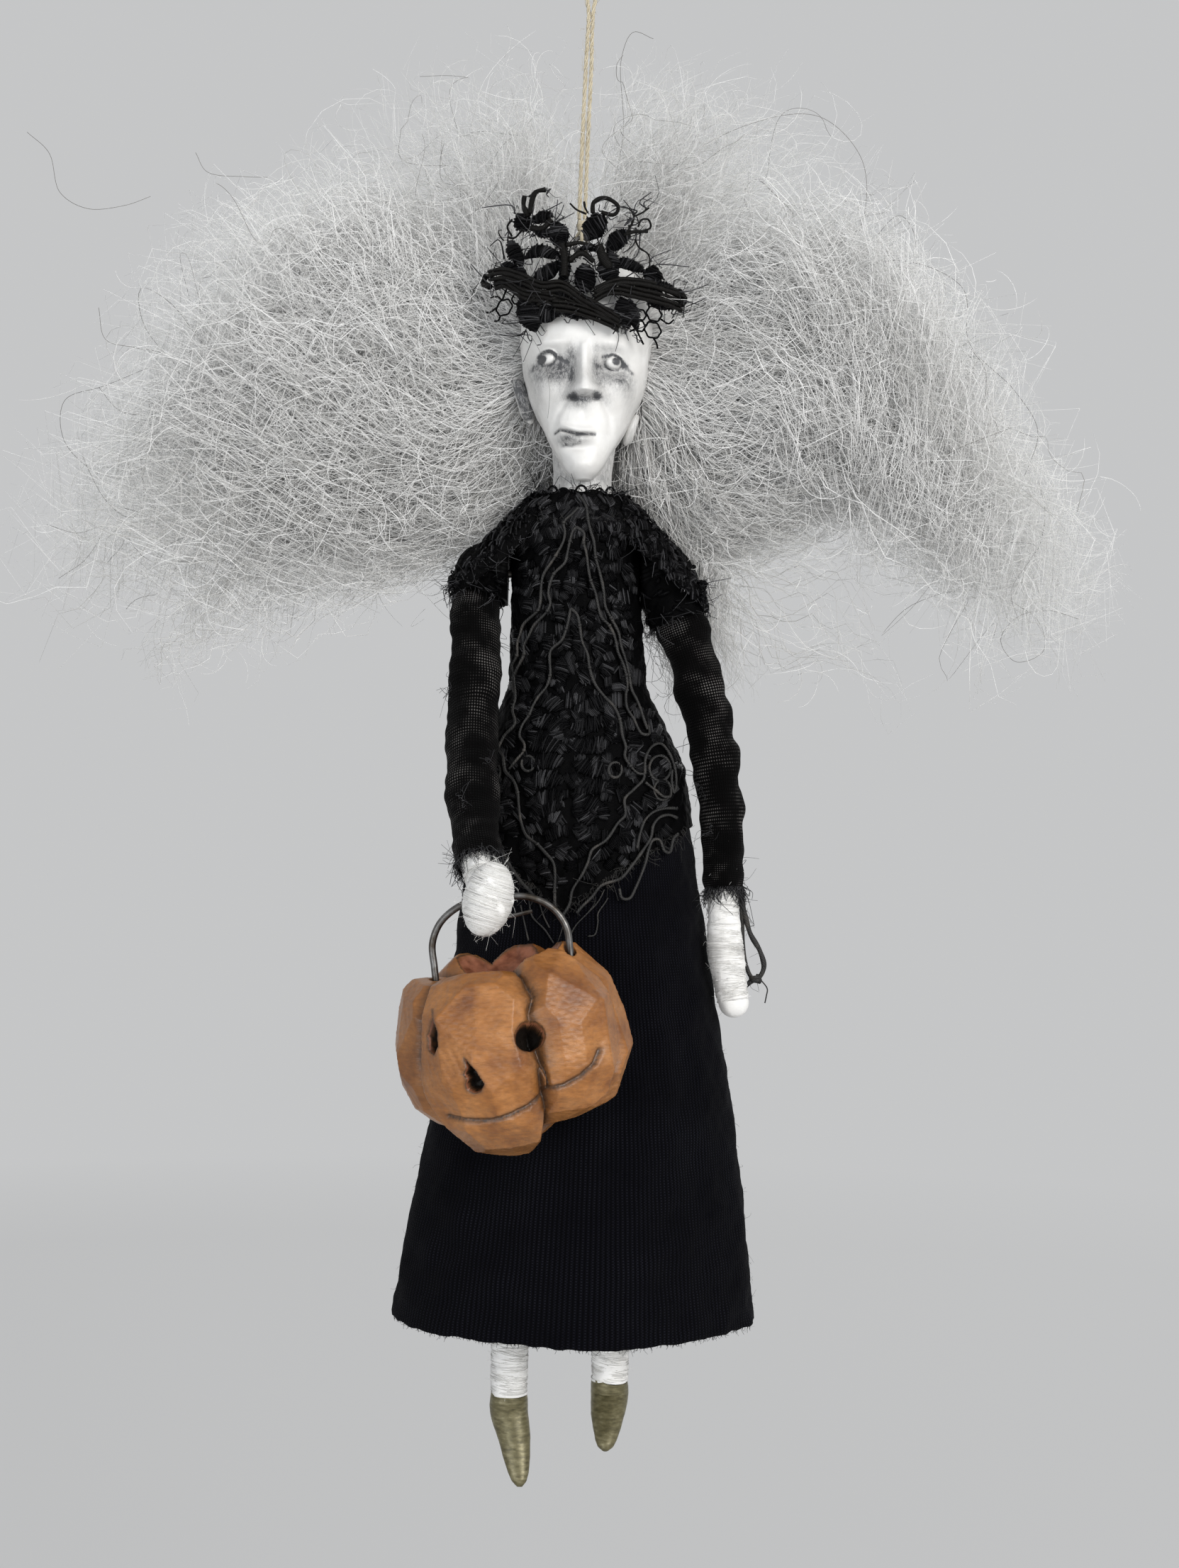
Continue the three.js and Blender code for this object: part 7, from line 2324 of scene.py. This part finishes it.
def side_hair(side, name, node, seed):
    paths, tone = fan(side, 2900, 22, seed)
    lay(name + "_strands", paths, tone, 0.052, node, seed, 1250)
    loose, loose_tone = frizz(paths, 8500, seed + 3)
    lay(name + "_frizz", loose, loose_tone, 0.046, node, seed + 4, 3300)
    outer, outer_tone = fan(side, 650, 22, seed + 5, 1.15)
    lay(name + "_wisps", outer, np.clip(outer_tone + 0.4, 0, 1), 0.06, node, seed + 6)
    under = [lock(points, count, 18, seed + 20 + 3 * i) for i, (points, count) in enumerate(LOCKS[side])]
    paths, tone = (np.concatenate([u[i] for u in under]) for i in (0, 1))
    lay(name + "_locks", paths, tone, 0.042, node, seed + 7, 1700)
    loose, loose_tone = frizz(paths, 1900, seed + 8, size=(0.9, 3.6))
    # Their curls a little darker too: painted shade.
    lay(name + "_lock_frizz", loose, loose_tone * 0.9, 0.044, node, seed + 9, 3300)


def rising(count, k, seed):
    """Thin hair that rises behind the crown and opens to both sides."""
    rng = np.random.default_rng(seed)
    share = rng.normal(size=count) * 0.55
    share = np.clip(share + np.sign(share) * 0.25, -1.35, 1.35)
    root_x = 7.5 * np.clip(share, -1, 1) + rng.normal(size=count)
    root_y = 7.5 + 2.2 * rng.uniform(-1, 1, count)
    root = np.stack([root_x, root_y, -45.5 - 3.5 * np.abs(share) + rng.normal(size=count)], 1)
    longest = np.interp(np.abs(share), [0, 0.5, 1, 1.35], [27, 33, 38, 40])
    length = rng.uniform(0.45, 1.08, count) * longest
    lean = share * 1.0 + rng.normal(size=count) * 0.12
    s = np.linspace(0, 1, k)[None]
    turn = lean[:, None] * (0.55 + 0.5 * s)
    step = length[:, None] / (k - 1)
    x = root[:, :1] + np.cumsum(np.sin(turn) * step, 1)
    z = root[:, 2:] + np.cumsum(np.cos(turn) * step, 1) - 2.5 * s**2 * np.abs(lean)[:, None]
    y = root[:, 1:2] + rng.normal(size=(count, 1)) * 3.5 * s - 1.5 * s
    group = rng.integers(0, 90, count)
    paths = np.stack([x, y, z], -1)
    paths = curled(paths, seed + 1, group, [(20, 0.5, 3.2), (10, 0.3, 1.6), (6, 0.15, 0.8)])
    return paths, np.clip(0.72 + rng.normal(size=count) * 0.2, 0.1, 1)


# The back hair at each level: z, the middle's x and y, and half its width and depth.
BACK_ROWS = [
    (-40, 0.4, 9.6, 5, 4), (-46.3, 0.4, 10, 9.5, 6), (-55, 0.5, 10.5, 10, 7),
    (-65.6, 0.8, 11.0, 10.5, 6), (-75.2, 1.5, 11.5, 11.5, 4.5), (-84, 3.0, 12, 12, 3.6),
    (-93, 8, 11.5, 9, 3.0), (-101, 13, 10.5, 5, 2.4), (-107, 16, 10, 4, 2.4),
]


def back_hair():
    rng = np.random.default_rng(221)
    count, k = 1500, 20
    rows = np.array(BACK_ROWS)[::-1]
    angle, reach = rng.uniform(0, TAU, count), np.sqrt(rng.uniform(0, 1, count))
    a, b = reach * np.cos(angle), reach * np.sin(angle)
    top = rng.uniform(-62, -41, count)
    bottom = np.where(a > 0.35, rng.uniform(-104, -78, count), rng.uniform(-88, -70, count))
    s = np.linspace(0, 1, k)[None]
    z = top[:, None] + (bottom - top)[:, None] * s
    at = [np.interp(z, rows[:, 0], rows[:, i]) for i in range(1, 5)]
    paths = np.stack([at[0] + a[:, None] * at[2], at[1] + b[:, None] * at[3], z], -1)
    inner = rng.integers(0, 60, count)
    paths = curled(paths, 222, inner, [(24, 0.2, 1.6), (11, 0.1, 0.7), (7, 0.08, 0.3)], 1.3)
    behind_head = np.where(paths[..., 2] > -79, 4.4, 8.6)
    paths[..., 1] = np.maximum(paths[..., 1], behind_head - 6 * smooth(np.abs(paths[..., 0]), 9, 13))
    # Back hair is painted darker grey than the fans: painted shade behind the head.
    tone = np.clip(0.3 + rng.normal(size=count) * 0.2, 0, 1)
    lay("back_hair_strands", paths, tone, 0.045, "hair_back", 223, 1600)
    loose, loose_tone = frizz(paths, 1200, 224, size=(1.2, 4))
    loose[..., 1] = np.maximum(loose[..., 1], 8.5 - 6 * smooth(np.abs(loose[..., 0]), 9, 13))
    # Its curls darker still: painted shade.
    lay("back_hair_frizz", loose, loose_tone * 0.7, 0.036, "hair_back", 225, 1600)
    up, up_tone = rising(1250, 17, 226)
    lay("rising_hair_strands", up, up_tone, 0.037, "hair_back", 227, 1600)
    loose, loose_tone = frizz(up, 2600, 228, drift=1.6, late=0.6)
    lay("rising_hair_frizz", loose, loose_tone, 0.034, "hair_back", 229, 3000)


# Single dark hairs, each as x, y, z points.
DARK_CURLS = [
    [(3.4, 8, -33), (5.0, 7, -23.5), (4.5, 6, -13.0), (6.1, 5, -9.6), (9.0, 5, -10.5)],
    [
        (6, 8, -38), (12, 6, -29), (22.8, 4, -22.8), (32.7, 3, -21.7), (38.8, 3, -27.2), (39.8, 3, -34.0),
        (38.2, 4, -39.4), (34, 5, -43),
    ],
    [(38, 5, -48), (41.5, 4, -38.5), (44.8, 4, -35.3), (47.0, 4, -38.2), (46.5, 5, -42), (42.6, 5, -45)],
    [
        (36, 4, -44), (45, 3, -42), (53.7, 2, -46), (54.8, 2, -53.8), (61.4, 2, -60.4), (64.8, 2, -66),
        (63.6, 3, -71.4), (61.4, 3, -76), (61.4, 3, -80.3), (64.8, 3, -83.4), (66.3, 3, -78),
        (65.2, 3, -72.6),
    ],
    [
        (71.4, 3, -92.5), (67, 3, -91.4), (62.6, 3, -92.5), (60.4, 3, -95.8), (62.6, 3, -98.8),
        (66.5, 3, -97.2), (66, 4, -93), (61, 4, -89.5),
    ],
    [
        (-80, 3, -26.5), (-76.8, 3, -29.4), (-75.1, 3, -35), (-71.2, 3, -37.2), (-65.7, 3, -36.6),
        (-62.4, 4, -35),
    ],
    [
        (-69, 2, -51.5), (-67.9, 2, -56), (-63.5, 2, -57.1), (-59, 2, -58.2), (-56.9, 2, -62.6),
        (-60.2, 3, -66), (-65.7, 3, -66), (-69, 3, -62.6),
    ],
    [
        (-62, 2, -60), (-67.9, 2, -62.6), (-73.5, 2, -64.8), (-73.5, 2, -70.4), (-69, 3, -74.8),
        (-62.4, 3, -76),
    ],
    [(-56.3, 5, -28.3), (-54.6, 5, -31), (-49.1, 5, -31.6), (-45.8, 5, -31.6)],
    [(-75.7, 2, -82.5), (-71.2, 2, -83.6), (-67.9, 3, -82.5), (-70.1, 3, -87), (-74, 3, -90)],
]
# One dark hair that lies across the face.
FACE_HAIR = [
    (-8.9, -6, -53.4), (-7.3, -11.2, -56.6), (-5.9, -12.4, -59.0), (-4.7, -13.0, -62.3),
    (-4.3, -13.2, -65.0), (-4.5, -12.6, -68.3),
]


STRAY_POINTS = 90


def loose_hairs():
    parts = []
    rng = np.random.default_rng(231)
    for line in DARK_CURLS:
        parts.append(tubes(even(line, STRAY_POINTS), 0.036, 4, tone=rng.uniform(0, 0.7)))
    for i in range(46):
        side = rng.choice([-1, 1])
        paths, _ = fan(side, 1, 60, 240 + i, rng.uniform(0.4, 1.1))
        paths = curled(paths, 300 + i, np.zeros(1, int), [(30, 1.0, 4.5), (11, 0.3, 1.3)])
        start = rng.integers(0, 22)
        line = even(paths[0, start:], STRAY_POINTS)
        parts.append(tubes(line, rng.uniform(0.03, 0.05), 3, tone=rng.uniform(0.2, 1)))
    for i in range(16):
        paths, _ = rising(1, 40, 400 + i)
        paths = curled(paths, 450 + i, np.zeros(1, int), [(20, 1.0, 4.0)])
        parts.append(tubes(even(paths[0], 80), rng.uniform(0.03, 0.045), 3, tone=rng.uniform(0.2, 1)))
    build("dark_loose_hairs", parts, DARK_HAIR, "figure", ())
    build("hair_across_face", [tubes(even(FACE_HAIR, 70), 0.028, 3)], DARK_HAIR, "figure", ())


side_hair(-1, "right_hair", "hair_right", 201)
side_hair(1, "left_hair", "hair_left", 211)
back_hair()
loose_hairs()

# Inner parts

INNER_WIRES = [
    "head_eye", "shoulder_wire", "hip_wire", "right_arm_wire", "left_arm_wire",
    "right_leg_wire", "left_leg_wire", "grip_pin",
]
for node in ["neck_peg"] + INNER_WIRES:
    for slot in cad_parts[node].material_slots:
        slot.material = DOWEL if node == "neck_peg" else WIRE

bpy.context.scene.view_settings.view_transform = "Standard"
